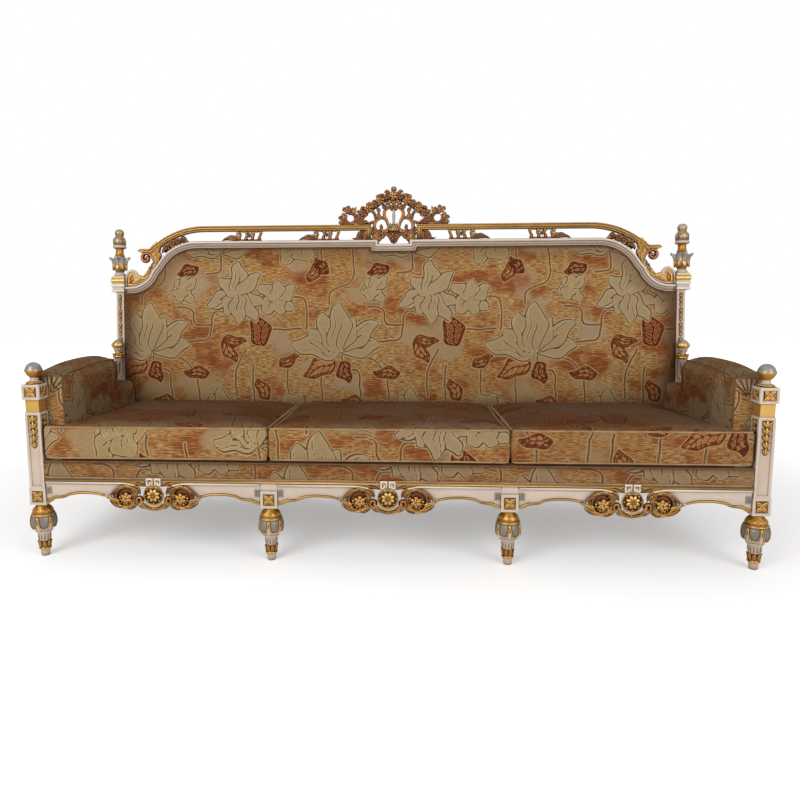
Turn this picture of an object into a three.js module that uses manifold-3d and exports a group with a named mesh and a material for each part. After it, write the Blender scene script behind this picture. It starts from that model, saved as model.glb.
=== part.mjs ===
// Carved and upholstered three-seat salon sofa: painted hardwood frame with gilt carving,
// loose seat cushions, a raked upholstered back under a pierced gallery rail, and padded arms.
// Millimetres, +Z up, +X to the sitter's left as seen from the front, +Y to the back.
import * as THREE from "three";
import { mergeVertices } from "three/addons/utils/BufferGeometryUtils.js";
import Module from "manifold-3d";

const wasm = await Module();
wasm.setup();

// Clearances and cutter overruns
const JOINT_GAP = 0.3;
const CUSHION_GAP = 2;
const OVERRUN = 6;
const MERGE_DISTANCE = 1e-3;

// Plan
const POST_SPAN = 2420;
const LEGS_PER_ROW = 4;
const BACK_SETBACK = 672;
const BACK_RAKE_DEGREES = 5;

// Legs and glides
const LEG_HEIGHT = 190;
const LEG_RADIUS = 42.5;
const LEG_SIDES = 14;
const TENON_RADIUS = 11;
const TENON_LENGTH = 28;
const TENON_SIDES = 10;
const TENON_HOLE_RADIUS = 11.6;
const REAR_LEG_TOP = 50;
const REAR_LEG_FOOT = 30;
const REAR_LEG_SPLAY = 24;

// Front posts, from the leg upwards
const LOWER_BLOCK_WIDTH = 58;
const LOWER_BLOCK_HEIGHT = 60;
const POST_WIDTH = 54;
const POST_SHAFT_HEIGHT = 265;
const POST_NECK_WIDTH = 48;
const POST_NECK_HEIGHT = 44;
const UPPER_BLOCK_WIDTH = 62;
const UPPER_BLOCK_HEIGHT = 52;
const PANEL_RECESS = 3;
const PANEL_BORDER = 9;
const BALL_RADIUS = 31;
const BALL_STEM_RADIUS = 14;
const BALL_COLLAR_RADIUS = 27;
const BALL_STEM_HEIGHT = 15;
const BALL_STEPS = 7;

// Seat frame
const RAIL_THICKNESS = 28;
const RAIL_RISE = 148;
const FRONT_RAIL_SETBACK = 10;
const APRON_RISE = 86;
const APRON_THICKNESS = 22;
const APRON_SETBACK = 5;
const APRON_LOW_RISE = 9;
const APRON_ARCH_RISE = 50;
const BEAD_HEIGHT = 8;
const BEAD_DEPTH = 20;
const SIDE_RAIL_RISE = 22;
const CROSS_RAIL_WIDTH = 44;
const CROSS_RAIL_HEIGHT = 46;
const BAND_THICKNESS = 14;
const BAND_RISE = 4;
const STRAP_WIDTH = 50;
const STRAP_THICKNESS = 3;
const STRAPS_ALONG = 4;
const STRAPS_ACROSS = 13;
const DECK_THICKNESS = 11;
const DECK_SETBACK = 2;

// Applied apron carvings
const CARTOUCHE_WIDTH = 340;
const CARTOUCHE_SHIFT = 7;
const CARTOUCHE_HEIGHT = 88;
const CARTOUCHE_THICKNESS = 13;
const CARTOUCHE_DROP = 10;
const ROSETTE_RADIUS = 23;
const ROSETTE_RISE = 9;
const ROSETTE_SIDES = 10;

// Loose seat cushions
const SEATS = 3;
const CUSHION_HEIGHT = 113;
const CUSHION_CROWN = 34;
const CUSHION_FALL = 28;
const CUSHION_FRONT_OVERHANG = 30;
const CUSHION_BACK_GAP = 62;
const CUSHION_SIDE_DRAW = 5;
const CUSHION_EDGE = 9;
const EAR_OVERLAP = 34;
const COVER_THICKNESS = 4;
const CORE_GAP = 0.8;
const MOUTH_LENGTH = 420;
const MOUTH_HEIGHT = 14;
const MOUTH_DEPTH = 17;
const SIDE_STEPS = 6;

// Arms
const ARM_WIDTH = 112;
const ARM_RISE = 298;
const ARM_CROWN = 26;
const ARM_SHOULDER = 10;
const ARM_REAR_CLEARANCE = 8.7;
const ARM_TAPER_LENGTH = 190;
const ARM_TAPER_WIDTH = 74;
const ARM_HEEL_RISE = 198;
const ARM_HEEL_GAP = 32;
const ARM_BOARD_THICKNESS = 24;
const ARM_BOARD_RISE = 258;
const ARM_SKIN = 4;
const ARM_STATIONS = 10;

// Rear posts and finials; heights above the pivot run along the raked frame
const REAR_BLOCK_RISE = 7;
const REAR_POST_INSET = 7;
const REAR_POST_WIDTH = 34;
const REAR_POST_SHIFT = 6;
const REAR_SHAFT_TOP = 568;
const SHAFT_OVERLAP = 5;
const CAP_BLOCK_WIDTH = 52;
const CAP_BLOCK_HEIGHT = 39;
const CAP_MOULD_WIDTH = 60;
const CAP_MOULD_HEIGHT = 31;
const FINIAL_HEIGHT = 204;
const FINIAL_RADIUS = 30;
const FINIAL_LEAF_REACH = 44;
const FINIAL_LEAF_THICKNESS = 16;
const FINIAL_SIDES = 12;

// Back frame moulding
const MOULDING_WIDTH = 31;
const MOULDING_DEPTH = 38;
const MOULDING_FRONT = 23;
const MOULDING_LEVEL = 771;
const COVE_LEVEL = 577;
const COVE_RADIUS = 120;
const COVE_INSET = 59;
const COVE_END_DEGREES = -21;
const SHOULDER_RADIUS = 185;
const SHOULDER_INSET = 352;
const SHOULDER_START_DEGREES = 151;
const STEP_HALF_WIDTH = 74;
const STEP_DROP = 18;
const STEP_EAR = 15;
const COVE_STEPS = 6;
const BEND_STEPS = 9;

// Gallery rail above the moulding
const GALLERY_WIDTH = 23;
const GALLERY_DEPTH = 26;
const GALLERY_RISE = 68.5;
const GALLERY_RADIUS = 333;
const GALLERY_INSET = 386;
const GALLERY_START_DEGREES = 137;
const GALLERY_INNER_END = 97;
const GALLERY_BAR = 9;
const BRACKET_WIDTH = 106;
const BRACKET_HEIGHT = 98;
const BRACKET_DROP = 49.6;
const BRACKET_INSET = 90;
const SUPPORT_WIDTH = 174;
const SUPPORT_THICKNESS = 16;
const SUPPORT_CENTRES = [["outer", 660], ["inner", 323]];
const SCROLL_THICKNESS = 22;
const SCROLL_HEIGHT_SHARE = 1.18;
const SHOULDER_LEAF_THICKNESS = 14;
const SHOULDER_LEAF_LENGTH = 110;
const SHOULDER_LEAF_HEIGHT = 60;

// Crest
const CREST_WIDTH = 476;
const CREST_HEIGHT = 244;
const CREST_THICKNESS = 20;
const CREST_ROSETTE_RADIUS = 19;

// Upholstered back
const PAD_EDGE = 12;
const PAD_CROWN = 48;
const PAD_BOTTOM = 44;
const PAD_CENTRE_LEVEL = 330;
const BACK_RAIL_LIFT = 3;
const BACK_RAIL_HEIGHT = 38;
const BACK_RAIL_FRONT = 20;
const BACK_LINER_THICKNESS = 3;

// Rear arm consoles
const CONSOLE_WIDTH = 28;
const CONSOLE_STANDOFF = 20;
const CONSOLE_BOTTOM_RISE = 200;
const CONSOLE_TOP_RISE = 290;
const CONSOLE_BALL_RADIUS = 26;
const CONSOLE_BALL_HEIGHT = 80;

// Values worked out from the driving sizes
const HALF_SPAN = POST_SPAN / 2;
const LEG_PITCH = POST_SPAN / (LEGS_PER_ROW - 1);
const RAKE = THREE.MathUtils.degToRad(BACK_RAKE_DEGREES);
const RAIL_TOP = LEG_HEIGHT + RAIL_RISE;
const APRON_TOP = LEG_HEIGHT + APRON_RISE;
const APRON_LOW_EDGE = LEG_HEIGHT + APRON_LOW_RISE;
const APRON_ARCH_EDGE = LEG_HEIGHT + APRON_ARCH_RISE;
const SIDE_RAIL_BOTTOM = LEG_HEIGHT + SIDE_RAIL_RISE;
const CARTOUCHE_BOTTOM = LEG_HEIGHT - CARTOUCHE_DROP;
const ARM_TOP = RAIL_TOP + ARM_RISE;
const ARM_HEEL_TOP = RAIL_TOP + ARM_HEEL_RISE;
const ARM_BOARD_TOP = RAIL_TOP + ARM_BOARD_RISE;
const REAR_BLOCK_TOP = RAIL_TOP + REAR_BLOCK_RISE;
const CONSOLE_BOTTOM = RAIL_TOP + CONSOLE_BOTTOM_RISE;
const CONSOLE_TOP = RAIL_TOP + CONSOLE_TOP_RISE;
const FRONT_FACE = -POST_WIDTH / 2;
const SHAFT_BOTTOM = LEG_HEIGHT + LOWER_BLOCK_HEIGHT;
const SHAFT_TOP = SHAFT_BOTTOM + POST_SHAFT_HEIGHT;
const UPPER_BLOCK_BOTTOM = SHAFT_TOP + POST_NECK_HEIGHT;
const POST_TOP = UPPER_BLOCK_BOTTOM + UPPER_BLOCK_HEIGHT;
const RAIL_SPAN = HALF_SPAN - POST_WIDTH / 2 - JOINT_GAP;
const APRON_FACE = FRONT_FACE + APRON_SETBACK;
const APRON_BACK = APRON_FACE + APRON_THICKNESS;
const FRONT_RAIL_BOTTOM = APRON_TOP + JOINT_GAP;
const FRONT_RAIL_FACE = -FRONT_RAIL_SETBACK;
const FRONT_RAIL_BACK = FRONT_RAIL_FACE + RAIL_THICKNESS;
const REAR_RAIL_FACE = BACK_SETBACK - RAIL_THICKNESS / 2;
const STRAP_BOTTOM = RAIL_TOP + JOINT_GAP;
const STRAP_TOP = STRAP_BOTTOM + STRAP_THICKNESS;
const DECK_BOTTOM = STRAP_TOP + JOINT_GAP;
const CUSHION_BOTTOM = DECK_BOTTOM + DECK_THICKNESS + JOINT_GAP;
const CUSHION_TOP = CUSHION_BOTTOM + CUSHION_HEIGHT;
const CUSHION_FRONT = -CUSHION_FRONT_OVERHANG;
const CUSHION_BACK = BACK_SETBACK - CUSHION_BACK_GAP;
const ARM_OUTER = HALF_SPAN + POST_WIDTH / 2;
const ARM_INNER = ARM_OUTER - ARM_WIDTH;
const ARM_FRONT = UPPER_BLOCK_WIDTH / 2 + JOINT_GAP;
const ARM_REAR = BACK_SETBACK - CONSOLE_STANDOFF - CONSOLE_WIDTH / 2 - ARM_REAR_CLEARANCE;
const ARM_LENGTH = ARM_REAR - ARM_FRONT;
const ARM_HEEL_BACK = BACK_SETBACK - ARM_HEEL_GAP;
const CONSOLE_SETBACK = BACK_SETBACK - CONSOLE_STANDOFF;
const ARM_BOTTOM = STRAP_TOP + JOINT_GAP;
const BOARD_OUTER = ARM_OUTER - ARM_SKIN;
const BOARD_INNER = BOARD_OUTER - ARM_BOARD_THICKNESS;
const CAP_TOP = REAR_SHAFT_TOP + CAP_BLOCK_HEIGHT + CAP_MOULD_HEIGHT;
const CAP_X = HALF_SPAN - REAR_POST_INSET;
const SHAFT_X = CAP_X - REAR_POST_SHIFT;
const REAR_POST_INNER = SHAFT_X - REAR_POST_WIDTH / 2;
const MOULDING_BACK = MOULDING_DEPTH - MOULDING_FRONT;
const CARVING_AXIS = MOULDING_BACK - MOULDING_DEPTH / 2;
const MOULDING_TOP = MOULDING_LEVEL + MOULDING_WIDTH / 2;
const STEP_TOP = MOULDING_TOP - STEP_DROP;
const GALLERY_LEVEL = MOULDING_LEVEL + GALLERY_RISE;
const GALLERY_BOTTOM = GALLERY_LEVEL - GALLERY_WIDTH / 2;
const GALLERY_START = THREE.MathUtils.degToRad(GALLERY_START_DEGREES);
const GALLERY_START_LEVEL = GALLERY_LEVEL - GALLERY_RADIUS * (1 - Math.sin(GALLERY_START));
const BRACKET_FOOT = GALLERY_START_LEVEL - BRACKET_DROP;
const SCROLL_BASE = COVE_LEVEL + MOULDING_WIDTH / 2;
const SCROLL_HEIGHT = (BRACKET_FOOT - SCROLL_BASE) * SCROLL_HEIGHT_SHARE;

// Materials
const paint = (name, color, roughness, metalness) => {
  const made = new THREE.MeshStandardMaterial({ color, roughness, metalness });
  made.name = name;
  return made;
};
const MATERIALS = {
  cream: paint("cream_paint", 0xd9c9b6, 0.45, 0),
  gilt: paint("gilt", 0xb8862e, 0.35, 0.75),
  bronze: paint("bronzed_gilt", 0x8a5426, 0.4, 0.7),
  fabric: paint("jacquard", 0xa9783f, 0.8, 0),
  liner: paint("liner_cloth", 0x8c7550, 0.9, 0),
  foam: paint("foam", 0xe6dfc8, 0.95, 0),
  webbing: paint("webbing", 0x6d5a40, 0.9, 0),
  timber: paint("bare_timber", 0xa98658, 0.7, 0),
};

// Solids and boolean joins
function solidFrom(geometry) {
  const bare = new THREE.BufferGeometry();
  const source = geometry.index ? geometry.toNonIndexed() : geometry;
  bare.setAttribute("position", source.getAttribute("position").clone());
  const merged = mergeVertices(bare, MERGE_DISTANCE);
  return new wasm.Manifold(
    new wasm.Mesh({
      numProp: 3,
      vertProperties: new Float32Array(merged.attributes.position.array),
      triVerts: new Uint32Array(merged.index.array),
    }),
  );
}

function geometryFrom(solid) {
  const mesh = solid.getMesh();
  const places = new Float32Array(mesh.numVert * 3);
  for (let i = 0; i < mesh.numVert; i++) {
    const start = i * mesh.numProp;
    places.set(mesh.vertProperties.subarray(start, start + 3), i * 3);
  }
  const geometry = new THREE.BufferGeometry();
  geometry.setAttribute("position", new THREE.BufferAttribute(places, 3));
  geometry.setIndex(new THREE.BufferAttribute(new Uint32Array(mesh.triVerts), 1));
  geometry.computeVertexNormals();
  return geometry;
}

const join = (geometries) =>
  geometryFrom(geometries.map(solidFrom).reduce((whole, next) => whole.add(next)));

function cut(geometry, cutters) {
  const left = cutters.map(solidFrom).reduce((whole, next) => whole.subtract(next), solidFrom(geometry));
  const largest = left.decompose().reduce((a, b) => (a.volume() > b.volume() ? a : b));
  return geometryFrom(largest);
}

// Basic forms
function box(x0, x1, y0, y1, z0, z1) {
  const made = new THREE.BoxGeometry(Math.abs(x1 - x0), Math.abs(y1 - y0), Math.abs(z1 - z0));
  return made.translate((x0 + x1) / 2, (y0 + y1) / 2, (z0 + z1) / 2);
}

const squareBar = (x, y, width, z0, z1) =>
  box(x - width / 2, x + width / 2, y - width / 2, y + width / 2, z0, z1);

function turned(profile, sides) {
  const points = profile.map(([radius, height]) => new THREE.Vector2(radius, height));
  return new THREE.LatheGeometry(points, sides).rotateX(Math.PI / 2);
}

function peg(x, y, radius, z0, z1) {
  return turned([[0, z0], [radius, z0], [radius, z1], [0, z1]], TENON_SIDES).translate(x, y, 0);
}

// A flat plate drawn in x and z, as thick as y0 to y1.
function plate(outline, y0, y1, holes = []) {
  const shape = new THREE.Shape(outline.map(([x, z]) => new THREE.Vector2(x, z)));
  const made = new THREE.ExtrudeGeometry(shape, { depth: y1 - y0, bevelEnabled: false });
  const sheet = made.rotateX(Math.PI / 2).translate(0, y1, 0);
  return holes.length ? cut(sheet, holes.map((hole) => plate(hole, y0 - OVERRUN, y1 + OVERRUN))) : sheet;
}

// A skin through rings of equal count, closed by a flat cap at each end.
function loft(rings) {
  const count = rings[0].length;
  const points = rings.flat();
  const faces = [];
  for (let r = 0; r + 1 < rings.length; r++) {
    for (let i = 0; i < count; i++) {
      const a = r * count + i;
      const b = r * count + ((i + 1) % count);
      faces.push(a, b, b + count, a, b + count, a + count);
    }
  }
  const capOf = (ring, first, flip) => {
    const middle = ring.reduce((sum, p) => sum.add(p), new THREE.Vector3()).divideScalar(count);
    points.push(middle);
    const centre = points.length - 1;
    for (let i = 0; i < count; i++) {
      const a = first + i;
      const b = first + ((i + 1) % count);
      faces.push(centre, flip ? a : b, flip ? b : a);
    }
  };
  capOf(rings[0], 0, false);
  capOf(rings[rings.length - 1], (rings.length - 1) * count, true);
  const geometry = new THREE.BufferGeometry().setFromPoints(points);
  geometry.setIndex(faces);
  return solidFrom(geometry).volume() < 0 ? turnedOver(geometry) : geometry;
}

function turnedOver(geometry) {
  const index = geometry.index.array;
  for (let i = 0; i < index.length; i += 3) {
    [index[i + 1], index[i + 2]] = [index[i + 2], index[i + 1]];
  }
  return geometry;
}

// A moulding along a path in x and z. Section points are [across, y], across towards the path's left.
function moulding(path, section) {
  const rings = path.map((point, i) => {
    const before = path[Math.max(i - 1, 0)];
    const after = path[Math.min(i + 1, path.length - 1)];
    const along = after.clone().sub(before).normalize();
    return section.map(([across, y]) =>
      new THREE.Vector3(point.x - along.y * across, y, point.y + along.x * across));
  });
  return loft(rings);
}

function arc(centreX, centreZ, radius, fromDegrees, toDegrees, steps) {
  return Array.from({ length: steps + 1 }, (_, i) => {
    const angle = THREE.MathUtils.degToRad(fromDegrees + ((toDegrees - fromDegrees) * i) / steps);
    return new THREE.Vector2(centreX + radius * Math.cos(angle), centreZ + radius * Math.sin(angle));
  });
}

const mirrored = (geometry) => turnedOver(geometryFrom(solidFrom(geometry)).scale(-1, 1, 1));
const carved = (outline, thickness, holes) =>
  plate(outline, CARVING_AXIS - thickness / 2, CARVING_AXIS + thickness / 2, holes);
const scaled = (shares, width, height) => shares.map(([x, z]) => [x * width, z * height]);
const moved = (points, x, z) => points.map(([px, pz]) => [px + x, pz + z]);
const flipped = (points) => points.map(([x, z]) => [-x, z]).reverse();
const bothHalves = (right) => [...right, ...flipped(right.filter(([x]) => x > 0))];
const sides = [["left", -1], ["right", 1]];

// A low flower head lying on a face at y, standing out towards the front.
const ROSETTE_SHARES = [[0, -1], [1, -1], [0.94, 0.3], [0.55, 0.7], [0.3, 0.5], [0.2, 1], [0, 1.05]];

function rosette(x, y, z, radius, rise) {
  const profile = scaled(ROSETTE_SHARES, radius, rise);
  return turned(profile, ROSETTE_SIDES).rotateX(Math.PI / 2).translate(x, y, z);
}

const root = new THREE.Group();
const backFrame = new THREE.Group();
backFrame.position.set(0, BACK_SETBACK, REAR_BLOCK_TOP);
backFrame.rotation.x = -RAKE;
root.add(backFrame);

function piece(name, geometry, material, parent = root) {
  const mesh = new THREE.Mesh(geometry, material);
  mesh.name = name;
  parent.add(mesh);
}

// Legs
const LEG_PROFILE_SHARES = [
  [0.34, 0], [0.37, 0.13], [0.44, 0.14], [0.48, 0.28], [0.43, 0.31], [0.48, 0.46], [0.62, 0.49],
  [0.85, 0.57], [1, 0.69], [0.93, 0.8], [0.7, 0.88], [0.5, 0.94], [0.62, 0.97], [0.62, 1],
];

function turnedLeg(x) {
  const profile = scaled(LEG_PROFILE_SHARES, LEG_RADIUS, LEG_HEIGHT - JOINT_GAP);
  const body = turned([[0, 0], ...profile, [0, LEG_HEIGHT - JOINT_GAP]], LEG_SIDES);
  const tenon = peg(0, 0, TENON_RADIUS, LEG_HEIGHT - OVERRUN, LEG_HEIGHT + TENON_LENGTH);
  return join([body, tenon]).translate(x, 0, 0);
}

function rearLeg(x) {
  const ring = (width, y, z) => [[-1, -1], [1, -1], [1, 1], [-1, 1]].map(([sx, sy]) =>
    new THREE.Vector3(x + (sx * width) / 2, y + (sy * width) / 2, z));
  const top = LEG_HEIGHT - JOINT_GAP;
  const foot = ring(REAR_LEG_FOOT, BACK_SETBACK + REAR_LEG_SPLAY, 0);
  const body = loft([foot, ring(REAR_LEG_TOP, BACK_SETBACK, top)]);
  return join([body, peg(x, BACK_SETBACK, TENON_RADIUS, top - OVERRUN, LEG_HEIGHT + TENON_LENGTH)]);
}

const tenonHole = (x, y, z) =>
  peg(x, y, TENON_HOLE_RADIUS, z - OVERRUN, z + TENON_LENGTH + JOINT_GAP);

const LEG_NAMES = ["left", "inner_left", "inner_right", "right"];
const legX = (i) => -HALF_SPAN + i * LEG_PITCH;
LEG_NAMES.forEach((name, i) => {
  piece("front_leg_" + name, turnedLeg(legX(i)), MATERIALS.cream);
  piece("rear_leg_" + name, rearLeg(legX(i)), MATERIALS.cream);
});

// Front posts with their ball finials
function recess(x, width, z0, z1, faceWidth) {
  const half = width / 2 - PANEL_BORDER;
  const face = faceWidth / 2;
  const low = z0 + PANEL_BORDER;
  const high = z1 - PANEL_BORDER;
  return [
    box(x - half, x + half, -face - OVERRUN, -face + PANEL_RECESS, low, high),
    box(x - face - OVERRUN, x - face + PANEL_RECESS, -half, half, low, high),
    box(x + face - PANEL_RECESS, x + face + OVERRUN, -half, half, low, high),
  ];
}

function frontPost(x) {
  const body = join([
    squareBar(x, 0, LOWER_BLOCK_WIDTH, LEG_HEIGHT, SHAFT_BOTTOM),
    squareBar(x, 0, POST_WIDTH, SHAFT_BOTTOM - OVERRUN, SHAFT_TOP),
    squareBar(x, 0, POST_NECK_WIDTH, SHAFT_TOP - OVERRUN, UPPER_BLOCK_BOTTOM + OVERRUN),
    squareBar(x, 0, UPPER_BLOCK_WIDTH, UPPER_BLOCK_BOTTOM, POST_TOP),
  ]);
  return cut(body, [
    ...recess(x, POST_WIDTH, SHAFT_BOTTOM, SHAFT_TOP, POST_WIDTH),
    ...recess(x, UPPER_BLOCK_WIDTH, UPPER_BLOCK_BOTTOM, POST_TOP, UPPER_BLOCK_WIDTH),
    tenonHole(x, 0, LEG_HEIGHT),
    peg(x, 0, TENON_HOLE_RADIUS, POST_TOP - TENON_LENGTH - JOINT_GAP, POST_TOP + OVERRUN),
  ]);
}

function ballFinial(x) {
  const seat = POST_TOP + JOINT_GAP;
  const centre = seat + BALL_STEM_HEIGHT + Math.sqrt(BALL_RADIUS ** 2 - BALL_STEM_RADIUS ** 2);
  const startDegrees = THREE.MathUtils.radToDeg(Math.acos(BALL_STEM_RADIUS / BALL_RADIUS));
  const quarter = arc(0, centre, BALL_RADIUS, -startDegrees, 90, BALL_STEPS);
  const globe = quarter.map((p) => [Math.max(p.x, 0), p.y]);
  globe[globe.length - 1][0] = 0;
  const profile = [
    [0, seat], [BALL_COLLAR_RADIUS, seat], [BALL_COLLAR_RADIUS, seat + BALL_STEM_HEIGHT / 3],
    [BALL_STEM_RADIUS, seat + (2 * BALL_STEM_HEIGHT) / 3], ...globe,
  ];
  const tenon = peg(0, 0, TENON_RADIUS, POST_TOP - TENON_LENGTH, seat + OVERRUN / 2);
  return join([turned(profile, LEG_SIDES), tenon]).translate(x, 0, 0);
}

for (const [name, sign] of sides) {
  piece("front_post_" + name, frontPost(sign * HALF_SPAN), MATERIALS.cream);
  piece("ball_finial_" + name, ballFinial(sign * HALF_SPAN), MATERIALS.gilt);
}

// Seat frame
function innerBlock(x) {
  const half = LOWER_BLOCK_WIDTH / 2;
  const body = join([
    box(x - half, x + half, -half, half, LEG_HEIGHT, SHAFT_BOTTOM),
    box(x - half, x + half, APRON_FACE, half, SHAFT_BOTTOM - OVERRUN, APRON_TOP),
  ]);
  return cut(body, [tenonHole(x, 0, LEG_HEIGHT)]);
}

const APRON_EDGE_SHARES = [
  [1, 0], [0.93, 0.2], [0.87, 0.46], [0.81, 0.83], [0.77, 0.98], [0.65, 1], [0.57, 0.93], [0.51, 0.7],
  [0.45, 0.58],
];
const APRON_OPENING_SHARES = [[0.37, 0.4], [0.3, 1], [0.12, 1], [0.06, 0.6]];

// The outer carvings sit a little nearer to the middle of the sofa than the middles of their boards.
const carvingShift = (centre) => -Math.sign(centre) * CARTOUCHE_SHIFT;

function apronBoard(centre, half) {
  const rise = APRON_ARCH_EDGE - APRON_LOW_EDGE;
  const openingRise = APRON_TOP - BEAD_HEIGHT - APRON_ARCH_EDGE;
  const edge = moved(scaled(APRON_EDGE_SHARES, half, rise), 0, APRON_LOW_EDGE);
  const opening = moved(scaled(APRON_OPENING_SHARES, CARTOUCHE_WIDTH, openingRise), 0, APRON_ARCH_EDGE);
  const rim = [[half, APRON_TOP], ...edge];
  const outline = [
    ...rim, ...moved([...opening, ...flipped(opening)], carvingShift(centre), 0), ...flipped(rim),
  ];
  return plate(moved(outline, centre, 0), APRON_FACE, APRON_BACK);
}

const apronCentre = (legX(0) + legX(1)) / 2;
const apronHalf = (LEG_PITCH - LOWER_BLOCK_WIDTH) / 2 - JOINT_GAP;
const APRONS = [["left", apronCentre], ["centre", 0], ["right", -apronCentre]];
for (const [name, centre] of APRONS) {
  piece("apron_" + name, apronBoard(centre, apronHalf), MATERIALS.cream);
}

piece("inner_block_left", innerBlock(legX(1)), MATERIALS.cream);
piece("inner_block_right", innerBlock(legX(2)), MATERIALS.cream);

function frontRail() {
  return box(-RAIL_SPAN, RAIL_SPAN, FRONT_RAIL_FACE, FRONT_RAIL_BACK, FRONT_RAIL_BOTTOM, RAIL_TOP);
}
piece("seat_rail_front", frontRail(), MATERIALS.timber);

function rearRail() {
  const reach = HALF_SPAN - LOWER_BLOCK_WIDTH / 2 - JOINT_GAP;
  const back = REAR_RAIL_FACE + RAIL_THICKNESS;
  const body = box(-reach, reach, REAR_RAIL_FACE, back, LEG_HEIGHT, RAIL_TOP);
  return cut(body, [1, 2].map((i) => tenonHole(legX(i), BACK_SETBACK, LEG_HEIGHT)));
}
piece("seat_rail_rear", rearRail(), MATERIALS.cream);

function sideRail(sign) {
  const front = LOWER_BLOCK_WIDTH / 2 + JOINT_GAP;
  const inner = sign * (HALF_SPAN - POST_WIDTH / 2);
  return box(inner, sign * ARM_OUTER, front, BACK_SETBACK - front, SIDE_RAIL_BOTTOM, RAIL_TOP);
}
for (const [name, sign] of sides) piece("seat_rail_" + name, sideRail(sign), MATERIALS.cream);

function crossRail() {
  const half = CROSS_RAIL_WIDTH / 2;
  const front = FRONT_RAIL_BACK + JOINT_GAP;
  const top = FRONT_RAIL_BOTTOM + CROSS_RAIL_HEIGHT;
  return box(-half, half, front, REAR_RAIL_FACE - JOINT_GAP, FRONT_RAIL_BOTTOM, top);
}
piece("cross_rail", crossRail(), MATERIALS.timber);

function apronBead() {
  const back = FRONT_RAIL_FACE - JOINT_GAP;
  const top = FRONT_RAIL_BOTTOM + BEAD_HEIGHT;
  return box(-RAIL_SPAN, RAIL_SPAN, back - BEAD_DEPTH, back, FRONT_RAIL_BOTTOM, top);
}
piece("apron_bead", apronBead(), MATERIALS.gilt);

const BAND_SECTION_SHARES = [[0, 0], [0, 1], [0.6, 1], [1, 0.85], [1, 0.15], [0.6, 0]];

function frontBand() {
  const bottom = FRONT_RAIL_BOTTOM + BEAD_HEIGHT + JOINT_GAP;
  const back = FRONT_RAIL_FACE - JOINT_GAP;
  const height = RAIL_TOP + BAND_RISE - bottom;
  const section = scaled(BAND_SECTION_SHARES, BAND_THICKNESS, height);
  return loft([-RAIL_SPAN, RAIL_SPAN].map((x) =>
    section.map(([out, up]) => new THREE.Vector3(x, back - out, bottom + up))));
}
piece("seat_front_band", frontBand(), MATERIALS.fabric);

function webbing() {
  const half = STRAP_WIDTH / 2;
  const reach = BOARD_INNER - JOINT_GAP - STRAP_THICKNESS;
  const back = REAR_RAIL_FACE + RAIL_THICKNESS;
  const pitchX = (2 * ARM_INNER - STRAP_WIDTH) / (STRAPS_ACROSS - 1);
  const pitchY = (REAR_RAIL_FACE - 2 * STRAP_WIDTH - POST_WIDTH) / (STRAPS_ALONG - 1);
  const across = Array.from({ length: STRAPS_ACROSS }, (_, i) => {
    const x = -ARM_INNER + half + i * pitchX;
    return box(x - half, x + half, FRONT_RAIL_FACE, back, STRAP_BOTTOM, STRAP_TOP);
  });
  const along = Array.from({ length: STRAPS_ALONG }, (_, i) => {
    const y = POST_WIDTH + STRAP_WIDTH + i * pitchY;
    return box(-reach, reach, y - half, y + half, STRAP_BOTTOM, STRAP_TOP);
  });
  return join([...across, ...along]);
}
piece("seat_webbing", webbing(), MATERIALS.webbing);

function seatDeck() {
  const reach = ARM_INNER - JOINT_GAP;
  const front = FRONT_RAIL_FACE + DECK_SETBACK;
  return box(-reach, reach, front, CUSHION_BACK, DECK_BOTTOM, DECK_BOTTOM + DECK_THICKNESS);
}
piece("seat_deck", seatDeck(), MATERIALS.liner);

// Applied carvings on the apron: half outlines in shares of the carving's width and height
const CARTOUCHE_HALF_SHARES = [
  [0, 0], [0.075, 0.04], [0.115, 0.17], [0.16, 0.3], [0.24, 0.18], [0.34, 0.12], [0.44, 0.25],
  [0.5, 0.48], [0.44, 0.58], [0.385, 0.74], [0.33, 0.95], [0.24, 0.99], [0.205, 0.84], [0.17, 0.7],
  [0.125, 0.66], [0.095, 0.72], [0.085, 0.86], [0.045, 0.93], [0, 0.95],
];
const CARTOUCHE_SLOT_SHARES = [
  [-0.08, 0.36], [-0.05, 0.24], [0, 0.2], [0.05, 0.24], [0.08, 0.36], [0, 0.3],
];
const CARTOUCHE_FLOWER_SHARES = [[-0.277, 0.51], [0, 0.6], [0.277, 0.51]];

function cartouche(centre) {
  const spread = (shares) =>
    moved(scaled(shares, CARTOUCHE_WIDTH, CARTOUCHE_HEIGHT), centre, CARTOUCHE_BOTTOM);
  const back = APRON_FACE - JOINT_GAP;
  const front = back - CARTOUCHE_THICKNESS;
  const outline = spread(bothHalves(CARTOUCHE_HALF_SHARES));
  const fret = plate(outline, front, back, [spread(CARTOUCHE_SLOT_SHARES)]);
  const flowers = spread(CARTOUCHE_FLOWER_SHARES)
    .map(([x, z]) => rosette(x, front, z, ROSETTE_RADIUS, ROSETTE_RISE));
  return join([fret, ...flowers]);
}
for (const [name, centre] of APRONS) {
  piece("rose_carving_" + name, cartouche(centre + carvingShift(centre)), MATERIALS.bronze);
}

// Loose cushions: a plan with drawn-in sides, a boxed border and a crowned top that falls to the back.
// The outer cushions have an ear that reaches in front of the arm. Each is a cover round a core.
function drawnSide(from, to, draw, inwards) {
  return Array.from({ length: SIDE_STEPS }, (_, i) => {
    const t = i / SIDE_STEPS;
    const pull = draw * Math.sin(Math.PI * t);
    return new THREE.Vector2().lerpVectors(from, to, t).addScaledVector(inwards, pull);
  });
}

// Where the cushions part: at the arms, and in line with the inner legs.
const seatEdge = (i) => {
  if (i === 0) return -ARM_INNER + CUSHION_GAP / 2;
  return i === SEATS ? ARM_INNER - CUSHION_GAP / 2 : legX(i);
};

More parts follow.
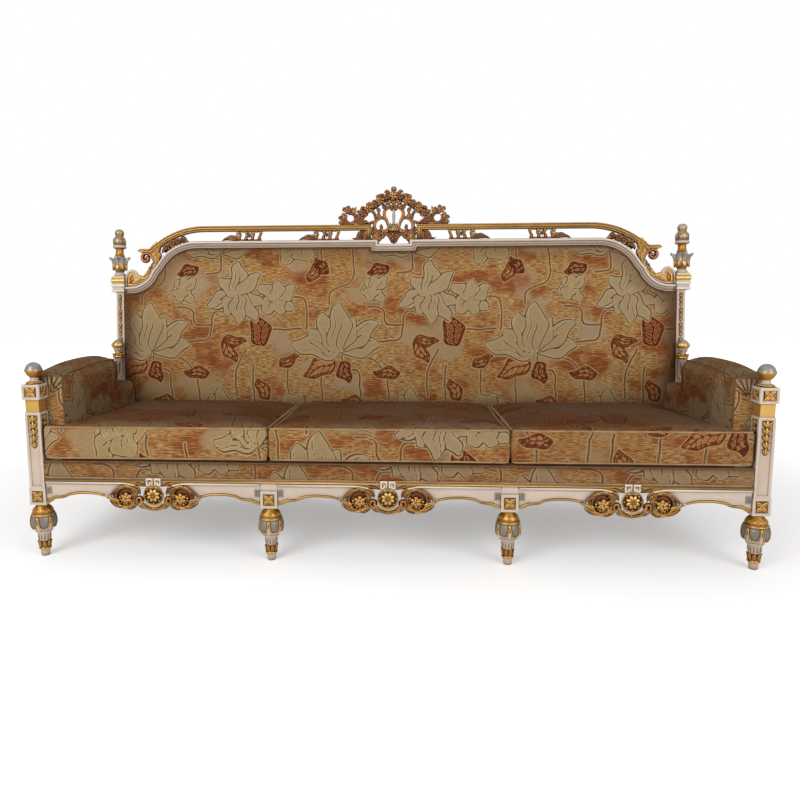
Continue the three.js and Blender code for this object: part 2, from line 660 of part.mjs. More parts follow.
function cushionPlan(seat, inset) {
  const corner = (x, y) => new THREE.Vector2(x, y);
  const left = seatEdge(seat) + CUSHION_GAP / 2 + inset;
  const right = seatEdge(seat + 1) - CUSHION_GAP / 2 - inset;
  const front = CUSHION_FRONT + inset;
  const back = CUSHION_BACK - inset;
  return [
    ...drawnSide(corner(left, front), corner(right, front), CUSHION_SIDE_DRAW / 2, corner(0, 1)),
    ...drawnSide(corner(right, front), corner(right, back), CUSHION_SIDE_DRAW, corner(-1, 0)),
    ...drawnSide(corner(right, back), corner(left, back), CUSHION_SIDE_DRAW, corner(0, -1)),
    ...drawnSide(corner(left, back), corner(left, front), CUSHION_SIDE_DRAW, corner(1, 0)),
  ];
}

function earPlan(sign, inset) {
  const outer = HALF_SPAN - UPPER_BLOCK_WIDTH / 2 - CUSHION_GAP - inset;
  const inner = ARM_INNER - EAR_OVERLAP;
  const front = CUSHION_FRONT + inset;
  const back = ARM_FRONT - CUSHION_GAP - inset;
  const corners = [[inner, front], [outer, front], [outer, back], [inner, back]];
  return corners.map(([x, y]) => new THREE.Vector2(sign * x, y));
}

// Rings of the crown, as shares of half the cushion's depth and of its rise.
const CROWN_SHARES = [[0.09, 0.36], [0.24, 0.68], [0.46, 0.9], [0.75, 1]];

function cushionBody(seat, inset) {
  const depth = CUSHION_BACK - CUSHION_FRONT;
  const bottom = CUSHION_BOTTOM + inset;
  const top = CUSHION_TOP - inset;
  const fall = (y) => (CUSHION_FALL * (y - CUSHION_FRONT)) / depth;
  const flat = (plan, z) => plan.map((p) => new THREE.Vector3(p.x, p.y, z));
  const sloped = (plan, z) => flat(plan, z).map((p) => p.setZ(z - fall(p.y)));
  const boxed = (plan, rim, crown) => loft([
    flat(rim, bottom), flat(plan, bottom + CUSHION_EDGE),
    sloped(plan, top - CUSHION_EDGE), sloped(rim, top), ...crown,
  ]);
  const crown = CROWN_SHARES.map(([inwards, rise]) =>
    sloped(cushionPlan(seat, inset + CUSHION_EDGE + (inwards * depth) / 2), top + rise * CUSHION_CROWN));
  const main = boxed(cushionPlan(seat, inset), cushionPlan(seat, inset + CUSHION_EDGE), crown);
  if (seat > 0 && seat < SEATS - 1) return main;
  const sign = seat ? 1 : -1;
  return join([main, boxed(earPlan(sign, inset), earPlan(sign, inset + CUSHION_EDGE), [])]);
}

// The mouth of the cover, in the middle of its back border.
function coverMouth(seat) {
  const centre = (seatEdge(seat) + seatEdge(seat + 1)) / 2;
  const reach = MOUTH_LENGTH / 2;
  const middle = (CUSHION_BOTTOM + CUSHION_TOP) / 2;
  const low = middle - MOUTH_HEIGHT / 2;
  const front = CUSHION_BACK - MOUTH_DEPTH;
  return box(centre - reach, centre + reach, front, CUSHION_BACK + OVERRUN, low, low + MOUTH_HEIGHT);
}

["left", "centre", "right"].forEach((name, seat) => {
  const cover = cut(cushionBody(seat, 0), [cushionBody(seat, COVER_THICKNESS), coverMouth(seat)]);
  piece("seat_cover_" + name, cover, MATERIALS.fabric);
  piece("seat_core_" + name, cushionBody(seat, COVER_THICKNESS + CORE_GAP), MATERIALS.foam);
});

// Arms: a board standing on the side rail inside a padded cover. The cover's heel runs back to the
// upholstered back, and its crowned top is cut away behind to leave room for the console.
function armRing(y, inner, bottom, top) {
  const s = ARM_SHOULDER;
  const soft = s * (1 - Math.SQRT1_2);
  const corner = [[0, bottom], [0, top - s], [soft, top - soft], [s, top]];
  const left = corner.map(([x, z]) => [inner + x, z]);
  const right = corner.map(([x, z]) => [ARM_OUTER - x, z]).reverse();
  return [...left, ...right].map(([x, z]) => new THREE.Vector3(x, y, z));
}

function armPad() {
  const taperStart = ARM_REAR - ARM_TAPER_LENGTH;
  const rings = Array.from({ length: ARM_STATIONS + 1 }, (_, i) => {
    const y = ARM_FRONT + (i / ARM_STATIONS) * ARM_LENGTH;
    const taper = Math.max(0, y - taperStart) / ARM_TAPER_LENGTH;
    const top = ARM_TOP + ARM_CROWN * Math.sin((Math.PI * i) / ARM_STATIONS);
    return armRing(y, ARM_INNER + taper * ARM_TAPER_WIDTH, ARM_HEEL_TOP - 2 * ARM_SHOULDER, top);
  });
  const heel = [ARM_FRONT, ARM_HEEL_BACK].map((y) => armRing(y, ARM_INNER, ARM_BOTTOM, ARM_HEEL_TOP));
  const slot = box(BOARD_INNER - JOINT_GAP, BOARD_OUTER + JOINT_GAP, ARM_FRONT + ARM_SKIN,
    ARM_REAR - ARM_SKIN, ARM_BOTTOM - OVERRUN, ARM_BOARD_TOP + JOINT_GAP);
  return cut(join([loft(rings), loft(heel)]), [slot]);
}
const armBoard = () => box(BOARD_INNER, BOARD_OUTER, ARM_FRONT + ARM_SKIN + JOINT_GAP,
  ARM_REAR - ARM_SKIN - JOINT_GAP, RAIL_TOP + JOINT_GAP, ARM_BOARD_TOP);

// Rear posts: an upright block under a raked shaft with a moulded cap
function raked(geometry) {
  return geometry.rotateX(-RAKE).translate(0, BACK_SETBACK, REAR_BLOCK_TOP);
}

function postShaft(sign, grow) {
  const capBottom = REAR_SHAFT_TOP + CAP_BLOCK_HEIGHT - grow;
  const capX = sign * CAP_X;
  const shaftWidth = REAR_POST_WIDTH + 2 * grow;
  return join([
    squareBar(sign * SHAFT_X, 0, shaftWidth, -SHAFT_OVERLAP, REAR_SHAFT_TOP + grow),
    squareBar(capX, 0, CAP_BLOCK_WIDTH + 2 * grow, REAR_SHAFT_TOP - grow, capBottom + 2 * grow),
    squareBar(capX, 0, CAP_MOULD_WIDTH + 2 * grow, capBottom, CAP_TOP + grow),
  ]);
}

function rearPost(sign, grow) {
  const width = LOWER_BLOCK_WIDTH + 2 * grow;
  const top = REAR_BLOCK_TOP + grow;
  const block = squareBar(sign * HALF_SPAN, BACK_SETBACK, width, LEG_HEIGHT - grow, top);
  return join([raked(postShaft(sign, grow)), block]);
}

function rearPostFinished(sign) {
  const socketBottom = CAP_TOP - TENON_LENGTH - JOINT_GAP;
  const socket = peg(sign * CAP_X, 0, TENON_HOLE_RADIUS, socketBottom, CAP_TOP + OVERRUN);
  const hole = tenonHole(sign * HALF_SPAN, BACK_SETBACK, LEG_HEIGHT);
  return cut(rearPost(sign, 0), [hole, raked(socket)]);
}

const FINIAL_PROFILE_SHARES = [
  [0.75, 0], [0.6, 0.06], [0.8, 0.1], [1, 0.2], [0.92, 0.34], [0.55, 0.46], [0.5, 0.53], [0.82, 0.6],
  [0.8, 0.66], [0.9, 0.72], [0.76, 0.8], [0.4, 0.88], [0.52, 0.93], [0.4, 0.99],
];

const FINIAL_LEAF_SHARES = [[0.7, 0.26], [1, 0.38], [0.98, 0.41], [0.6, 0.36], [0.5, 0.42]];

function finial(x) {
  const seat = CAP_TOP + JOINT_GAP;
  const profile = moved(scaled(FINIAL_PROFILE_SHARES, FINIAL_RADIUS, FINIAL_HEIGHT), 0, seat);
  const body = turned([[0, seat], ...profile, [0, seat + FINIAL_HEIGHT]], FINIAL_SIDES);
  const leaf = moved(scaled(FINIAL_LEAF_SHARES, FINIAL_LEAF_REACH, FINIAL_HEIGHT), 0, seat);
  const half = FINIAL_LEAF_THICKNESS / 2;
  const across = plate(bothHalves(leaf), -half, half);
  const along = across.clone().rotateZ(Math.PI / 2);
  const tenon = peg(0, 0, TENON_RADIUS, CAP_TOP - TENON_LENGTH, seat + OVERRUN / 2);
  return join([body, across, along, tenon]).translate(x, 0, 0);
}

// Rear arm consoles: a turned capital on a bracket that is fixed to the front of the rear post
const CONSOLE_BALL_SHARES = [
  [0.55, 0], [0.8, 0.12], [0.8, 0.24], [0.5, 0.34], [0.55, 0.44], [0.92, 0.52], [1, 0.68],
  [0.85, 0.84], [0.45, 0.96],
];

function armConsole(x) {
  const half = CONSOLE_WIDTH / 2;
  const seat = CONSOLE_TOP - OVERRUN;
  const spread = scaled(CONSOLE_BALL_SHARES, CONSOLE_BALL_RADIUS, CONSOLE_BALL_HEIGHT);
  const profile = moved(spread, 0, seat);
  const capital = turned([[0, seat], ...profile, [0, seat + CONSOLE_BALL_HEIGHT]], FINIAL_SIDES);
  const front = CONSOLE_SETBACK - half;
  const back = BACK_SETBACK + REAR_POST_WIDTH;
  const bracket = box(x - half, x + half, front, back, CONSOLE_BOTTOM, CONSOLE_TOP);
  return cut(join([bracket, capital.translate(x, CONSOLE_SETBACK, 0)]), [rearPost(1, JOINT_GAP)]);
}

for (const [name, sign] of sides) {
  const side = (geometry) => (sign < 0 ? mirrored(geometry) : geometry);
  piece("arm_board_" + name, side(armBoard()), MATERIALS.timber);
  piece("arm_pad_" + name, side(armPad()), MATERIALS.fabric);
  piece("rear_post_" + name, rearPostFinished(sign), MATERIALS.cream);
  piece("flame_finial_" + name, finial(sign * CAP_X), MATERIALS.gilt, backFrame);
  piece("arm_console_" + name, side(armConsole(SHAFT_X)), MATERIALS.gilt);
}

// Back frame moulding, drawn in x and the height up the raked frame
function mouldingPath() {
  const coveX = -HALF_SPAN + COVE_INSET;
  const cove = arc(coveX, COVE_LEVEL + COVE_RADIUS, COVE_RADIUS, -90, COVE_END_DEGREES, COVE_STEPS);
  const shoulderX = -HALF_SPAN + SHOULDER_INSET;
  const shoulderZ = MOULDING_LEVEL - SHOULDER_RADIUS;
  const shoulder = arc(shoulderX, shoulderZ, SHOULDER_RADIUS, SHOULDER_START_DEGREES, 90, BEND_STEPS);
  return [new THREE.Vector2(-REAR_POST_INNER + JOINT_GAP, COVE_LEVEL), ...cove, ...shoulder];
}
const MOULDING_SECTION_SHARES = [
  [-0.5, 0], [-0.5, 0.62], [-0.3, 0.86], [-0.05, 0.8], [0.12, 1], [0.34, 1], [0.5, 0.82], [0.5, 0],
];
const grownShafts = [-1, 1].map((sign) => postShaft(sign, JOINT_GAP));
const mouldingSection = (grow) => MOULDING_SECTION_SHARES.map(([across, out]) =>
  [across * (MOULDING_WIDTH + 2 * grow), MOULDING_BACK + grow - out * (MOULDING_DEPTH + 2 * grow)]);

function backMoulding(grow) {
  const left = [...mouldingPath(), new THREE.Vector2(-STEP_HALF_WIDTH, MOULDING_LEVEL)];
  const half = moulding(left, mouldingSection(grow));
  const drop = MOULDING_LEVEL - STEP_DROP;
  const ear = STEP_HALF_WIDTH + STEP_EAR;
  const stepPath = [-ear, ear].map((x) => new THREE.Vector2(x, drop));
  const step = moulding(stepPath, mouldingSection(grow));
  const whole = join([half, mirrored(half), step]);
  return cut(whole, grownShafts);
}
const grownMoulding = backMoulding(JOINT_GAP);
piece("back_moulding", backMoulding(0), MATERIALS.cream, backFrame);

// Gallery rails: the outer end grows into a spurred bracket with a volute, and the inner end turns
// down beside the crest.
const BRACKET_SHARES = [
  [0, 0.61], [0.14, 0.71], [0.52, 0.71], [0.7, 0.98], [0.96, 1.1], [1.1, 0.98], [0.98, 0.78],
  [0.915, 0.56], [0.99, 0.45], [0.9, 0.22], [0.86, 0.08], [0.8, 0], [0.66, 0.02], [0.5, 0.1],
  [0.44, 0.16], [0.26, 0.15], [0.13, 0.28], [0.18, 0.47],
];

function galleryRail(grow) {
  const centreX = -HALF_SPAN + GALLERY_INSET;
  const centreZ = GALLERY_LEVEL - GALLERY_RADIUS;
  const bend = arc(centreX, centreZ, GALLERY_RADIUS, GALLERY_START_DEGREES, 90, BEND_STEPS);
  const path = [...bend, new THREE.Vector2(-GALLERY_INNER_END + grow, GALLERY_LEVEL)];
  const halfWidth = GALLERY_WIDTH / 2 + grow;
  const depth = GALLERY_DEPTH + 2 * grow;
  const front = CARVING_AXIS - depth / 2;
  const back = CARVING_AXIS + depth / 2;
  const section = [[-halfWidth, back], [-halfWidth, front], [halfWidth, front], [halfWidth, back]];
  const spread = scaled(BRACKET_SHARES, BRACKET_WIDTH, BRACKET_HEIGHT);
  const bracket = carved(moved(spread, -HALF_SPAN + BRACKET_INSET, BRACKET_FOOT), depth);
  const bar = box(-GALLERY_INNER_END - GALLERY_BAR - grow, -GALLERY_INNER_END + grow, front, back,
    MOULDING_TOP + JOINT_GAP, GALLERY_BOTTOM + OVERRUN / 2);
  return cut(join([moulding(path, section), bracket, bar]), [grownMoulding]);
}

// Supports between the moulding and the gallery rail, with a leaf lying outwards
const SUPPORT_OUTLINE_SHARES = [
  [0, -0.1], [0, 1.1], [0.56, 1.1], [0.6, 0.86], [0.52, 0.5], [0.6, 0.3], [0.78, 0.38], [0.94, 0.2],
  [1, -0.1],
];
const SUPPORT_HOLE_SHARES = [[0.12, 0.85], [0.19, 0.85], [0.2, 0.4], [0.16, 0.2], [0.12, 0.4]];
const SUPPORT_HOLE_SHIFTS_SHARE = [0, 0.16, 0.32];

function gallerySupport(centre, grownRail) {
  const height = GALLERY_BOTTOM - MOULDING_TOP;
  const start = -centre + SUPPORT_WIDTH / 2;
  const spread = (shares, shift) =>
    moved(flipped(scaled(moved(shares, shift, 0), SUPPORT_WIDTH, height)), start, MOULDING_TOP);
  const holes = SUPPORT_HOLE_SHIFTS_SHARE.map((shift) => spread(SUPPORT_HOLE_SHARES, shift));
  const panel = carved(spread(SUPPORT_OUTLINE_SHARES, 0), SUPPORT_THICKNESS, holes);
  return cut(panel, [grownMoulding, grownRail]);
}

// The scroll that fills the cove of the moulding, from a curl at the post to a leaf tip under the bracket
const SCROLL_SHARES = [
  [0.09, 0.4], [0.13, 0.55], [0.22, 0.65], [0.32, 0.61], [0.39, 0.5], [0.45, 0.42], [0.55, 0.38],
  [0.66, 0.42], [0.75, 0.55], [0.72, 0.74], [0.8, 0.82], [0.875, 0.84], [1, 0.7], [1, -0.2], [0.05, -0.2],
];

function shoulderScroll(grownRail) {
  const start = -REAR_POST_INNER + JOINT_GAP;
  const reach = COVE_RADIUS + COVE_INSET - REAR_POST_WIDTH / 2;
  const outline = moved(scaled(SCROLL_SHARES, reach, SCROLL_HEIGHT), start, SCROLL_BASE);
  return cut(carved(outline, SCROLL_THICKNESS), [grownMoulding, grownRail, grownShafts[0]]);
}

// The leaf garland that ties the bend of the rail to the shoulder of the moulding
const SHOULDER_LEAF_SHARES = [
  [0, 0.35], [-0.06, 0.7], [0.1, 1.2], [0.4, 1.2], [0.53, 0.88], [0.76, 0.92], [0.96, 0.65], [1, 0.2],
  [0.5, -0.1], [0.06, -0.2],
];

function shoulderLeaf(grownRail) {
  const spread = scaled(SHOULDER_LEAF_SHARES, SHOULDER_LEAF_LENGTH, SHOULDER_LEAF_HEIGHT);
  const x = -HALF_SPAN + GALLERY_INSET - GALLERY_RADIUS * Math.SQRT1_2 + BRACKET_WIDTH / 2;
  const outline = moved(spread, x, MOULDING_LEVEL - SHOULDER_RADIUS / 6).reverse();
  return cut(carved(outline, SHOULDER_LEAF_THICKNESS), [grownMoulding, grownRail]);
}

const grownRail = galleryRail(JOINT_GAP);
const rail = galleryRail(0);
const scroll = shoulderScroll(grownRail);
const leaf = shoulderLeaf(grownRail);
for (const [name, sign] of sides) {
  const side = (geometry) => (sign > 0 ? mirrored(geometry) : geometry);
  piece("gallery_rail_" + name, side(rail), MATERIALS.gilt, backFrame);
  piece("shoulder_scroll_" + name, side(scroll), MATERIALS.gilt, backFrame);
  piece("shoulder_leaf_" + name, side(leaf), MATERIALS.bronze, backFrame);
  for (const [place, centre] of SUPPORT_CENTRES) {
    const support = side(gallerySupport(centre, grownRail));
    piece("gallery_support_" + name + "_" + place, support, MATERIALS.bronze, backFrame);
  }
}

// Crest: a pierced garland round a spindle, from half outlines in shares of its width and height
const CREST_HALF_SHARES = [
  [0, 0.002], [0.035, 0.01], [0.043, 0.08], [0.072, 0.13], [0.1, 0.095], [0.114, 0.05], [0.116, -0.02],
  [0.22, -0.02], [0.22, 0.33], [0.49, 0.33], [0.5, 0.37], [0.49, 0.41], [0.479, 0.485], [0.452, 0.513],
  [0.452, 0.58], [0.438, 0.638], [0.4, 0.646], [0.384, 0.616], [0.35, 0.677], [0.338, 0.667],
  [0.355, 0.575], [0.33, 0.571], [0.29, 0.6], [0.268, 0.66], [0.232, 0.711], [0.19, 0.697],
  [0.162, 0.78], [0.145, 0.87], [0.12, 0.837], [0.085, 0.9], [0.056, 0.93], [0.03, 0.97], [0, 1],
];
const CREST_HOLE_SHARES = [
  [[0.354, 0.455], [0.372, 0.422], [0.411, 0.422], [0.424, 0.478], [0.4, 0.512], [0.364, 0.505]],
  [[0.172, 0.486], [0.186, 0.501], [0.236, 0.474], [0.25, 0.433], [0.229, 0.391], [0.207, 0.425]],
  [[0.026, 0.705], [0.044, 0.726], [0.086, 0.665], [0.133, 0.638], [0.122, 0.582], [0.14, 0.528],
    [0.129, 0.485], [0.108, 0.492], [0.101, 0.554], [0.079, 0.623], [0.04, 0.663]],
  [[0.019, 0.33], [0.022, 0.455], [0.028, 0.587], [0.047, 0.588], [0.064, 0.526], [0.04, 0.415]],
  [[0.061, 0.318], [0.061, 0.373], [0.079, 0.401], [0.108, 0.381], [0.15, 0.389], [0.157, 0.347],
    [0.143, 0.327], [0.115, 0.319], [0.1, 0.263], [0.083, 0.221], [0.079, 0.277]],
];
const CREST_ROSETTE_SHARES = [
  [0, 0.84], [0.113, 0.745], [-0.113, 0.745], [0.228, 0.61], [-0.228, 0.61], [0.41, 0.57],
  [-0.41, 0.57], [0, 0.12],
];

function crest() {
  const spread = (shares) => moved(scaled(shares, CREST_WIDTH, CREST_HEIGHT), 0, STEP_TOP);
  const holes = CREST_HOLE_SHARES.flatMap((hole) => [spread(hole), spread(flipped(hole))]);
  const fret = carved(spread(bothHalves(CREST_HALF_SHARES)), CREST_THICKNESS, holes);
  const front = CARVING_AXIS - CREST_THICKNESS / 2;
  const flowers = spread(CREST_ROSETTE_SHARES)
    .map(([x, z]) => rosette(x, front, z, CREST_ROSETTE_RADIUS, ROSETTE_RISE));
  return cut(join([fret, ...flowers]), [grownMoulding, grownRail, mirrored(grownRail)]);
}
piece("crest", crest(), MATERIALS.bronze, backFrame);

// Upholstered back: a crowned pad inside the moulding, on a board, with a cloth liner behind
function insideOutline(clearance, bottom, bottomShares = []) {
  const offset = MOULDING_WIDTH / 2 + clearance;
  const path = [...mouldingPath(), new THREE.Vector2(-STEP_HALF_WIDTH - 2 * STEP_EAR, MOULDING_LEVEL)];
  const below = path.map((point, i) => {
    const before = path[Math.max(i - 1, 0)];
    const after = path[Math.min(i + 1, path.length - 1)];
    const along = after.clone().sub(before).normalize();
    return [point.x + along.y * offset, point.y - along.x * offset];
  });
  const dip = MOULDING_LEVEL - STEP_DROP - offset;
  const corner = [-REAR_POST_INNER + JOINT_GAP, bottom];
  const dipX = -STEP_HALF_WIDTH - STEP_EAR - clearance;
  const sidePoints = bottomShares.length ? [[corner[0], (bottom + COVE_LEVEL) / 2]] : [];
  const left = [corner, ...sidePoints, ...below, [dipX, dip]];
  const across = bottomShares.map((share) => [-share * REAR_POST_INNER, bottom]);
  return [...left, ...left.slice().reverse().map(([x, z]) => [-x, z]), ...across];
}

const PAD_BOTTOM_SHARES = [-0.75, -0.5, -0.25, 0, 0.25, 0.5, 0.75];
const PAD_RING_SHARES = [
  [1, 0], [0.99, 0.2], [0.96, 0.38], [0.88, 0.6], [0.72, 0.84], [0.45, 0.97], [0.15, 1],
];

function backPad() {
  const outline = insideOutline(JOINT_GAP, PAD_BOTTOM, PAD_BOTTOM_SHARES);
  const ring = (share, y) => outline.map(([x, z]) =>
    new THREE.Vector3(x * share, y, PAD_CENTRE_LEVEL + (z - PAD_CENTRE_LEVEL) * share));
  const crown = PAD_RING_SHARES.map(([share, rise]) => ring(share, -PAD_EDGE - rise * PAD_CROWN));
  return loft([ring(1, MOULDING_BACK), ...crown]);
}
piece("back_pad", backPad(), MATERIALS.fabric, backFrame);

function backLiner() {
  const front = MOULDING_BACK + JOINT_GAP;
  const outline = insideOutline(-MOULDING_WIDTH / 2, BACK_RAIL_LIFT);
  return cut(plate(outline, front, front + BACK_LINER_THICKNESS), grownShafts);
}
piece("back_liner", backLiner(), MATERIALS.liner, backFrame);

function backRail() {
  const reach = REAR_POST_INNER - JOINT_GAP;
  return box(-reach, reach, -BACK_RAIL_FRONT, MOULDING_BACK, BACK_RAIL_LIFT, BACK_RAIL_HEIGHT);
}
piece("back_rail", backRail(), MATERIALS.timber, backFrame);

// The origin is on the floor under the middle of the sofa's box.
root.updateMatrixWorld(true);
const extent = new THREE.Box3().setFromObject(root, true);
root.position.set(0, -(extent.min.y + extent.max.y) / 2, -extent.min.z);

export default root;
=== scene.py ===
"""Three-seat salon sofa: a painted and gilded carved frame, loose cushions and a pierced gallery.

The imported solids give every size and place. This script dresses them: it turns, carves and
upholsters finer pieces in the same places, and gives every surface its finish.
Shapes are drawn in millimetres with Y = 0 on the axis of the front legs, and are brought into
the sofa's frame, in metres, when a piece is finished.
"""

from __future__ import annotations

import logging
import math
from collections.abc import Callable, Iterable, Sequence
from dataclasses import dataclass, field
from enum import Enum
from typing import ClassVar

import bmesh
import bpy
import numpy as np
from mathutils import Matrix, Vector, noise
from mathutils.bvhtree import BVHTree

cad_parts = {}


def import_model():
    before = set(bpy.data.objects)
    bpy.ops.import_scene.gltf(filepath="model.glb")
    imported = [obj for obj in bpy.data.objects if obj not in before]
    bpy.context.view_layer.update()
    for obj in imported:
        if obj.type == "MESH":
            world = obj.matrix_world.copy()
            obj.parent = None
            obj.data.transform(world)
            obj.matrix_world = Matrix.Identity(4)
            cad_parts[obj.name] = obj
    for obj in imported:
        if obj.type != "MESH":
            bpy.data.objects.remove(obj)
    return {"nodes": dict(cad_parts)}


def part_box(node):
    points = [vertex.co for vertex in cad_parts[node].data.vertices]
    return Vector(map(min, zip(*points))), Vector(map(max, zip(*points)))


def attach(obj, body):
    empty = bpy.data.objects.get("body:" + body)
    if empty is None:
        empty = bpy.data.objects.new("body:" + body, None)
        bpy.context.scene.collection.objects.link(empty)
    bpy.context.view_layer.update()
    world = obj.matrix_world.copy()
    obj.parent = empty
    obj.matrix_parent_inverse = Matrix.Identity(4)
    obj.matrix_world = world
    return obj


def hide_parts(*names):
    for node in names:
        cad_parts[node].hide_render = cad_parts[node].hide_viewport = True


LOG = logging.getLogger("sofa")

MM = 0.001
FRAME_Y = -366.735
POST_X = 1210.0
INNER_X = POST_X / 3
BACK_SETBACK = 672.0
REAR_BLOCK_TOP = 345.0
RAKE = math.radians(5.0)
SIDES = (("left", -1.0), ("right", 1.0))
SEATS = ("left", "centre", "right")

Point = tuple[float, float]
Colour = tuple[float, float, float]
Socket = bpy.types.NodeSocket


def srgb(*parts: int) -> Colour:
    """Turns a colour written in 0 to 255 into the linear values that shaders take."""
    shares = (value / 255 for value in parts)
    return tuple(p / 12.92 if p <= 0.04045 else ((p + 0.055) / 1.055) ** 2.4 for p in shares)


def upright() -> Matrix:
    """Returns the change from drawing millimetres to the sofa's frame in metres."""
    return Matrix.Scale(MM, 4) @ Matrix.Translation((0, FRAME_Y, 0))


def raked() -> Matrix:
    """Returns the same change for shapes drawn along the raked back, with z up the back."""
    pivot = Matrix.Translation((0, BACK_SETBACK, REAR_BLOCK_TOP))
    return upright() @ pivot @ Matrix.Rotation(-RAKE, 4, "X")


def spun(turn: float) -> Matrix:
    """Returns a turn about the upright axis, in radians."""
    return Matrix.Rotation(turn, 4, "Z")


def set_out(y: float, z: float, lean: float) -> Matrix:
    """Returns a move out to a face at a height, after a lean about the x axis."""
    return Matrix.Translation((0, y, z)) @ Matrix.Rotation(lean, 4, "X")


def arc(x: float, z: float, radius: float, start: float, end: float, steps: int = 10,
        end_radius: float | None = None) -> list[Point]:
    """Draws an arc, or a spiral where it ends at another radius.

    Args:
        x: X of its centre.
        z: Height of its centre.
        radius: Its radius.
        start: Angle of its first point in degrees, anticlockwise from the right.
        end: Angle of its last point.
        steps: Steps along it.
        end_radius: Radius at the end.

    Returns:
        Its points.
    """
    last = radius if end_radius is None else end_radius
    made = []
    for step in range(steps + 1):
        share = step / steps
        turn = math.radians(start + (end - start) * share)
        reach = radius + (last - radius) * share
        made.append((x + reach * math.cos(turn), z + reach * math.sin(turn)))
    return made


def eased(points: Sequence[Point], steps: int = 4) -> list[Point]:
    """Draws a smooth curve through points.

    Args:
        points: The points.
        steps: Steps from each point to the next.

    Returns:
        The curve's points.
    """
    ends = [points[0], *points, points[-1]]
    made = []
    for p0, p1, p2, p3 in zip(ends, ends[1:], ends[2:], ends[3:]):
        for t in (step / steps for step in range(steps)):
            made.append(tuple(
                0.5 * (2 * b + (c - a) * t + (2 * a - 5 * b + 4 * c - d) * t * t
                       + (3 * b - a - 3 * c + d) * t ** 3)
                for a, b, c, d in zip(p0, p1, p2, p3)))
    return [*made, tuple(points[-1])]


def cut_corner(start: Vector, corner: Vector, end: Vector) -> list[Point]:
    """Returns five points of the curve that rounds a corner between two points.

    Args:
        start: Where the curve starts.
        corner: The corner.
        end: Where the curve ends.
    """
    shares = (step / 4 for step in range(5))
    spots = (start * (1 - t) ** 2 + corner * 2 * t * (1 - t) + end * t ** 2 for t in shares)
    return [(spot.x, spot.y) for spot in spots]


def turned_over(points: Iterable[Point], sign: float) -> list[Point]:
    """Returns points on one side of the middle: the same for 1, mirrored for -1."""
    return [(sign * x, z) for x, z in points]


def at_depth(points: Iterable[Point], y: float) -> list[tuple[float, float, float]]:
    """Returns points in x and z as points in space at one depth."""
    return [(x, y, z) for x, z in points]


def pairs(*numbers: float) -> list[Point]:
    """Returns points written as x and z in turn."""
    return list(zip(numbers[::2], numbers[1::2]))


# Shader building


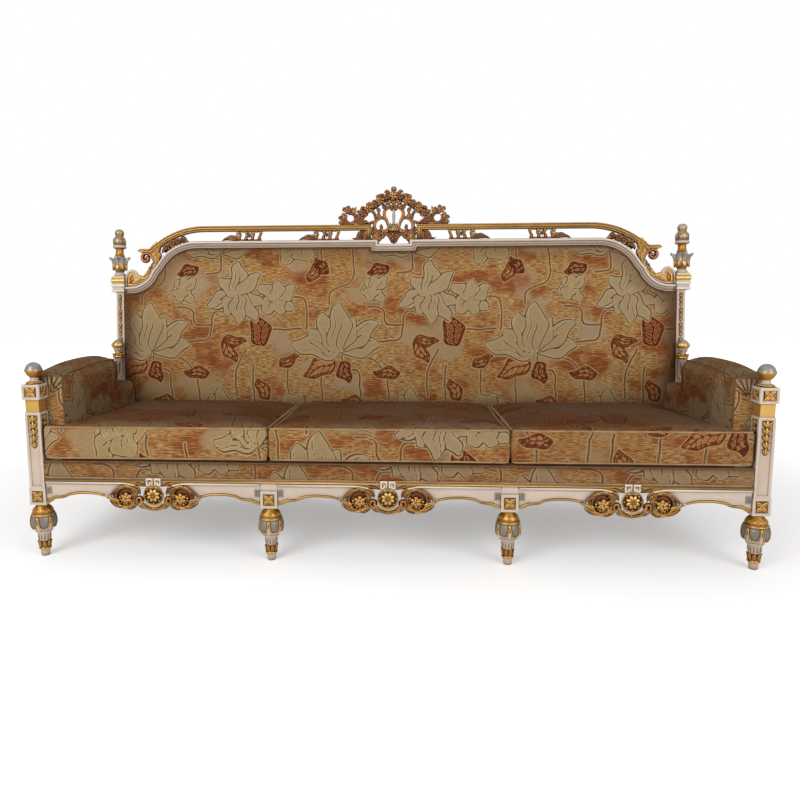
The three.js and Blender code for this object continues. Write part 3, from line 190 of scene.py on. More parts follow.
class Graph:
    """Adds nodes to one shader tree in the order in which values flow."""

    def __init__(self, tree: bpy.types.NodeTree) -> None:
        """Keeps the tree, of a material or a node group."""
        self.tree = tree

    @classmethod
    def on_new(cls, name: str) -> tuple[bpy.types.Material, Graph, bpy.types.Node]:
        """Returns a new material, a graph on it and its shader.

        Args:
            name: The material's name.
        """
        made = bpy.data.materials.new(name)
        made.use_nodes = True
        return made, cls(made.node_tree), made.node_tree.nodes["Principled BSDF"]

    def add(self, kind: str, **settings: object) -> bpy.types.Node:
        """Adds a node and sets its properties.

        Args:
            kind: The node's type name, without ShaderNode.
            **settings: Properties of the node.

        Returns:
            The new node.
        """
        node = self.tree.nodes.new(kind if kind.startswith("Node") else "ShaderNode" + kind)
        for name, value in settings.items():
            setattr(node, name, value)
        return node

    def feed(self, node: bpy.types.Node, **values: object) -> None:
        """Links a node's inputs to sockets, or sets their plain values.

        Args:
            node: The node.
            **values: A value for each input, its name's spaces written as underscores, or an
                underscore and its number.
        """
        for name, value in values.items():
            key = int(name[1:]) if name[0] == "_" else name.replace("_", " ")
            socket = node.inputs[key]
            if isinstance(value, Socket):
                self.tree.links.new(value, socket)
            elif isinstance(value, tuple) and len(value) == 3 and socket.type == "RGBA":
                socket.default_value = (*value, 1.0)
            else:
                socket.default_value = value

    def math(self, operation: str, first: object, second: object = 0.0) -> Socket:
        """Returns the result of a math node, by Blender's name of the operation.

        Args:
            operation: The operation.
            first: Its first value.
            second: Its second value.
        """
        node = self.add("Math", operation=operation)
        self.feed(node, _0=first, _1=second)
        return node.outputs[0]

    def times(self, first: object, second: object) -> Socket:
        """Returns the product of two values."""
        return self.math("MULTIPLY", first, second)

    def plus(self, first: object, second: object) -> Socket:
        """Returns the sum of two values."""
        return self.math("ADD", first, second)

    def span(self, value: object, low: float, high: float, start: float = 0.0,
             end: float = 1.0) -> Socket:
        """Maps a value smoothly from one range to another.

        Args:
            value: The value.
            low: Where the result starts to change.
            high: Where the change is complete.
            start: Result at low.
            end: Result at high.

        Returns:
            The mapped value.
        """
        node = self.add("MapRange", interpolation_type="SMOOTHSTEP")
        self.feed(node, _0=value, _1=low, _2=high, _3=start, _4=end)
        return node.outputs[0]

    def mix(self, share: object, first: object, second: object, blend: str = "MIX") -> Socket:
        """Mixes two colours.

        Args:
            share: How much of the second colour, 0 to 1.
            first: First colour.
            second: Second colour.
            blend: Blender's name of the way to mix.

        Returns:
            The mixed colour.
        """
        node = self.add("Mix", data_type="RGBA", blend_type=blend)
        self.feed(node, _0=share, _6=first, _7=second)
        return node.outputs[2]

    def layers(self, ground: object, *rows: tuple) -> Socket:
        """Lays colours over a ground.

        Args:
            ground: The ground's colour.
            *rows: A value, the low, high, start and end of its span, and the colour.

        Returns:
            The colour with every layer on it.
        """
        for *mask, colour in rows:
            ground = self.mix(self.span(*mask), ground, colour)
        return ground

    def noise(self, place: Socket, scale: float, stretch: tuple = (1, 1, 1),
              detail: float = 3.0, roughness: float = 0.5) -> Socket:
        """Adds a noise texture.

        Args:
            place: Coordinates.
            scale: Spots per metre.
            stretch: Scale along each axis before the noise.
            detail: Octaves.
            roughness: Weight of the finer octaves.

        Returns:
            The noise, 0 to 1.
        """
        mapping = self.add("Mapping")
        self.feed(mapping, Vector=place, Scale=stretch)
        node = self.add("TexNoise")
        self.feed(node, Vector=mapping.outputs[0], Scale=scale, Detail=detail, Roughness=roughness)
        return node.outputs[0]

    def thread(self, way: Socket, turns: object) -> Socket:
        """Returns the rounded height of threads that lie side by side."""
        return self.math("ABSOLUTE", self.math("SINE", self.times(way, turns)))

    def parts(self, place: Socket) -> bpy.types.NodeOutputs:
        """Returns the x, y and z of a place.

        Args:
            place: The place.
        """
        node = self.add("SeparateXYZ")
        self.feed(node, _0=place)
        return node.outputs

    def attribute(self, name: str) -> Socket:
        """Reads a number that a piece carries on its points."""
        return self.add("Attribute", attribute_name=name).outputs["Fac"]

    def place(self) -> Socket:
        """Returns the place on the object, in metres."""
        return self.add("TexCoord").outputs["Object"]

    def bump(self, height: object, strength: float, distance: float) -> Socket:
        """Returns the normal of a height, with its strength and the height of 1 in metres.

        Args:
            height: The height.
            strength: How strongly it shows.
            distance: The height of 1, in metres.
        """
        node = self.add("Bump")
        self.feed(node, Strength=strength, Distance=distance, Height=height)
        return node.outputs[0]


def shader_group(name: str, inputs: dict[str, object],
                 outputs: Sequence[str]) -> tuple[bpy.types.NodeTree, Graph, dict, bpy.types.Node]:
    """Starts a node group with named sockets.

    Args:
        name: The group's name.
        inputs: Socket name to its starting value: a colour or a number.
        outputs: Socket names: Colour is a colour and the rest are numbers.

    Returns:
        The group, a graph on it, its inputs as sockets and its output node.
    """
    tree = bpy.data.node_groups.new(name, "ShaderNodeTree")
    for label, start in inputs.items():
        tint = isinstance(start, tuple)
        socket = tree.interface.new_socket(
            label, in_out="INPUT", socket_type="NodeSocketColor" if tint else "NodeSocketFloat")
        socket.default_value = (*start, 1.0) if tint else start
    for label in outputs:
        tree.interface.new_socket(
            label, in_out="OUTPUT",
            socket_type="NodeSocketColor" if label == "Colour" else "NodeSocketFloat")
    graph = Graph(tree)
    entry = graph.add("NodeGroupInput")
    return tree, graph, dict(entry.outputs.items()), graph.add("NodeGroupOutput")


class Effects:
    """The shader groups that several finishes share."""

    _made: ClassVar[dict[str, bpy.types.NodeTree]] = {}

    @classmethod
    def place(cls, graph: Graph, name: str, **values: object) -> dict:
        """Places a shared group in a material.

        Args:
            graph: The material's graph.
            name: Name of the method that builds the group.
            **values: Values for the group's inputs, with spaces written as underscores.

        Returns:
            The group node's outputs by name.
        """
        if name not in cls._made:
            cls._made[name] = getattr(cls, name)()
        node = graph.add("Group", node_tree=cls._made[name])
        graph.feed(node, **values)
        return dict(node.outputs.items())

    @staticmethod
    def age_and_painted_light() -> bpy.types.NodeTree:
        """Builds the group for age and painted light: dirt and painted shade in hollows, rubbed wear
        and painted highlights on high places, and a cloudy tone.

        Returns:
            The group.
        """
        tree, g, inward, out = shader_group(
            "age_and_painted_light", {"Colour": (0.8, 0.8, 0.8), "Dirt": (0.1, 0.05, 0.02),
                       "Rubbed": (1.0, 0.9, 0.8), "Depth": 0.012, "Dirt amount": 0.8,
                       "Rub amount": 0.5}, ("Colour", "Hollow", "Cloud"))
        place = g.place()
        cloud = g.noise(place, 14.0, detail=4.0, roughness=0.6)
        speck = g.noise(place, 220.0, detail=2.0)
        # Painted shade, with dirt: ambient occlusion darkens the hollows.
        occlusion = g.add("AmbientOcclusion", samples=6)
        g.feed(occlusion, Distance=inward["Depth"])
        hollow = g.span(occlusion.outputs["AO"], 0.35, 0.95, 1.0, 0.0)
        hollow = g.times(hollow, g.span(speck, 0.15, 0.6, 0.75, 1.0))
        # Painted highlight, with wear: the sharpest high places take the lighter rubbed colour.
        pointed = g.add("NewGeometry").outputs["Pointiness"]
        high = g.times(g.span(pointed, 0.505, 0.58), inward["Rub amount"])
        tone = g.mix(g.span(cloud, 0.35, 0.7, 0.0, 0.22), inward["Colour"], inward["Rubbed"])
        rubbed = g.mix(high, tone, inward["Rubbed"])
        grimed_and_shaded = g.mix(g.times(hollow, inward["Dirt amount"]), rubbed, inward["Dirt"])
        g.feed(out, Colour=grimed_and_shaded, Hollow=hollow, Cloud=cloud)
        return tree

    @staticmethod
    def weave() -> bpy.types.NodeTree:
        """Builds the group for woven cloth: crossing threads with slubs, on the piece's own UV map.

        Returns:
            The group.
        """
        tree, g, inward, out = shader_group("weave", {"Threads per metre": 900.0},
                                            ("Height", "Slub"))
        place = g.add("UVMap").outputs[0]
        turns = g.times(inward["Threads per metre"], math.pi)
        warp, weft = (g.thread(way, turns) for way in g.parts(place)[:2])
        slub = g.noise(place, 26.0, stretch=(1.0, 9.0, 1.0), detail=5.0, roughness=0.65)
        g.feed(out, Height=g.plus(g.times(warp, weft), slub), Slub=slub)
        return tree


@dataclass(frozen=True)
class Finish:
    """One painted, gilded or plain surface."""

    name: str
    colour: Colour
    # Colour of the hollows: dirt, with painted shade.
    dirt: Colour
    # Colour of the high places: rubbed wear, with painted highlights.
    rubbed: Colour
    metallic: float = 0.0
    roughness: float = 0.45
    depth: float = 0.012
    dirt_amount: float = 0.8
    rub_amount: float = 0.5
    relief: float = 0.0004
    coat: float = 0.0

    def build(self) -> bpy.types.Material:
        """Returns the material, with the shared group of age and painted light on it."""
        made, g, shader = Graph.on_new(self.name)
        aged = Effects.place(
            g, "age_and_painted_light", Colour=self.colour, Dirt=self.dirt, Rubbed=self.rubbed,
            Depth=self.depth, Dirt_amount=self.dirt_amount, Rub_amount=self.rub_amount)
        rough = g.span(aged["Cloud"], 0.3, 0.75, self.roughness - 0.06, self.roughness + 0.1)
        rough = g.plus(rough, g.times(aged["Hollow"], 0.25))
        grain = g.noise(g.place(), 160.0, detail=4.0)
        g.feed(shader, Base_Color=aged["Colour"], Metallic=self.metallic, Coat_Weight=self.coat,
               Roughness=rough, Normal=g.bump(grain, 0.5, self.relief))
        return made


class Palette(Enum):
    """The finishes of the carved frame: colour, the colour of dirt and painted shade in hollows, the
    colour of rubbed wear and painted highlights on high places, and how it shines and ages.
    """

    CREAM = Finish("aged_cream_paint", srgb(190, 169, 150), srgb(104, 74, 50), srgb(222, 208, 192),
                   0.0, 0.42, 0.016, 0.75, 0.35, coat=0.15)
    WHITE = Finish("white_fillet", srgb(208, 194, 178), srgb(122, 92, 66), srgb(232, 222, 208),
                   0.0, 0.4, 0.012, 0.6, 0.3, coat=0.15)
    GOLD = Finish("gold_leaf", srgb(166, 116, 42), srgb(56, 30, 10), srgb(226, 186, 108),
                  0.78, 0.36, 0.014, 0.9, 0.7)
    ANTIQUE = Finish("antique_gilding", srgb(140, 84, 33), srgb(34, 14, 5), srgb(218, 164, 88),
                     0.78, 0.34, 0.024, 1.0, 0.5)
    OCHRE = Finish("ochre_gilding", srgb(140, 96, 38), srgb(48, 28, 12), srgb(204, 160, 88),
                   0.66, 0.36, 0.02, 1.0, 0.5)
    # Painted shade: a darker copy of the silver leaf, for the bulbs of the legs and the squares on the
    # aprons, which lie in shade.
    SILVER_PAINTED_SHADE = Finish("silver_leaf_painted_shade", srgb(124, 116, 106), srgb(60, 50, 38), srgb(188, 180, 168),
                    0.36, 0.36, 0.012, 0.8, 0.4)
    # Painted shade: a dark brown laid in grooves, flutes and the necks between turned parts, where
    # shade falls.
    GROOVE_SHADE = Finish("painted_groove_shade", srgb(112, 82, 60), srgb(52, 34, 22), srgb(150, 118, 92),
                   0.0, 0.55, 0.012, 0.7, 0.2)
    RECESS = Finish("copper_recess", srgb(92, 44, 20), srgb(34, 14, 6), srgb(150, 84, 44),
                    0.55, 0.45, 0.02, 0.9, 0.6)
    BRONZE = Finish("bronzed_gilding", srgb(88, 46, 23), srgb(20, 8, 4), srgb(198, 140, 94),
                    0.74, 0.33, 0.026, 1.0, 0.4)
    SILVER = Finish("silver_leaf", srgb(134, 131, 121), srgb(78, 66, 52), srgb(206, 204, 196),
                    0.4, 0.38, 0.012, 0.8, 0.4)
    TIMBER = Finish("plain_timber", srgb(168, 134, 90), srgb(90, 62, 36), srgb(196, 166, 122),
                    0.0, 0.7, 0.012, 0.5, 0.2)


# Short names of the finishes, for the tables of points below
C, W, G, B, S = Palette.CREAM, Palette.WHITE, Palette.GOLD, Palette.BRONZE, Palette.SILVER
A, R, U = Palette.ANTIQUE, Palette.RECESS, Palette.GROOVE_SHADE
O, P = Palette.OCHRE, Palette.SILVER_PAINTED_SHADE
BARE = Palette.TIMBER
Profile = Sequence[tuple[float, float, Palette]]


class Paintbox:
    """Builds each finish once and hands it out."""

    def __init__(self) -> None:
        """Starts with no finish built."""
        self._built: dict[str, bpy.types.Material] = {}

    def get(self, finish: Palette) -> bpy.types.Material:
        """Returns the material of a finish, building it the first time.

        Args:
            finish: The finish.
        """
        if finish.name not in self._built:
            self._built[finish.name] = finish.value.build()
        return self._built[finish.name]


# The furnishing fabric


@dataclass(frozen=True)
class Blade:
    """One petal or leaf of the woven repeat, in metres and degrees."""

    x: float
    y: float
    turn: float
    length: float
    width: float
    tone: float = 0.5


def fan(x: float, y: float, turns: Iterable[float], length: float, width: float,
        tone: float) -> list[Blade]:
    """Lays petals out from one point.

    Args:
        x: Place across the repeat.
        y: Place up the repeat.
        turns: Direction of each petal in degrees, the lowest layer first.
        length: Length of the longest petal.
        width: Width of the widest petal.
        tone: 0 for grey petals to 1 for olive ones.

    Returns:
        The petals.
    """
    return [Blade(x, y, turn, length * (1.0 - 0.13 * (index % 3)),
                  width * (1.1 - 0.12 * (index % 2)), tone) for index, turn in enumerate(turns)]


@dataclass
class Repeat:
    """A generic floral repeat: fanned blossoms and veined leaves on stems with rounded corners.

    Every place is worked out as a distance to the nearest outline, so that the shader can draw
    crisp edges on a much coarser mesh.
    """

    width: float = 0.82
    height: float = 0.74
    corner: float = 0.035
    pitch: float = 0.024
    blossoms: list[Blade] = field(default_factory=lambda: [
        *fan(0.29, 0.335, (172, 8, 146, 36, 116, 64, 90), 0.205, 0.088, 0.4),
        *fan(0.675, 0.575, (-158, -24, -126, -56, -90, 140, 90, 42), 0.142, 0.066, 0.1),
        *fan(0.115, 0.055, (14, 84, 156, 228, 300, 50, 120), 0.112, 0.086, 0.9),
        *fan(0.60, 0.02, (176, 6, 146, 36, 112, 70, 91), 0.155, 0.066, 0.75),
        *fan(0.03, 0.56, (-138, -42, -90, 150, 30, 90), 0.098, 0.062, 0.25),
        *fan(0.44, 0.60, (-60, 200, 130, 40, -120, 88), 0.07, 0.052, 0.6),
    ])
    leaves: list[Blade] = field(default_factory=lambda: [Blade(*row) for row in (
        (0.27, 0.292, 208, 0.15, 0.078, 0.2), (0.295, 0.285, -66, 0.10, 0.06, 0.7),
        (0.03, 0.27, 26, 0.095, 0.044, 0.1), (0.55, 0.235, 176, 0.115, 0.05, 0.5),
        (0.79, 0.35, 106, 0.145, 0.088, 0.9), (0.40, 0.10, 168, 0.105, 0.05, 0.3),
        (0.61, 0.375, -58, 0.105, 0.056, 0.2), (0.61, 0.38, -4, 0.105, 0.044, 0.1),
        (0.50, 0.69, 196, 0.10, 0.05, 0.8), (0.80, 0.12, 114, 0.10, 0.056, 0.4),
        (0.16, 0.62, 64, 0.10, 0.046, 0.15), (0.24, 0.66, 128, 0.085, 0.044, 0.85),
    )])
    stems: list[list[Point]] = field(default_factory=lambda: [pairs(*row) for row in (
        (0.30, 0.34, 0.30, 0.25, 0.215, 0.25, 0.215, -0.02),
        (0.31, 0.315, 0.44, 0.30, 0.50, 0.22, 0.50, 0.10), (-0.02, 0.425, 0.13, 0.425),
        (0.43, 0.375, 0.56, 0.375, 0.56, 0.50, 0.64, 0.50),
        (0.35, 0.76, 0.35, 0.62, 0.25, 0.59, 0.25, 0.53), (0.74, 0.53, 0.74, 0.425, 0.84, 0.425),
        (0.31, 0.25, 0.38, 0.25, 0.38, 0.11), (0.07, 0.27, 0.07, 0.15),
        (0.71, 0.34, 0.665, 0.27, 0.665, 0.14), (0.665, 0.62, 0.665, 0.76),
        (0.15, 0.42, 0.15, 0.56, 0.06, 0.56), (0.41, 0.52, 0.48, 0.52, 0.48, 0.44, 0.56, 0.44),
        (0.74, 0.27, 0.74, 0.06), (0.53, 0.66, 0.60, 0.66, 0.60, 0.76),
    )])

    def along(self, spots: np.ndarray, x: float, y: float, ahead: Vector) -> np.ndarray:
        """Measures from the nearest copy of a point of the repeat.

        Args:
            spots: Places across and up the cloth, as two rows.
            x: The point's place across the repeat.
            y: The point's place up the repeat.
            ahead: A direction.

        Returns:
            Distances in that direction and to its left.
        """
        size = np.array([[self.width], [self.height]])
        dx, dy = np.mod(spots - [[x], [y]] + size / 2, size) - size / 2
        return np.stack([dx * ahead.x + dy * ahead.y, dy * ahead.x - dx * ahead.y])

    def blade(self, spots: np.ndarray, blade: Blade, veined: bool) -> tuple[np.ndarray, np.ndarray]:
        """Measures one petal or leaf.

        Args:
            spots: Places across and up the cloth, as two rows.
            blade: The petal or leaf.
            veined: Whether veins branch off the middle one, as on a leaf.

        Returns:
            How far each place is inside the outline, and how far from the nearest vein.
        """
        turn = math.radians(blade.turn)
        along, aside = self.along(spots, blade.x, blade.y, Vector((math.cos(turn), math.sin(turn))))
        aside = aside - 0.09 * blade.width * np.sin(3.0 * math.pi * along / blade.length)
        share = np.clip(along / blade.length, 0.0, 1.0)
        half = 0.5 * blade.width * np.sin(math.pi * share ** 0.78) ** (0.85 if veined else 0.58)
        inside = half - np.hypot(aside, np.maximum(np.maximum(-along, along - blade.length), 0.0))
        middle = np.abs(aside) + 0.03 * np.maximum(share - 0.8, 0.0) / 0.2
        if veined:
            slant = np.mod(along - 0.9 * np.abs(aside), self.pitch)
            vein = np.minimum(0.0006 + np.abs(inside - 0.0085),
                              0.0012 + 0.7 * np.minimum(slant, self.pitch - slant))
            return inside, np.minimum(vein, middle)
        vein = middle + 0.05 * np.maximum(share - 0.55, 0.0)
        if blade.width <= 0.07:
            return inside, vein + 0.0015 + 0.03 * np.maximum(share - 0.3, 0.0)
        fold = 0.0006 + np.abs(aside - 0.52 * half) + 0.04 * np.maximum(share - 0.84, 0.0)
        return inside, np.minimum(vein, fold + 0.05 * np.maximum(0.22 - share, 0.0))

    def rounded(self, route: Sequence[Point]) -> list[Point]:
        """Returns a stem's points with each corner cut by a short arc.

        Args:
            route: The stem's points.
        """
        made = [route[0]]
        for before, here, after in zip(route, route[1:], route[2:]):
            corner = Vector(here)
            runs = (Vector(other) - corner for other in (before, after))
            ends = [corner + run.normalized() * min(self.corner, run.length / 2) for run in runs]
            made.extend(cut_corner(ends[0], corner, ends[1]))
        return [*made, route[-1]]

    def stem(self, spots: np.ndarray) -> np.ndarray:
        """Returns the distance of each place to the nearest stem.

        Args:
            spots: Places across and up the cloth, as two rows.
        """
        nearest = np.full(spots.shape[1], 0.1)
        for points in map(self.rounded, self.stems):
            for start, end in zip(map(Vector, points), map(Vector, points[1:])):
                middle, run = (start + end) / 2, end - start
                along, aside = self.along(spots, middle.x, middle.y, run.normalized())
                over = np.maximum(np.abs(along) - run.length / 2, 0.0)
                nearest = np.minimum(nearest, np.hypot(aside, over))
        return nearest

    def measure(self, across: np.ndarray, up: np.ndarray) -> dict[str, np.ndarray]:
        """Works out the print at each place.

        Args:
            across: Places across the cloth, in metres.
            up: Places up the cloth, in metres.

        Returns:
            Inside distances of blossoms and leaves, distances to their lines and to the stems,
            and the blossoms' tone.
        """
        rise, run = math.tau * up / self.height, math.tau * across / self.width
        spots = np.stack([across + 0.003 * np.sin(4 * rise + 1.0) + 0.0011 * np.sin(13 * rise),
                          up + 0.003 * np.sin(4 * run) + 0.0011 * np.sin(12 * run + 2.0)])
        made = {"tone": np.zeros(across.shape)}
        for name, blades in (("leaf", self.leaves), ("bloom", self.blossoms)):
            inmost, line = np.full(across.shape, -0.1), np.full(across.shape, 0.1)
            for blade in blades:
                inside, vein = self.blade(spots, blade, name == "leaf")
                line = np.minimum(np.abs(inside), np.where(inside > 0, vein, line))
                inmost = np.maximum(inmost, inside)
                made["tone"] = np.where(inside > -0.012, blade.tone, made["tone"])
            made[name], made[name + "_line"] = inmost, line
        covered = np.maximum(np.maximum(made["bloom"], made["leaf"]), 0.0)
        return {**made, "stem": self.stem(spots) + 8.0 * covered}


class Cloth:
    """The furnishing fabric: the woven floral cloth, its piping and the plain cloths."""

    def __init__(self, repeat: Repeat) -> None:
        """Keeps the floral repeat and builds the cloths.

        Args:
            repeat: The floral repeat.
        """
        self.repeat = repeat
        self.jacquard = self.build_jacquard()
        self.piping = self.build_plain("piping_cord", srgb(182, 142, 100), 1400.0, 0.0004)
        # Painted shade: a darker copy of the piping cord, for cords that lie in shade.
        self.shaded_piping = self.build_plain("piping_cord_painted_shade", srgb(122, 84, 50), 1400.0, 0.0004)
        # Its dark colour is partly painted shade, for the gap under the cushions where the deck shows.
        self.liner = self.build_plain("lining_cloth", srgb(104, 82, 54), 700.0, 0.0003)
        self.webbing = self.build_plain("jute_webbing", srgb(116, 94, 66), 300.0, 0.0008)
        self.filling = self.build_plain("filling", srgb(228, 222, 204), 500.0, 0.0006)

    @staticmethod
    def build_plain(name: str, colour: Colour, threads: float, relief: float) -> bpy.types.Material:
        """Makes a plain woven cloth.

        Args:
            name: The material's name.
            colour: Its colour.
            threads: Threads per metre.
            relief: Height of the threads in metres.

        Returns:
            The material.
        """
        made, g, shader = Graph.on_new(name)
        place = g.place()
        x, y, z = g.parts(place)
        slope = g.times(z, 0.5)
        warp, weft = (g.thread(g.plus(way, slope), threads * math.pi) for way in (x, y))
        height = g.times(warp, weft)
        shade = tuple(0.62 * part for part in colour)
        tone = g.layers(colour, (g.noise(place, 18.0, detail=4.0), 0.3, 0.7, shade),
                        (height, 0.0, 0.5, 0.35, 0.0, shade))
        g.feed(shader, Base_Color=tone, Roughness=0.9, Normal=g.bump(height, 0.6, relief))
        return made

    @staticmethod
    def build_jacquard() -> bpy.types.Material:
        """Makes the floral cloth from the numbers that a piece carries on its points.

        Returns:
            The material.
        """
        made, g, shader = Graph.on_new("floral_jacquard")
        place = g.add("UVMap").outputs[0]
        weave = Effects.place(g, "weave", Threads_per_metre=950.0)
        streak = g.noise(place, 21.0, (1.0, 11.0, 1.0), 6.0, 0.7)
        fine = g.noise(place, 44.0, (1.0, 8.0, 1.0), 3.0, 0.6)
        region = g.noise(place, 5.2, (1.0, 1.7, 1.0), 3.0, 0.55)
        patch = g.noise(place, 3.1, (1.0, 1.3, 1.0), 3.0, 0.45)
        drift = g.noise(place, 1.5, detail=1.0)
        off = g.times(g.math("SUBTRACT", weave["Slub"], 0.5), 0.0035)
        stem, leaf, bloom = (g.plus(g.attribute(name), off) for name in ("stem", "leaf", "bloom"))
        leaf_line, bloom_line = g.attribute("leaf_line"), g.attribute("bloom_line")
        tone = g.attribute("tone")

        heat = g.span(region, 0.46, 0.64)
        worn = g.plus(streak, g.times(heat, 0.13))
        edge = g.plus(patch, g.times(g.math("SUBTRACT", streak, 0.5), 0.2))
        misty = g.layers(srgb(184, 164, 142), (drift, 0.4, 0.6, srgb(180, 158, 122)),
                         (fine, 0.4, 0.65, 0.0, 0.35, srgb(150, 134, 104)))
        ground = g.layers(
            srgb(204, 174, 122), (drift, 0.35, 0.65, srgb(194, 156, 102)),
            (fine, 0.46, 0.56, 0.0, 0.85, srgb(138, 86, 42)),
            (fine, 0.36, 0.44, 0.5, 0.0, srgb(226, 194, 138)))
        ground = g.mix(g.times(heat, 0.5), ground, srgb(176, 106, 54))
        ground = g.layers(
            ground, (worn, 0.53, 0.63, 0.0, 0.85, srgb(142, 74, 36)),
            (worn, 0.68, 0.78, 0.0, 0.8, srgb(104, 46, 24)), (edge, 0.53, 0.6, 0.0, 0.9, misty),
            (stem, 0.0050, 0.0090, 0.8, 0.0, srgb(212, 184, 142)),
            (stem, 0.0026, 0.0048, 0.95, 0.0, srgb(104, 76, 54)),
            (stem, 0.0008, 0.0022, 0.55, 0.0, srgb(150, 124, 106)))

        ink = g.layers(srgb(98, 42, 22), (tone, 0.35, 0.75, srgb(84, 34, 18)))
        blade = g.layers(srgb(200, 148, 92), (streak, 0.42, 0.6, srgb(170, 104, 58)),
                         (tone, 0.35, 0.75, srgb(142, 68, 36)),
                         (leaf_line, 0.0018, 0.0046, 0.9, 0.0, ink))
        pale = g.times(g.span(leaf_line, 0.0046, 0.0066, 0.6, 0.0), g.span(leaf_line, 0.0026, 0.0044))
        blade = g.mix(pale, blade, srgb(214, 170, 116))
        petal = g.layers(g.mix(tone, srgb(184, 162, 138), srgb(184, 160, 114)),
                         (bloom, 0.004, 0.03, 0.0, 0.5, srgb(170, 148, 112)),
                         (fine, 0.4, 0.65, 0.0, 0.3, srgb(196, 182, 146)))
        light = g.times(g.span(bloom_line, 0.0048, 0.0075, 0.4, 0.0),
                        g.span(bloom_line, 0.0022, 0.0042))
        petal = g.layers(g.mix(light, petal, srgb(206, 196, 164)),
                         (bloom_line, 0.0014, 0.0036, 0.9, 0.0, srgb(96, 72, 48)))
        ground = g.layers(
            ground, (leaf, -0.0085, -0.006, 0.0, 0.75, srgb(208, 168, 118)),
            (leaf, -0.0038, -0.0015, 0.0, 0.95, srgb(96, 42, 22)), (leaf, 0.0008, 0.0028, blade),
            (bloom, -0.0085, -0.0055, 0.0, 0.8, srgb(204, 190, 152)),
            (bloom, -0.0042, -0.0018, 0.0, 0.95, srgb(94, 72, 48)), (bloom, 0.0006, 0.0026, petal))

        grain = g.mix(weave["Slub"], (0.25, 0.25, 0.25), (0.75, 0.75, 0.75))
        slub = g.mix(1.0, g.mix(0.5, ground, grain, "OVERLAY"), (0.82, 0.745, 0.63), "MULTIPLY")
        # Painted shade: each point's painted shade value mixes the cloth towards this dark brown.
        painted_shade_brown = g.mix(0.86, slub, srgb(72, 36, 18))
        raised = g.plus(g.span(bloom, -0.002, 0.004), g.span(leaf, -0.002, 0.004))
        sunk = g.plus(g.span(bloom_line, 0.0, 0.003), g.span(leaf_line, 0.0, 0.003))
        height = g.plus(g.times(raised, sunk), g.span(stem, 0.001, 0.005, 1.0, 0.0))
        height = g.plus(height, g.times(weave["Height"], 0.45))
        g.feed(shader, Base_Color=g.mix(g.attribute("nap"), slub, painted_shade_brown), Roughness=0.78,
               Specular_IOR_Level=0.14, Normal=g.bump(height, 0.7, 0.0012))
        return made

    def dress(self, mesh: bpy.types.Mesh, across: np.ndarray, up: np.ndarray,
              nap: np.ndarray) -> None:
        """Lays the cloth on a mesh: its UV map, its print and its painted shade.

        Args:
            mesh: The mesh, in metres.
            across: Each point's place across the cloth.
            up: Each point's place up the cloth.
            nap: The shade painted on each point, 0 for none to 1 where the cloth looks darkest.
        """
        corners = np.empty(len(mesh.loops), dtype=np.int32)
        mesh.loops.foreach_get("vertex_index", corners)
        layer = mesh.uv_layers.new(name="UVMap")
        layer.data.foreach_set("uv", np.stack([across[corners], up[corners]], 1).ravel())
        for name, values in {**self.repeat.measure(across, up), "nap": nap}.items():
            made = mesh.attributes.new(name, "FLOAT", "POINT")
            made.data.foreach_set("value", values.astype(np.float32))
        self.cover(mesh, self.jacquard)

    @staticmethod
    def cover(mesh: bpy.types.Mesh, material: bpy.types.Material) -> None:
        """Gives a mesh one cloth, shaded smooth.

        Args:
            mesh: The mesh.
            material: The cloth.
        """
        mesh.materials.clear()
        mesh.materials.append(material)
        mesh.polygons.foreach_set("use_smooth", [True] * len(mesh.polygons))


# Drawing and turning


def meshed(shape: bmesh.types.BMesh, name: str) -> bpy.types.Mesh:
    """Turns a bmesh into a named mesh, and frees it.

    Args:
        shape: The bmesh.
        name: Its name.

    Returns:
        The mesh.
    """
    mesh = bpy.data.meshes.new(name)
    shape.to_mesh(mesh)
    shape.free()
    return mesh


def shown(name: str, data: bpy.types.ID) -> bpy.types.Object:
    """Returns a new object in the scene.

    Args:
        name: Its name.
        data: Its mesh, curve, lamp or camera.
    """
    made = bpy.data.objects.new(name, data)
    bpy.context.scene.collection.objects.link(made)
    return made


def hang(piece: bpy.types.Object, body: str,
         stands_for: Sequence[str] = ()) -> bpy.types.Object:
    """Puts a piece on its body and reports it.

    Args:
        piece: The piece.
        body: The body that it rides on.
        stands_for: The solids that it replaces.

    Returns:
        The piece.
    """
    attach(piece, body)
    if stands_for:
        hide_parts(*stands_for)
    LOG.info("%s: %d points on %s", piece.name, len(piece.data.vertices), body)
    return piece


def banded(*rows: tuple) -> list[tuple[float, float, Palette]]:
    """Returns a profile's points from rows of a finish and the numbers of its points."""
    return [(*spot, finish) for finish, *numbers in rows for spot in pairs(*numbers)]


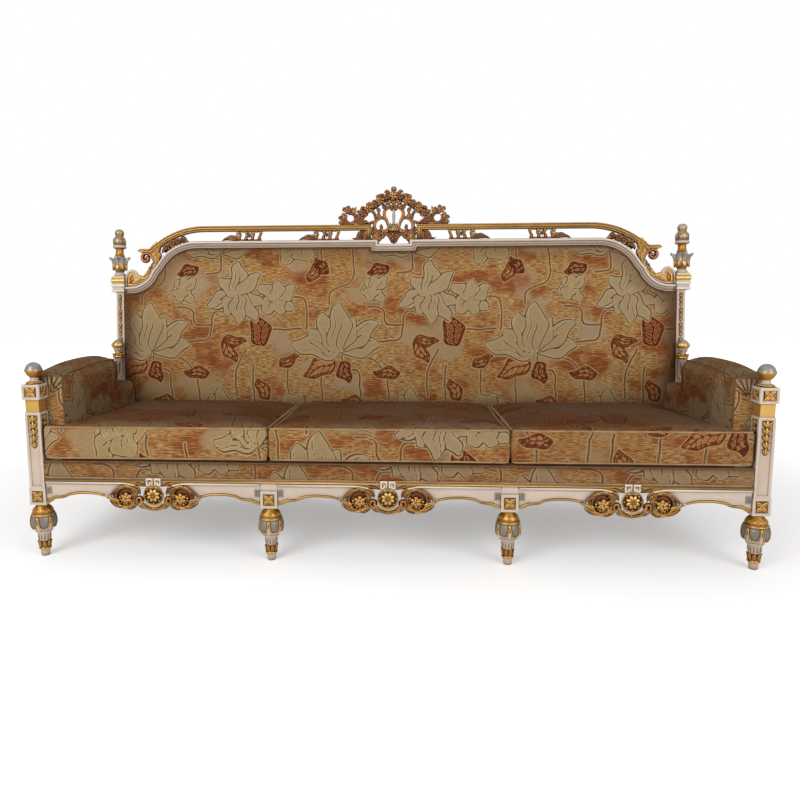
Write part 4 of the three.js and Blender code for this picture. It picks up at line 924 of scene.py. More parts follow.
class Shape:
    """A piece under the chisel: one bmesh, drawn in millimetres, with its finishes."""

    def __init__(self, paints: Paintbox) -> None:
        """Starts an empty piece whose finishes come from a paintbox.

        Args:
            paints: The finishes.
        """
        self.mesh = bmesh.new()
        self.paints = paints
        self.finishes: list[Palette] = []

    def paint(self, faces: Iterable[bmesh.types.BMFace], finish: Palette, smooth: bool = True) -> None:
        """Gives faces a finish, and shades them smooth or flat.

        Args:
            faces: The faces.
            finish: The finish.
            smooth: Whether they are shaded smooth.
        """
        if finish not in self.finishes:
            self.finishes.append(finish)
        for face in faces:
            face.material_index = self.finishes.index(finish)
            face.smooth = smooth

    def adopt(self, part: bmesh.types.BMesh) -> None:
        """Adds a part that was made on its own, and frees it.

        Args:
            part: The part.
        """
        data = meshed(part, "part")
        self.mesh.from_mesh(data)
        bpy.data.meshes.remove(data)

    def place(self, verts: Iterable[bmesh.types.BMVert], move: Matrix) -> None:
        """Moves points into place."""
        bmesh.ops.transform(self.mesh, matrix=move, verts=list(verts))

    def shift(self, x: float = 0.0, y: float = 0.0, z: float = 0.0) -> None:
        """Moves all that is drawn so far."""
        self.place(self.mesh.verts, Matrix.Translation((x, y, z)))

    def around(self, turns: Iterable[float], draw: Callable[[], None]) -> None:
        """Draws the same thing at several turns about the upright axis.

        Args:
            turns: The turns, in radians.
            draw: Draws the thing once.
        """
        for turn in turns:
            before = set(self.mesh.verts)
            draw()
            self.place([v for v in self.mesh.verts if v not in before], spun(turn))

    def soften(self, edges: Iterable[bmesh.types.BMEdge], width: float) -> set[bmesh.types.BMFace]:
        """Rounds edges over a width and returns the faces that touch them.

        Args:
            edges: The edges.
            width: Width that is rounded.

        Returns:
            The faces that touch them.
        """
        done = bmesh.ops.bevel(self.mesh, geom=list(edges), offset=width, affect="EDGES",
                               segments=2, profile=0.5, material=-1)
        return {face for v in done["verts"] for face in v.link_faces}

    def turned(self, profile: Profile, move: Matrix | None = None, steps: int = 32) -> None:
        """Turns a profile about the upright axis.

        Args:
            profile: Radius, height and finish of each point, the finish up to the next point.
            move: Where it goes.
            steps: Sides of the turned shape.
        """
        before = set(self.mesh.verts)
        points = [self.mesh.verts.new((radius, 0, height)) for radius, height, _ in profile]
        edges = [self.mesh.edges.new(pair) for pair in zip(points, points[1:])]
        bmesh.ops.spin(self.mesh, geom=points + edges, cent=(0, 0, 0), axis=(0, 0, 1),
                       angle=math.tau, steps=steps, use_merge=True)
        new = [v for v in self.mesh.verts if v not in before]
        bmesh.ops.remove_doubles(self.mesh, verts=new, dist=0.01)
        new = [v for v in self.mesh.verts if v not in before]
        faces = list({face for v in new for face in v.link_faces})
        bmesh.ops.recalc_face_normals(self.mesh, faces=faces)
        middles = [((low[1] + high[1]) / 2, low[2]) for low, high in zip(profile, profile[1:])]
        for face in faces:
            level = face.calc_center_median().z
            self.paint([face], min(middles, key=lambda band: abs(band[0] - level))[1])
        self.place(new, move or Matrix())

    def ball(self, centre: Sequence[float], size: Sequence[float], finish: Palette,
             turn: Matrix | None = None, fine: int = 2) -> None:
        """Adds a ball or an egg.

        Args:
            centre: Its middle.
            size: Its half sizes along each axis.
            finish: Its finish.
            turn: How it is turned about its middle.
            fine: Subdivisions.
        """
        part = bmesh.new()
        move = Matrix.Translation(centre) @ (turn or Matrix()) @ Matrix.Diagonal((*size, 1.0))
        bmesh.ops.create_icosphere(part, subdivisions=fine, radius=1.0, matrix=move)
        self.paint(part.faces, finish)
        self.adopt(part)

    def crown(self, count: int, size: Sequence[float], finishes: Sequence[Palette], y: float,
              z: float, lean: float = 0.0, fine: int = 2, start: float = 0.0) -> None:
        """Sets a ring of eggs round the upright axis.

        Args:
            count: Number of eggs.
            size: Their half sizes.
            finishes: Their finishes in turn.
            y: Y of the first one.
            z: Their height.
            lean: How far they lean, in radians.
            fine: Subdivisions.
            start: Share of a step that the ring is turned by.
        """
        for index in range(count):
            turn = spun(math.tau * (index + start) / count)
            self.ball((0, 0, 0), size, finishes[index % len(finishes)], turn @ set_out(y, z, lean),
                      fine)

    def block(self, low: Sequence[float], high: Sequence[float], finish: Palette,
              bevel: float = 1.5) -> set[bmesh.types.BMFace]:
        """Adds a block with softened edges.

        Args:
            low: Its lowest corner.
            high: Its highest corner.
            finish: Its finish.
            bevel: Width of the softened edges.

        Returns:
            Its faces.
        """
        made = bmesh.ops.create_cube(self.mesh, size=1.0)
        start, end = Vector(low), Vector(high)
        fit = Matrix.Translation((start + end) / 2) @ Matrix.Diagonal((*(end - start), 1.0))
        self.place(made["verts"], fit)
        faces = {face for v in made["verts"] for face in v.link_faces}
        self.paint(faces, finish, smooth=False)
        faces = self.soften({edge for face in faces for edge in face.edges}, bevel)
        self.paint(faces, finish, smooth=False)
        for face in faces:
            face.normal_update()
        return faces

    def panel(self, faces: Iterable[bmesh.types.BMFace], way: Sequence[float], border: float,
              depth: float, finish: Palette) -> None:
        """Sinks a panel into the largest flat face that looks one way.

        Args:
            faces: The faces to choose from.
            way: The way that it looks.
            border: Width of the border that stays.
            depth: How far the panel sinks.
            finish: The panel's finish.
        """
        face = max((f for f in faces if f.is_valid and f.normal.dot(Vector(way)) > 0.95),
                   key=lambda item: item.calc_area())
        for thickness, sunk in ((border, 0.0), (1.2, -depth)):
            made = bmesh.ops.inset_region(self.mesh, faces=[face], thickness=thickness,
                                          depth=sunk, use_even_offset=True)
            for side in made["faces"]:
                side.smooth = False
        self.paint([face], finish, smooth=False)

    def plate(self, outline: Sequence[Point], front: float, back: float, finish: Palette,
              bevel: float = 1.5) -> None:
        """Cuts a flat plate with softened edges.

        Args:
            outline: Its outline in x and z.
            front: Y of its front face.
            back: Y of its back face.
            finish: Its finish.
            bevel: Width of the softened front edge.
        """
        points = [self.mesh.verts.new((x, front, z)) for x, z in outline]
        face = self.mesh.faces.new(points)
        face.normal_update()
        if face.normal.y > 0:
            face.normal_flip()
        grown = bmesh.ops.extrude_face_region(self.mesh, geom=[face], use_keep_orig=True)
        rear = [item for item in grown["geom"] if isinstance(item, bmesh.types.BMVert)]
        self.place(rear, Matrix.Translation((0, back - front, 0)))
        faces = {f for v in (*points, *rear) for f in v.link_faces}
        bmesh.ops.recalc_face_normals(self.mesh, faces=list(faces))
        self.paint(faces, finish, smooth=False)
        self.paint(self.soften(face.edges, bevel), finish, smooth=False)

    def loft(self, rings: Sequence[Sequence[Sequence[float]]],
             finishes: Palette | Sequence[Palette], smooth: bool = True) -> None:
        """Extrudes a ring of points through a row of places and closes both ends.

        Args:
            rings: The places of each ring, all with as many points.
            finishes: One finish, or finishes that the side faces take in turn, ring by ring.
            smooth: Whether it is shaded smooth.
        """
        part = bmesh.new()
        made: list[bmesh.types.BMFace] = []
        start = ring = list(bmesh.ops.create_circle(part, segments=len(rings[0]), radius=1.0)["verts"])
        for vert, spot in zip(ring, rings[0]):
            vert.co = spot
        for places in rings[1:]:
            sides = list(zip(ring, ring[1:] + ring[:1]))
            grown = bmesh.ops.extrude_edge_only(part, edges=[part.edges.get(pair) for pair in sides])
            old, partner, found = set(ring), {}, {}
            for side in (item for item in grown["geom"] if isinstance(item, bmesh.types.BMFace)):
                found[frozenset(v for v in side.verts if v in old)] = side
                for edge in side.edges:
                    low, high = edge.verts
                    if (low in old) != (high in old):
                        partner[low if low in old else high] = high if low in old else low
            made.extend(found[frozenset(pair)] for pair in sides)
            ring = [partner[vert] for vert in ring]
            for vert, spot in zip(ring, places):
                vert.co = spot
        made.extend([part.faces.new(start), part.faces.new(ring)])
        each = [finishes] if isinstance(finishes, Palette) else finishes
        for index, face in enumerate(made):
            self.paint([face], each[index % len(each)], smooth)
        bmesh.ops.recalc_face_normals(part, faces=list(part.faces))
        self.adopt(part)

    def squared(self, profile: Profile) -> None:
        """Builds a square moulding from half widths, heights and finishes, from below up."""
        rings = [[(-h, -h, z), (h, -h, z), (h, h, z), (-h, h, z)] for h, z, _ in profile]
        self.loft(rings, [finish for *_, finish in profile for _ in range(4)], smooth=False)

    def swept(self, path: Sequence[Point], y: float, section: Profile) -> None:
        """Runs a moulding's section along a path that faces the front.

        Args:
            path: Points in x and z.
            y: Its depth.
            section: Points across the path, towards its left, and out towards the back, with the
                finish up to the next point.
        """
        points = [Vector(p) for p in at_depth(path, y)]
        rings = []
        for index, here in enumerate(points):
            ways = [(there - other).normalized() for other, there in
                    ((points[max(index - 1, 0)], here), (here, points[min(index + 1, len(points) - 1)]))
                    if there is not other]
            ahead = sum(ways, Vector()).normalized()
            left = Vector((-ahead.z, 0, ahead.x))
            bend = 1.0 / max(0.5, ways[0].dot(ahead))
            rings.append([here + left * across * bend + Vector((0, out, 0))
                          for across, out, _ in section])
        self.loft(rings, [finish for *_, finish in section])

    def rod(self, path: Sequence[Sequence[float]], radius: float, finish: Palette,
            tips: Point = (1.0, 1.0), flat: float = 1.0, sides: int = 8) -> None:
        """Bends a round rod along any path, thickest in the middle.

        Args:
            path: Points in x, y and z.
            radius: Its radius.
            finish: Its finish.
            tips: Shares of the radius at its start and its end.
            flat: Depth from front to back, as a share of its width.
            sides: Sides of the rod.
        """
        points = [Vector(p) for p in path]
        last = len(points) - 1
        ahead = (points[1] - points[0]).normalized()
        up = Vector((0, 1, 0)) if abs(ahead.y) < 0.9 else Vector((1, 0, 0))
        turns = [math.tau * side / sides for side in range(sides)]
        rings = []
        for index, here in enumerate(points):
            ahead = (points[min(index + 1, last)] - points[max(index - 1, 0)]).normalized()
            aside = ahead.cross(up).normalized()
            up = aside.cross(ahead).normalized()
            share = index / last
            swell = math.sin(math.pi * share) ** 0.5 if 0 < share < 1 else 0.0
            thick = radius * (tips[0] + (tips[1] - tips[0]) * share)
            thick += (radius - thick) * swell
            rings.append([here + aside * thick * math.cos(a) + up * thick * flat * math.sin(a)
                          for a in turns])
        self.loft(rings, finish)

    def bent(self, rows: Iterable[tuple], y: float, tips: Point = (1.0, 1.0), flat: float = 1.0,
             sign: float = 1.0, steps: int = 4) -> None:
        """Bends rods through smooth curves.

        Args:
            rows: For each rod the x and z of each point, in turn, then its radius and finish.
            y: Their depth.
            tips: Shares of the radius at their start and their end.
            flat: Depth from front to back, as a share of their width.
            sign: -1 to mirror them.
            steps: Steps from each point to the next.
        """
        for *numbers, radius, finish in rows:
            curve = eased(turned_over(pairs(*numbers), sign), steps)
            self.rod(at_depth(curve, y), radius, finish, tips, flat)

    def leaf(self, spine: Sequence[Point], y: float, width: float, finish: Palette,
             thick: float = 5.0, lobes: float = 3.0, curl: float = 0.0) -> None:
        """Carves an acanthus leaf with a grooved rib and a lobed rim.

        Args:
            spine: Points along its rib in x and z, from root to tip.
            y: Depth of its middle.
            width: Its width.
            finish: Its finish.
            thick: Half of its thickness.
            lobes: Lobes along each side.
            curl: How far its tip stands out towards the front.
        """
        places = eased(spine, 12 // len(spine) + 2)
        last = len(places) - 1
        section = pairs(-1, 0.1, -0.6, -0.75, -0.22, -1, 0, -0.55, 0.22, -1, 0.6, -0.75, 1, 0.1, 0, 0.8)
        rings = []
        for index, (x, z) in enumerate(places):
            share = index / last
            x0, z0 = places[max(index - 1, 0)]
            x1, z1 = places[min(index + 1, last)]
            ahead = Vector((x1 - x0, z1 - z0)).normalized()
            lobe = 0.78 + 0.22 * abs(math.sin(math.pi * lobes * share))
            half = width / 2 * math.sin(math.pi * (0.12 + 0.86 * share) ** 0.75) * lobe
            deep = thick * (0.35 + 0.65 * math.sin(math.pi * (0.1 + 0.85 * share)))
            out = y - curl * share ** 2
            rings.append([(x - ahead.y * half * a, out + deep * b, z + ahead.x * half * a)
                          for a, b in section])
        self.loft(rings, finish)

    def leaves(self, rows: Iterable[tuple], y: float, thick: float = 5.0, lobes: float = 3.0,
               curl: float = 0.0, sign: float = 1.0) -> None:
        """Carves leaves.

        Args:
            rows: For each leaf the x and z of each point of its rib, then its width and finish.
            y: Depth of their middle.
            thick: Half of their thickness.
            lobes: Lobes along each side.
            curl: How far their tips stand out towards the front.
            sign: -1 to mirror them.
        """
        for *numbers, width, finish in rows:
            self.leaf(turned_over(pairs(*numbers), sign), y, width, finish, thick, lobes, curl)

    def flower(self, centre: Sequence[float], radius: float, finish: Palette, petals: int = 6,
               rise: float = 8.0, heart: Palette | None = None) -> None:
        """Carves a flower that faces the front, with cupped petals round a heart.

        Args:
            centre: Its middle, on the face that it stands on.
            radius: Its radius.
            finish: Its finish.
            petals: Number of petals.
            rise: How far it stands out.
            heart: Finish of its heart.
        """
        x, y, z = centre
        wide = min(0.4, math.sin(math.pi / petals) * 0.7) * radius
        for petal in range(petals):
            turn = math.tau * (petal + 0.5) / petals
            spot = (x + 0.62 * radius * math.cos(turn), y - rise * 0.35,
                    z + 0.62 * radius * math.sin(turn))
            self.ball(spot, (0.4 * radius, rise * 0.5, wide), finish,
                      Matrix.Rotation(-turn, 4, "Y") @ spun(math.radians(14)))
        self.ball((x, y - rise * 0.55, z), (0.27 * radius, rise * 0.5, 0.27 * radius), heart or finish)

    def rose(self, centre: Sequence[float], radius: float, finish: Palette, rise: float = 11.0,
             heart: Palette | None = None) -> None:
        """Carves a full rose in two layers of petals, like a flower.

        Args:
            centre: Its middle, on the face that it stands on.
            radius: Its radius.
            finish: Its finish.
            rise: How far it stands out.
            heart: Finish of its inner layer.
        """
        x, y, z = centre
        self.flower(centre, radius, finish, 5, rise * 0.75)
        self.flower((x, y - rise * 0.42, z), radius * 0.58, heart or finish, 4, rise * 0.6)

    def husks(self, y: float, top: float, bottom: float, width: float, count: int = 5) -> None:
        """Hangs a gilt drop of bellflowers down a panel.

        Args:
            y: Y of the panel's face.
            top: Height of its top.
            bottom: Height of its tip.
            width: Width of the widest flower.
            count: Number of flowers.
        """
        step = (top - bottom) / count
        for index in range(count):
            size = 1.0 - 0.42 * index / count
            z = top - step * (index + 0.5)
            half = width * size / 2
            self.ball((0, y - 0.2, z), (half * 0.9, 1.6, step * 0.62), R)
            self.ball((0, y - 2.5, z), (half * 0.3, 3.6 * size, step * 0.5), G)
            for sign in (-1, 1):
                self.leaves([(1.0, z - step * 0.35, half * 0.55, z, half, z + step * 0.42,
                              half * 0.72, G)], y - 2.0, 3.4 * size, 1.0, 1.0, sign)

    def finish(self, name: str, body: str, slot: str, stands_for: Sequence[str] = (),
               change: Matrix | None = None, mirror: bool = False) -> bpy.types.Object:
        """Turns the shape into a piece in the sofa's frame.

        Args:
            name: Its name.
            body: The body that it rides on.
            slot: The record's material slot. It is not used.
            stands_for: The solids that it replaces.
            change: From drawing millimetres to the frame.
            mirror: Whether it is turned over to the other side of the sofa.

        Returns:
            The piece.
        """
        self.place(self.mesh.verts, change or upright())
        if mirror:
            self.place(self.mesh.verts, Matrix.Diagonal((-1, 1, 1, 1)))
            bmesh.ops.reverse_faces(self.mesh, faces=list(self.mesh.faces))
        data = meshed(self.mesh, name)
        for tone in self.finishes:
            data.materials.append(self.paints.get(tone))
        return hang(shown(name, data), body, stands_for)


@dataclass
class Carved:
    """A kind of carved piece, which is drawn once and stands on both sides of the sofa."""

    paints: Paintbox

    # What each kind sets: the starts of its name and of the solid's, the end of its name, its slot,
    # whether it leans back with the back, and the side that it is drawn on.
    title = ""
    solid = ""
    ending = ""
    slot = "cream_paint"
    leans = False
    drawn_side = 0.0

    def carve(self, shape: Shape) -> None:
        """Draws the piece."""
        raise NotImplementedError

    def build(self, where: str = "", sign: float = 0.0, x: float = 0.0) -> bpy.types.Object:
        """Builds one.

        Args:
            where: Where it stands, for its name and the solid's.
            sign: -1 for the left side, 1 for the right side.
            x: How far it stands from where it is drawn.

        Returns:
            The piece.
        """
        shape = Shape(self.paints)
        self.carve(shape)
        shape.shift(x)
        change = raked() if self.leans else upright()
        return shape.finish(self.title + where + self.ending, "frame", self.slot,
                            (self.solid + where,), change, sign * self.drawn_side < 0)


# Upholstery


def points_of(mesh: bpy.types.Mesh) -> np.ndarray:
    """Returns a mesh's points as rows of x, y and z.

    Args:
        mesh: The mesh.
    """
    places = np.empty(len(mesh.vertices) * 3, dtype=np.float64)
    mesh.vertices.foreach_get("co", places)
    return places.reshape(-1, 3)


def put_points(mesh: bpy.types.Mesh, places: np.ndarray) -> None:
    """Moves a mesh's points to new places."""
    mesh.vertices.foreach_set("co", places.astype(np.float32).ravel())
    mesh.update()


def normals_of(mesh: bpy.types.Mesh) -> np.ndarray:
    """Returns the outward direction at each point of a mesh.

    Args:
        mesh: The mesh.
    """
    ways = np.empty(len(mesh.vertices) * 3, dtype=np.float32)
    mesh.vertex_normals.foreach_get("vector", ways)
    return ways.reshape(-1, 3).astype(np.float64)


def drawn(places: np.ndarray) -> np.ndarray:
    """Returns places in the frame, in metres, as columns of drawing millimetres."""
    x, y, z = (places / MM).T
    return np.stack([x, y - FRAME_Y, z])


def moved(places: np.ndarray, change: Matrix) -> np.ndarray:
    """Returns rows of places after a change."""
    return (np.concatenate([places, np.ones((len(places), 1))], 1) @ np.array(change).T)[:, :3]


def smooth_step(value: np.ndarray, low: float, high: float) -> np.ndarray:
    """Returns 0 below low, 1 above high and a smooth rise between."""
    share = np.clip((value - low) / (high - low), 0.0, 1.0)
    return share * share * (3 - 2 * share)


def rounded_rim(rim: np.ndarray, radius: float) -> np.ndarray:
    """Returns the height of a round edge, 0 to 1, at distances from a rim."""
    return np.sqrt(np.clip(1 - (1 - np.clip(rim / radius, 0, 1)) ** 2, 0, 1))


def groove(value: np.ndarray, place: float, width: float) -> np.ndarray:
    """Returns 1 on the line of a seam and less beside it."""
    return np.exp(-((value - place) / width) ** 2)


def applied(piece: bpy.types.Object) -> None:
    """Bakes a piece's modifiers into its mesh.

    Args:
        piece: The piece.
    """
    graph = bpy.context.evaluated_depsgraph_get()
    made = bpy.data.meshes.new_from_object(piece.evaluated_get(graph))
    piece.modifiers.clear()
    piece.data = made


def covered_board(name: str, columns: int, rows: int) -> tuple[bpy.types.Mesh, np.ndarray]:
    """Starts a stretched cover: a fine front and, behind it, one flat face.

    Args:
        name: The mesh's name.
        columns: Faces across the front.
        rows: Faces up the front.

    Returns:
        The mesh, and rows of how far across and up each point is, from -0.5 to 0.5, and 1 if it is
        behind. Its faces point outwards once the third is drawn as depth.
    """
    shape = bmesh.new()
    bmesh.ops.create_grid(shape, x_segments=columns, y_segments=rows, size=0.5)
    grown = bmesh.ops.extrude_edge_only(shape, edges=[e for e in shape.edges if e.is_boundary])
    rim = [item for item in grown["geom"] if isinstance(item, bmesh.types.BMVert)]
    bmesh.ops.translate(shape, verts=rim, vec=(0, 0, 1))
    bmesh.ops.contextual_create(shape, geom=[e for e in shape.edges if e.is_boundary])
    bmesh.ops.recalc_face_normals(shape, faces=shape.faces[:])
    bmesh.ops.reverse_faces(shape, faces=shape.faces[:])
    mesh = meshed(shape, name)
    return mesh, points_of(mesh)


def blown(piece: bpy.types.Object, voxel: float, pressure: float, cap: float,
          held: Callable[[np.ndarray], np.ndarray]) -> None:
    """Remeshes a closed piece and swells it as stuffed cloth.

    Args:
        piece: The piece, in metres.
        voxel: Size of the new mesh's faces.
        pressure: Pressure of the filling.
        cap: Furthest that a point may move.
        held: Gives how firmly each point is held, 0 to 1, from its place.
    """
    remesh = piece.modifiers.new("Remesh", "REMESH")
    remesh.mode, remesh.voxel_size = "VOXEL", voxel
    applied(piece)
    soften = piece.modifiers.new("Soften", "SMOOTH")
    soften.factor, soften.iterations = 0.5, 4
    applied(piece)
    start = points_of(piece.data)
    grip = piece.vertex_groups.new(name="held")
    firm = np.round(held(start), 1)
    for level in np.unique(firm[firm > 0]):
        grip.add(np.nonzero(firm == level)[0].tolist(), float(level), "REPLACE")
    cloth = piece.modifiers.new("Cloth", "CLOTH")
    settings = cloth.settings
    settings.quality = 4
    settings.use_pressure, settings.uniform_pressure_force = True, pressure
    settings.effector_weights.gravity = 0.0
    settings.vertex_group_mass = "held"
    settings.tension_stiffness = settings.compression_stiffness = 12.0
    settings.bending_stiffness = 0.6
    cloth.collision_settings.use_collision = False
    cloth.point_cache.frame_end = 20
    for frame in range(1, 21):
        bpy.context.scene.frame_set(frame)
    applied(piece)
    bpy.context.scene.frame_set(1)
    shift = points_of(piece.data) - start
    length = np.linalg.norm(shift, axis=1, keepdims=True)
    put_points(piece.data, start + shift * np.minimum(1.0, cap / np.maximum(length, 1e-9)))


def creases(places: np.ndarray, scale: float, depth: float, seed: float) -> np.ndarray:
    """Returns a soft unevenness for each point, as of stuffing under cloth.

    Args:
        places: The points.
        scale: Waves per metre.
        depth: Largest height.
        seed: Where in the noise the piece starts.
    """
    shift = Vector((seed, 2 * seed, 0))
    return np.array([noise.noise(Vector(p) * scale + shift) for p in places]) * depth


@dataclass
class PipedEdge:
    """A cloth-covered cord sewn along an edge of a cushion, pad or arm."""

    radius: float = 3.0 * MM
    # Whether it takes the darker copy of the cord, which paints shade on it.
    dark: bool = False
    lift: float = 0.3

    def sew(self, name: str, route: Sequence[Sequence[float]], under: bpy.types.Object | None,
            cloth: Cloth, body: str, closed: bool = False) -> None:
        """Lays the cord on a piece and finishes it.

        Args:
            name: The cord's name.
            route: Points near the edge, in metres.
            under: The piece that it is sewn to, or None to keep the route as it is.
            cloth: The fabrics.
            body: The body that it rides on.
            closed: Whether the cord meets itself.
        """
        spots = [Vector(p) for p in route]
        if under is not None:
            tree = BVHTree.FromObject(under, bpy.context.evaluated_depsgraph_get())
            found = [tree.find_nearest(spot) for spot in spots]
            spots = [hit[0] + hit[1] * self.radius * self.lift for hit in found]
            if closed:
                ring = [spots[-1], *spots, spots[0]]
                spots = [(a + b * 2 + c) / 4 for a, b, c in zip(ring, ring[1:], ring[2:])]
        curve = bpy.data.curves.new(name, "CURVE")
        curve.dimensions, curve.bevel_depth, curve.bevel_resolution = "3D", self.radius, 2
        line = curve.splines.new("POLY")
        line.points.add(len(spots) - 1)
        for point, spot in zip(line.points, spots):
            point.co = (*spot, 1.0)
        line.use_cyclic_u = closed
        wire = shown(name + "_line", curve)
        graph = bpy.context.evaluated_depsgraph_get()
        mesh = bpy.data.meshes.new_from_object(wire.evaluated_get(graph))
        bpy.data.objects.remove(wire)
        mesh.name = name
        cloth.cover(mesh, cloth.shaded_piping if self.dark else cloth.piping)
        hang(shown(name, mesh), body)


@dataclass
class SeatCushions:
    """The three loose cushions, with crowned tops, drawn-in borders and piped edges."""

    cloth: Cloth
    bottom: float = 352.7
    top: float = 465.7
    fall: float = 28.0
    front: float = -30.0
    back: float = 610.0
    arm_inner: float = 1125.0
    ear_outer: float = 1177.0
    ear_back: float = 29.3
    cover: float = 3.8
    lift: float = 7.0
    corner: float = 16.0
    pitch: float = 12.0

    def plane(self, y: np.ndarray | float) -> np.ndarray | float:
        """Returns the height of the top seam, in millimetres, at a depth."""
        return self.top - self.fall * (y - self.front) / (self.back - self.front)

    def outline(self, seat: int, inset: float) -> list[Point]:
        """Draws the plan of a cushion's seam.

        Args:
            seat: 0 to 2 from the left.
            inset: How far inside the cushion's sides.

        Returns:
            Its points, closed, with rounded corners.
        """
        edges = (-self.arm_inner + 2, -INNER_X + 1, INNER_X + 1, self.arm_inner)
        low, high = edges[seat] + inset, edges[seat + 1] - 2 - inset
        front, back = self.front + inset, self.back - inset
        ear, heel = self.ear_outer - inset, self.ear_back - inset
        corners = [(low, front), (high, front), (high, back), (low, back)]
        if seat == 2:
            corners[1:2] = [(ear, front), (ear, heel), (high, heel)]
        if seat == 0:
            corners = [(-ear, front), *corners[1:], (low, heel), (-ear, heel)]
        made: list[Point] = []
        for index, corner in enumerate(corners):
            here, after = Vector(corner), Vector(corners[(index + 1) % len(corners)])
            runs = [other - here for other in (Vector(corners[index - 1]), after)]
            ends = [here + run.normalized() * min(self.corner, run.length / 2) for run in runs]
            made.extend(cut_corner(ends[0], here, ends[1]))
            straight = runs[1].length - 2 * self.corner
            stops = max(1, int(straight / self.pitch))
            for stop in range(1, stops):
                made.append(tuple(ends[1] + runs[1].normalized() * straight * stop / stops))
        return made

    def held(self, places: np.ndarray) -> np.ndarray:
        """Returns how firmly each point is held: at the seams, and under the cushion.

        Args:
            places: Places in the frame, in metres, as rows.
        """
        _, y, z = drawn(places)
        seam = np.minimum(np.abs(z - self.plane(y) + 4), np.abs(z - self.bottom - 5))
        near = 1.0 - smooth_step(seam, 3.0, 12.0)
        return np.maximum(near * 0.85, (z < self.bottom + 3) * 1.0)

    def build(self, seat: int, name: str, node: bpy.types.Object) -> None:
        """Builds a cushion round its core.

        Args:
            seat: 0 to 2 from the left.
            name: left, centre or right.
            node: The solid of its core, whose form the cover follows.
        """
        body = "cushion_" + name
        piece = shown(body, node.data.copy())
        piece.modifiers.new("Weld", "WELD").merge_threshold = 0.0002
        applied(piece)
        blown(piece, 0.0052, 5.0, 0.013, self.held)
        places = points_of(piece.data) + normals_of(piece.data) * self.cover * MM
        places[:, 2] = np.maximum(places[:, 2], self.bottom * MM)
        _, y, z = drawn(places)
        crown = creases(places, 7.0, 2.2 * MM, 3.0 + seat)
        places[:, 2] += crown * smooth_step(z - self.plane(y), 2.0, 10.0)
        border = smooth_step(places[:, 2] / MM, self.bottom, self.bottom + 8) * (y < 0)
        places[:, 1] += creases(places, 9.0, 1.6 * MM, 11.0 + seat) * border
        put_points(piece.data, self.overhang(places))
        self.lay_cloth(piece.data, seat)
        hang(piece, body, ("seat_cover_" + name, "seat_core_" + name))
        for label, level in (("top", 0.0), ("bottom", self.bottom + 3)):
            route = [(x * MM, (y + FRAME_Y) * MM,
                      (level or self.plane(y) - 3 + self.lift * (y < -10)) * MM)
                     for x, y in self.outline(seat, 1.0)]
            PipedEdge().sew(f"{body}_piping_{label}", route, piece, self.cloth, body, True)

    def overhang(self, places: np.ndarray) -> np.ndarray:
        """Fills out the front edge, which rises a little and laps round the posts' faces.

        Args:
            places: Places in the frame, in metres, as rows.

        Returns:
            The places after it.
        """
        x, depth, z = drawn(places)
        near = 1.0 - smooth_step(depth, -34.0, 40.0)
        high = smooth_step(z, 395.0, 462.0)
        low = 1.0 - smooth_step(z, self.bottom, self.bottom + 22.0)
        places[:, 2] += (self.lift * near * high - 3.2 * low * (depth < -14.0)) * MM
        lap = smooth_step(-depth, 28.0, 38.0) * smooth_step(np.abs(x), 1140.0, 1178.0)
        places[:, 0] += np.sign(x) * 13.0 * lap * MM
        return places

    def lay_cloth(self, mesh: bpy.types.Mesh, seat: int) -> None:
        """Lays the cloth over the top and down the front border, with painted shade.

        Args:
            mesh: The mesh.
            seat: 0 to 2 from the left.
        """
        x, y, z = points_of(mesh).T
        depth = y / MM - FRAME_Y
        # Painted shade: darkest on the flat top and towards its back, never below a floor that rises
        # from the left cushion to the right one, and darker near the bottom.
        flat = smooth_step(normals_of(mesh)[:, 2], 0.35, 0.9)
        far = smooth_step(depth, -18.0, 60.0)
        nap = np.clip(flat * (0.74 + 0.24 * far), 0.1 * (1 + seat), 0.97)
        under = smooth_step(z / MM, self.bottom, self.bottom + 14.0)
        self.cloth.dress(mesh, x + 0.21 + 0.31 * seat,
                         y + (z - self.plane(depth) * MM) + 0.47 * (1 + seat),
                         np.maximum(nap, 0.5 * (1 - under)))


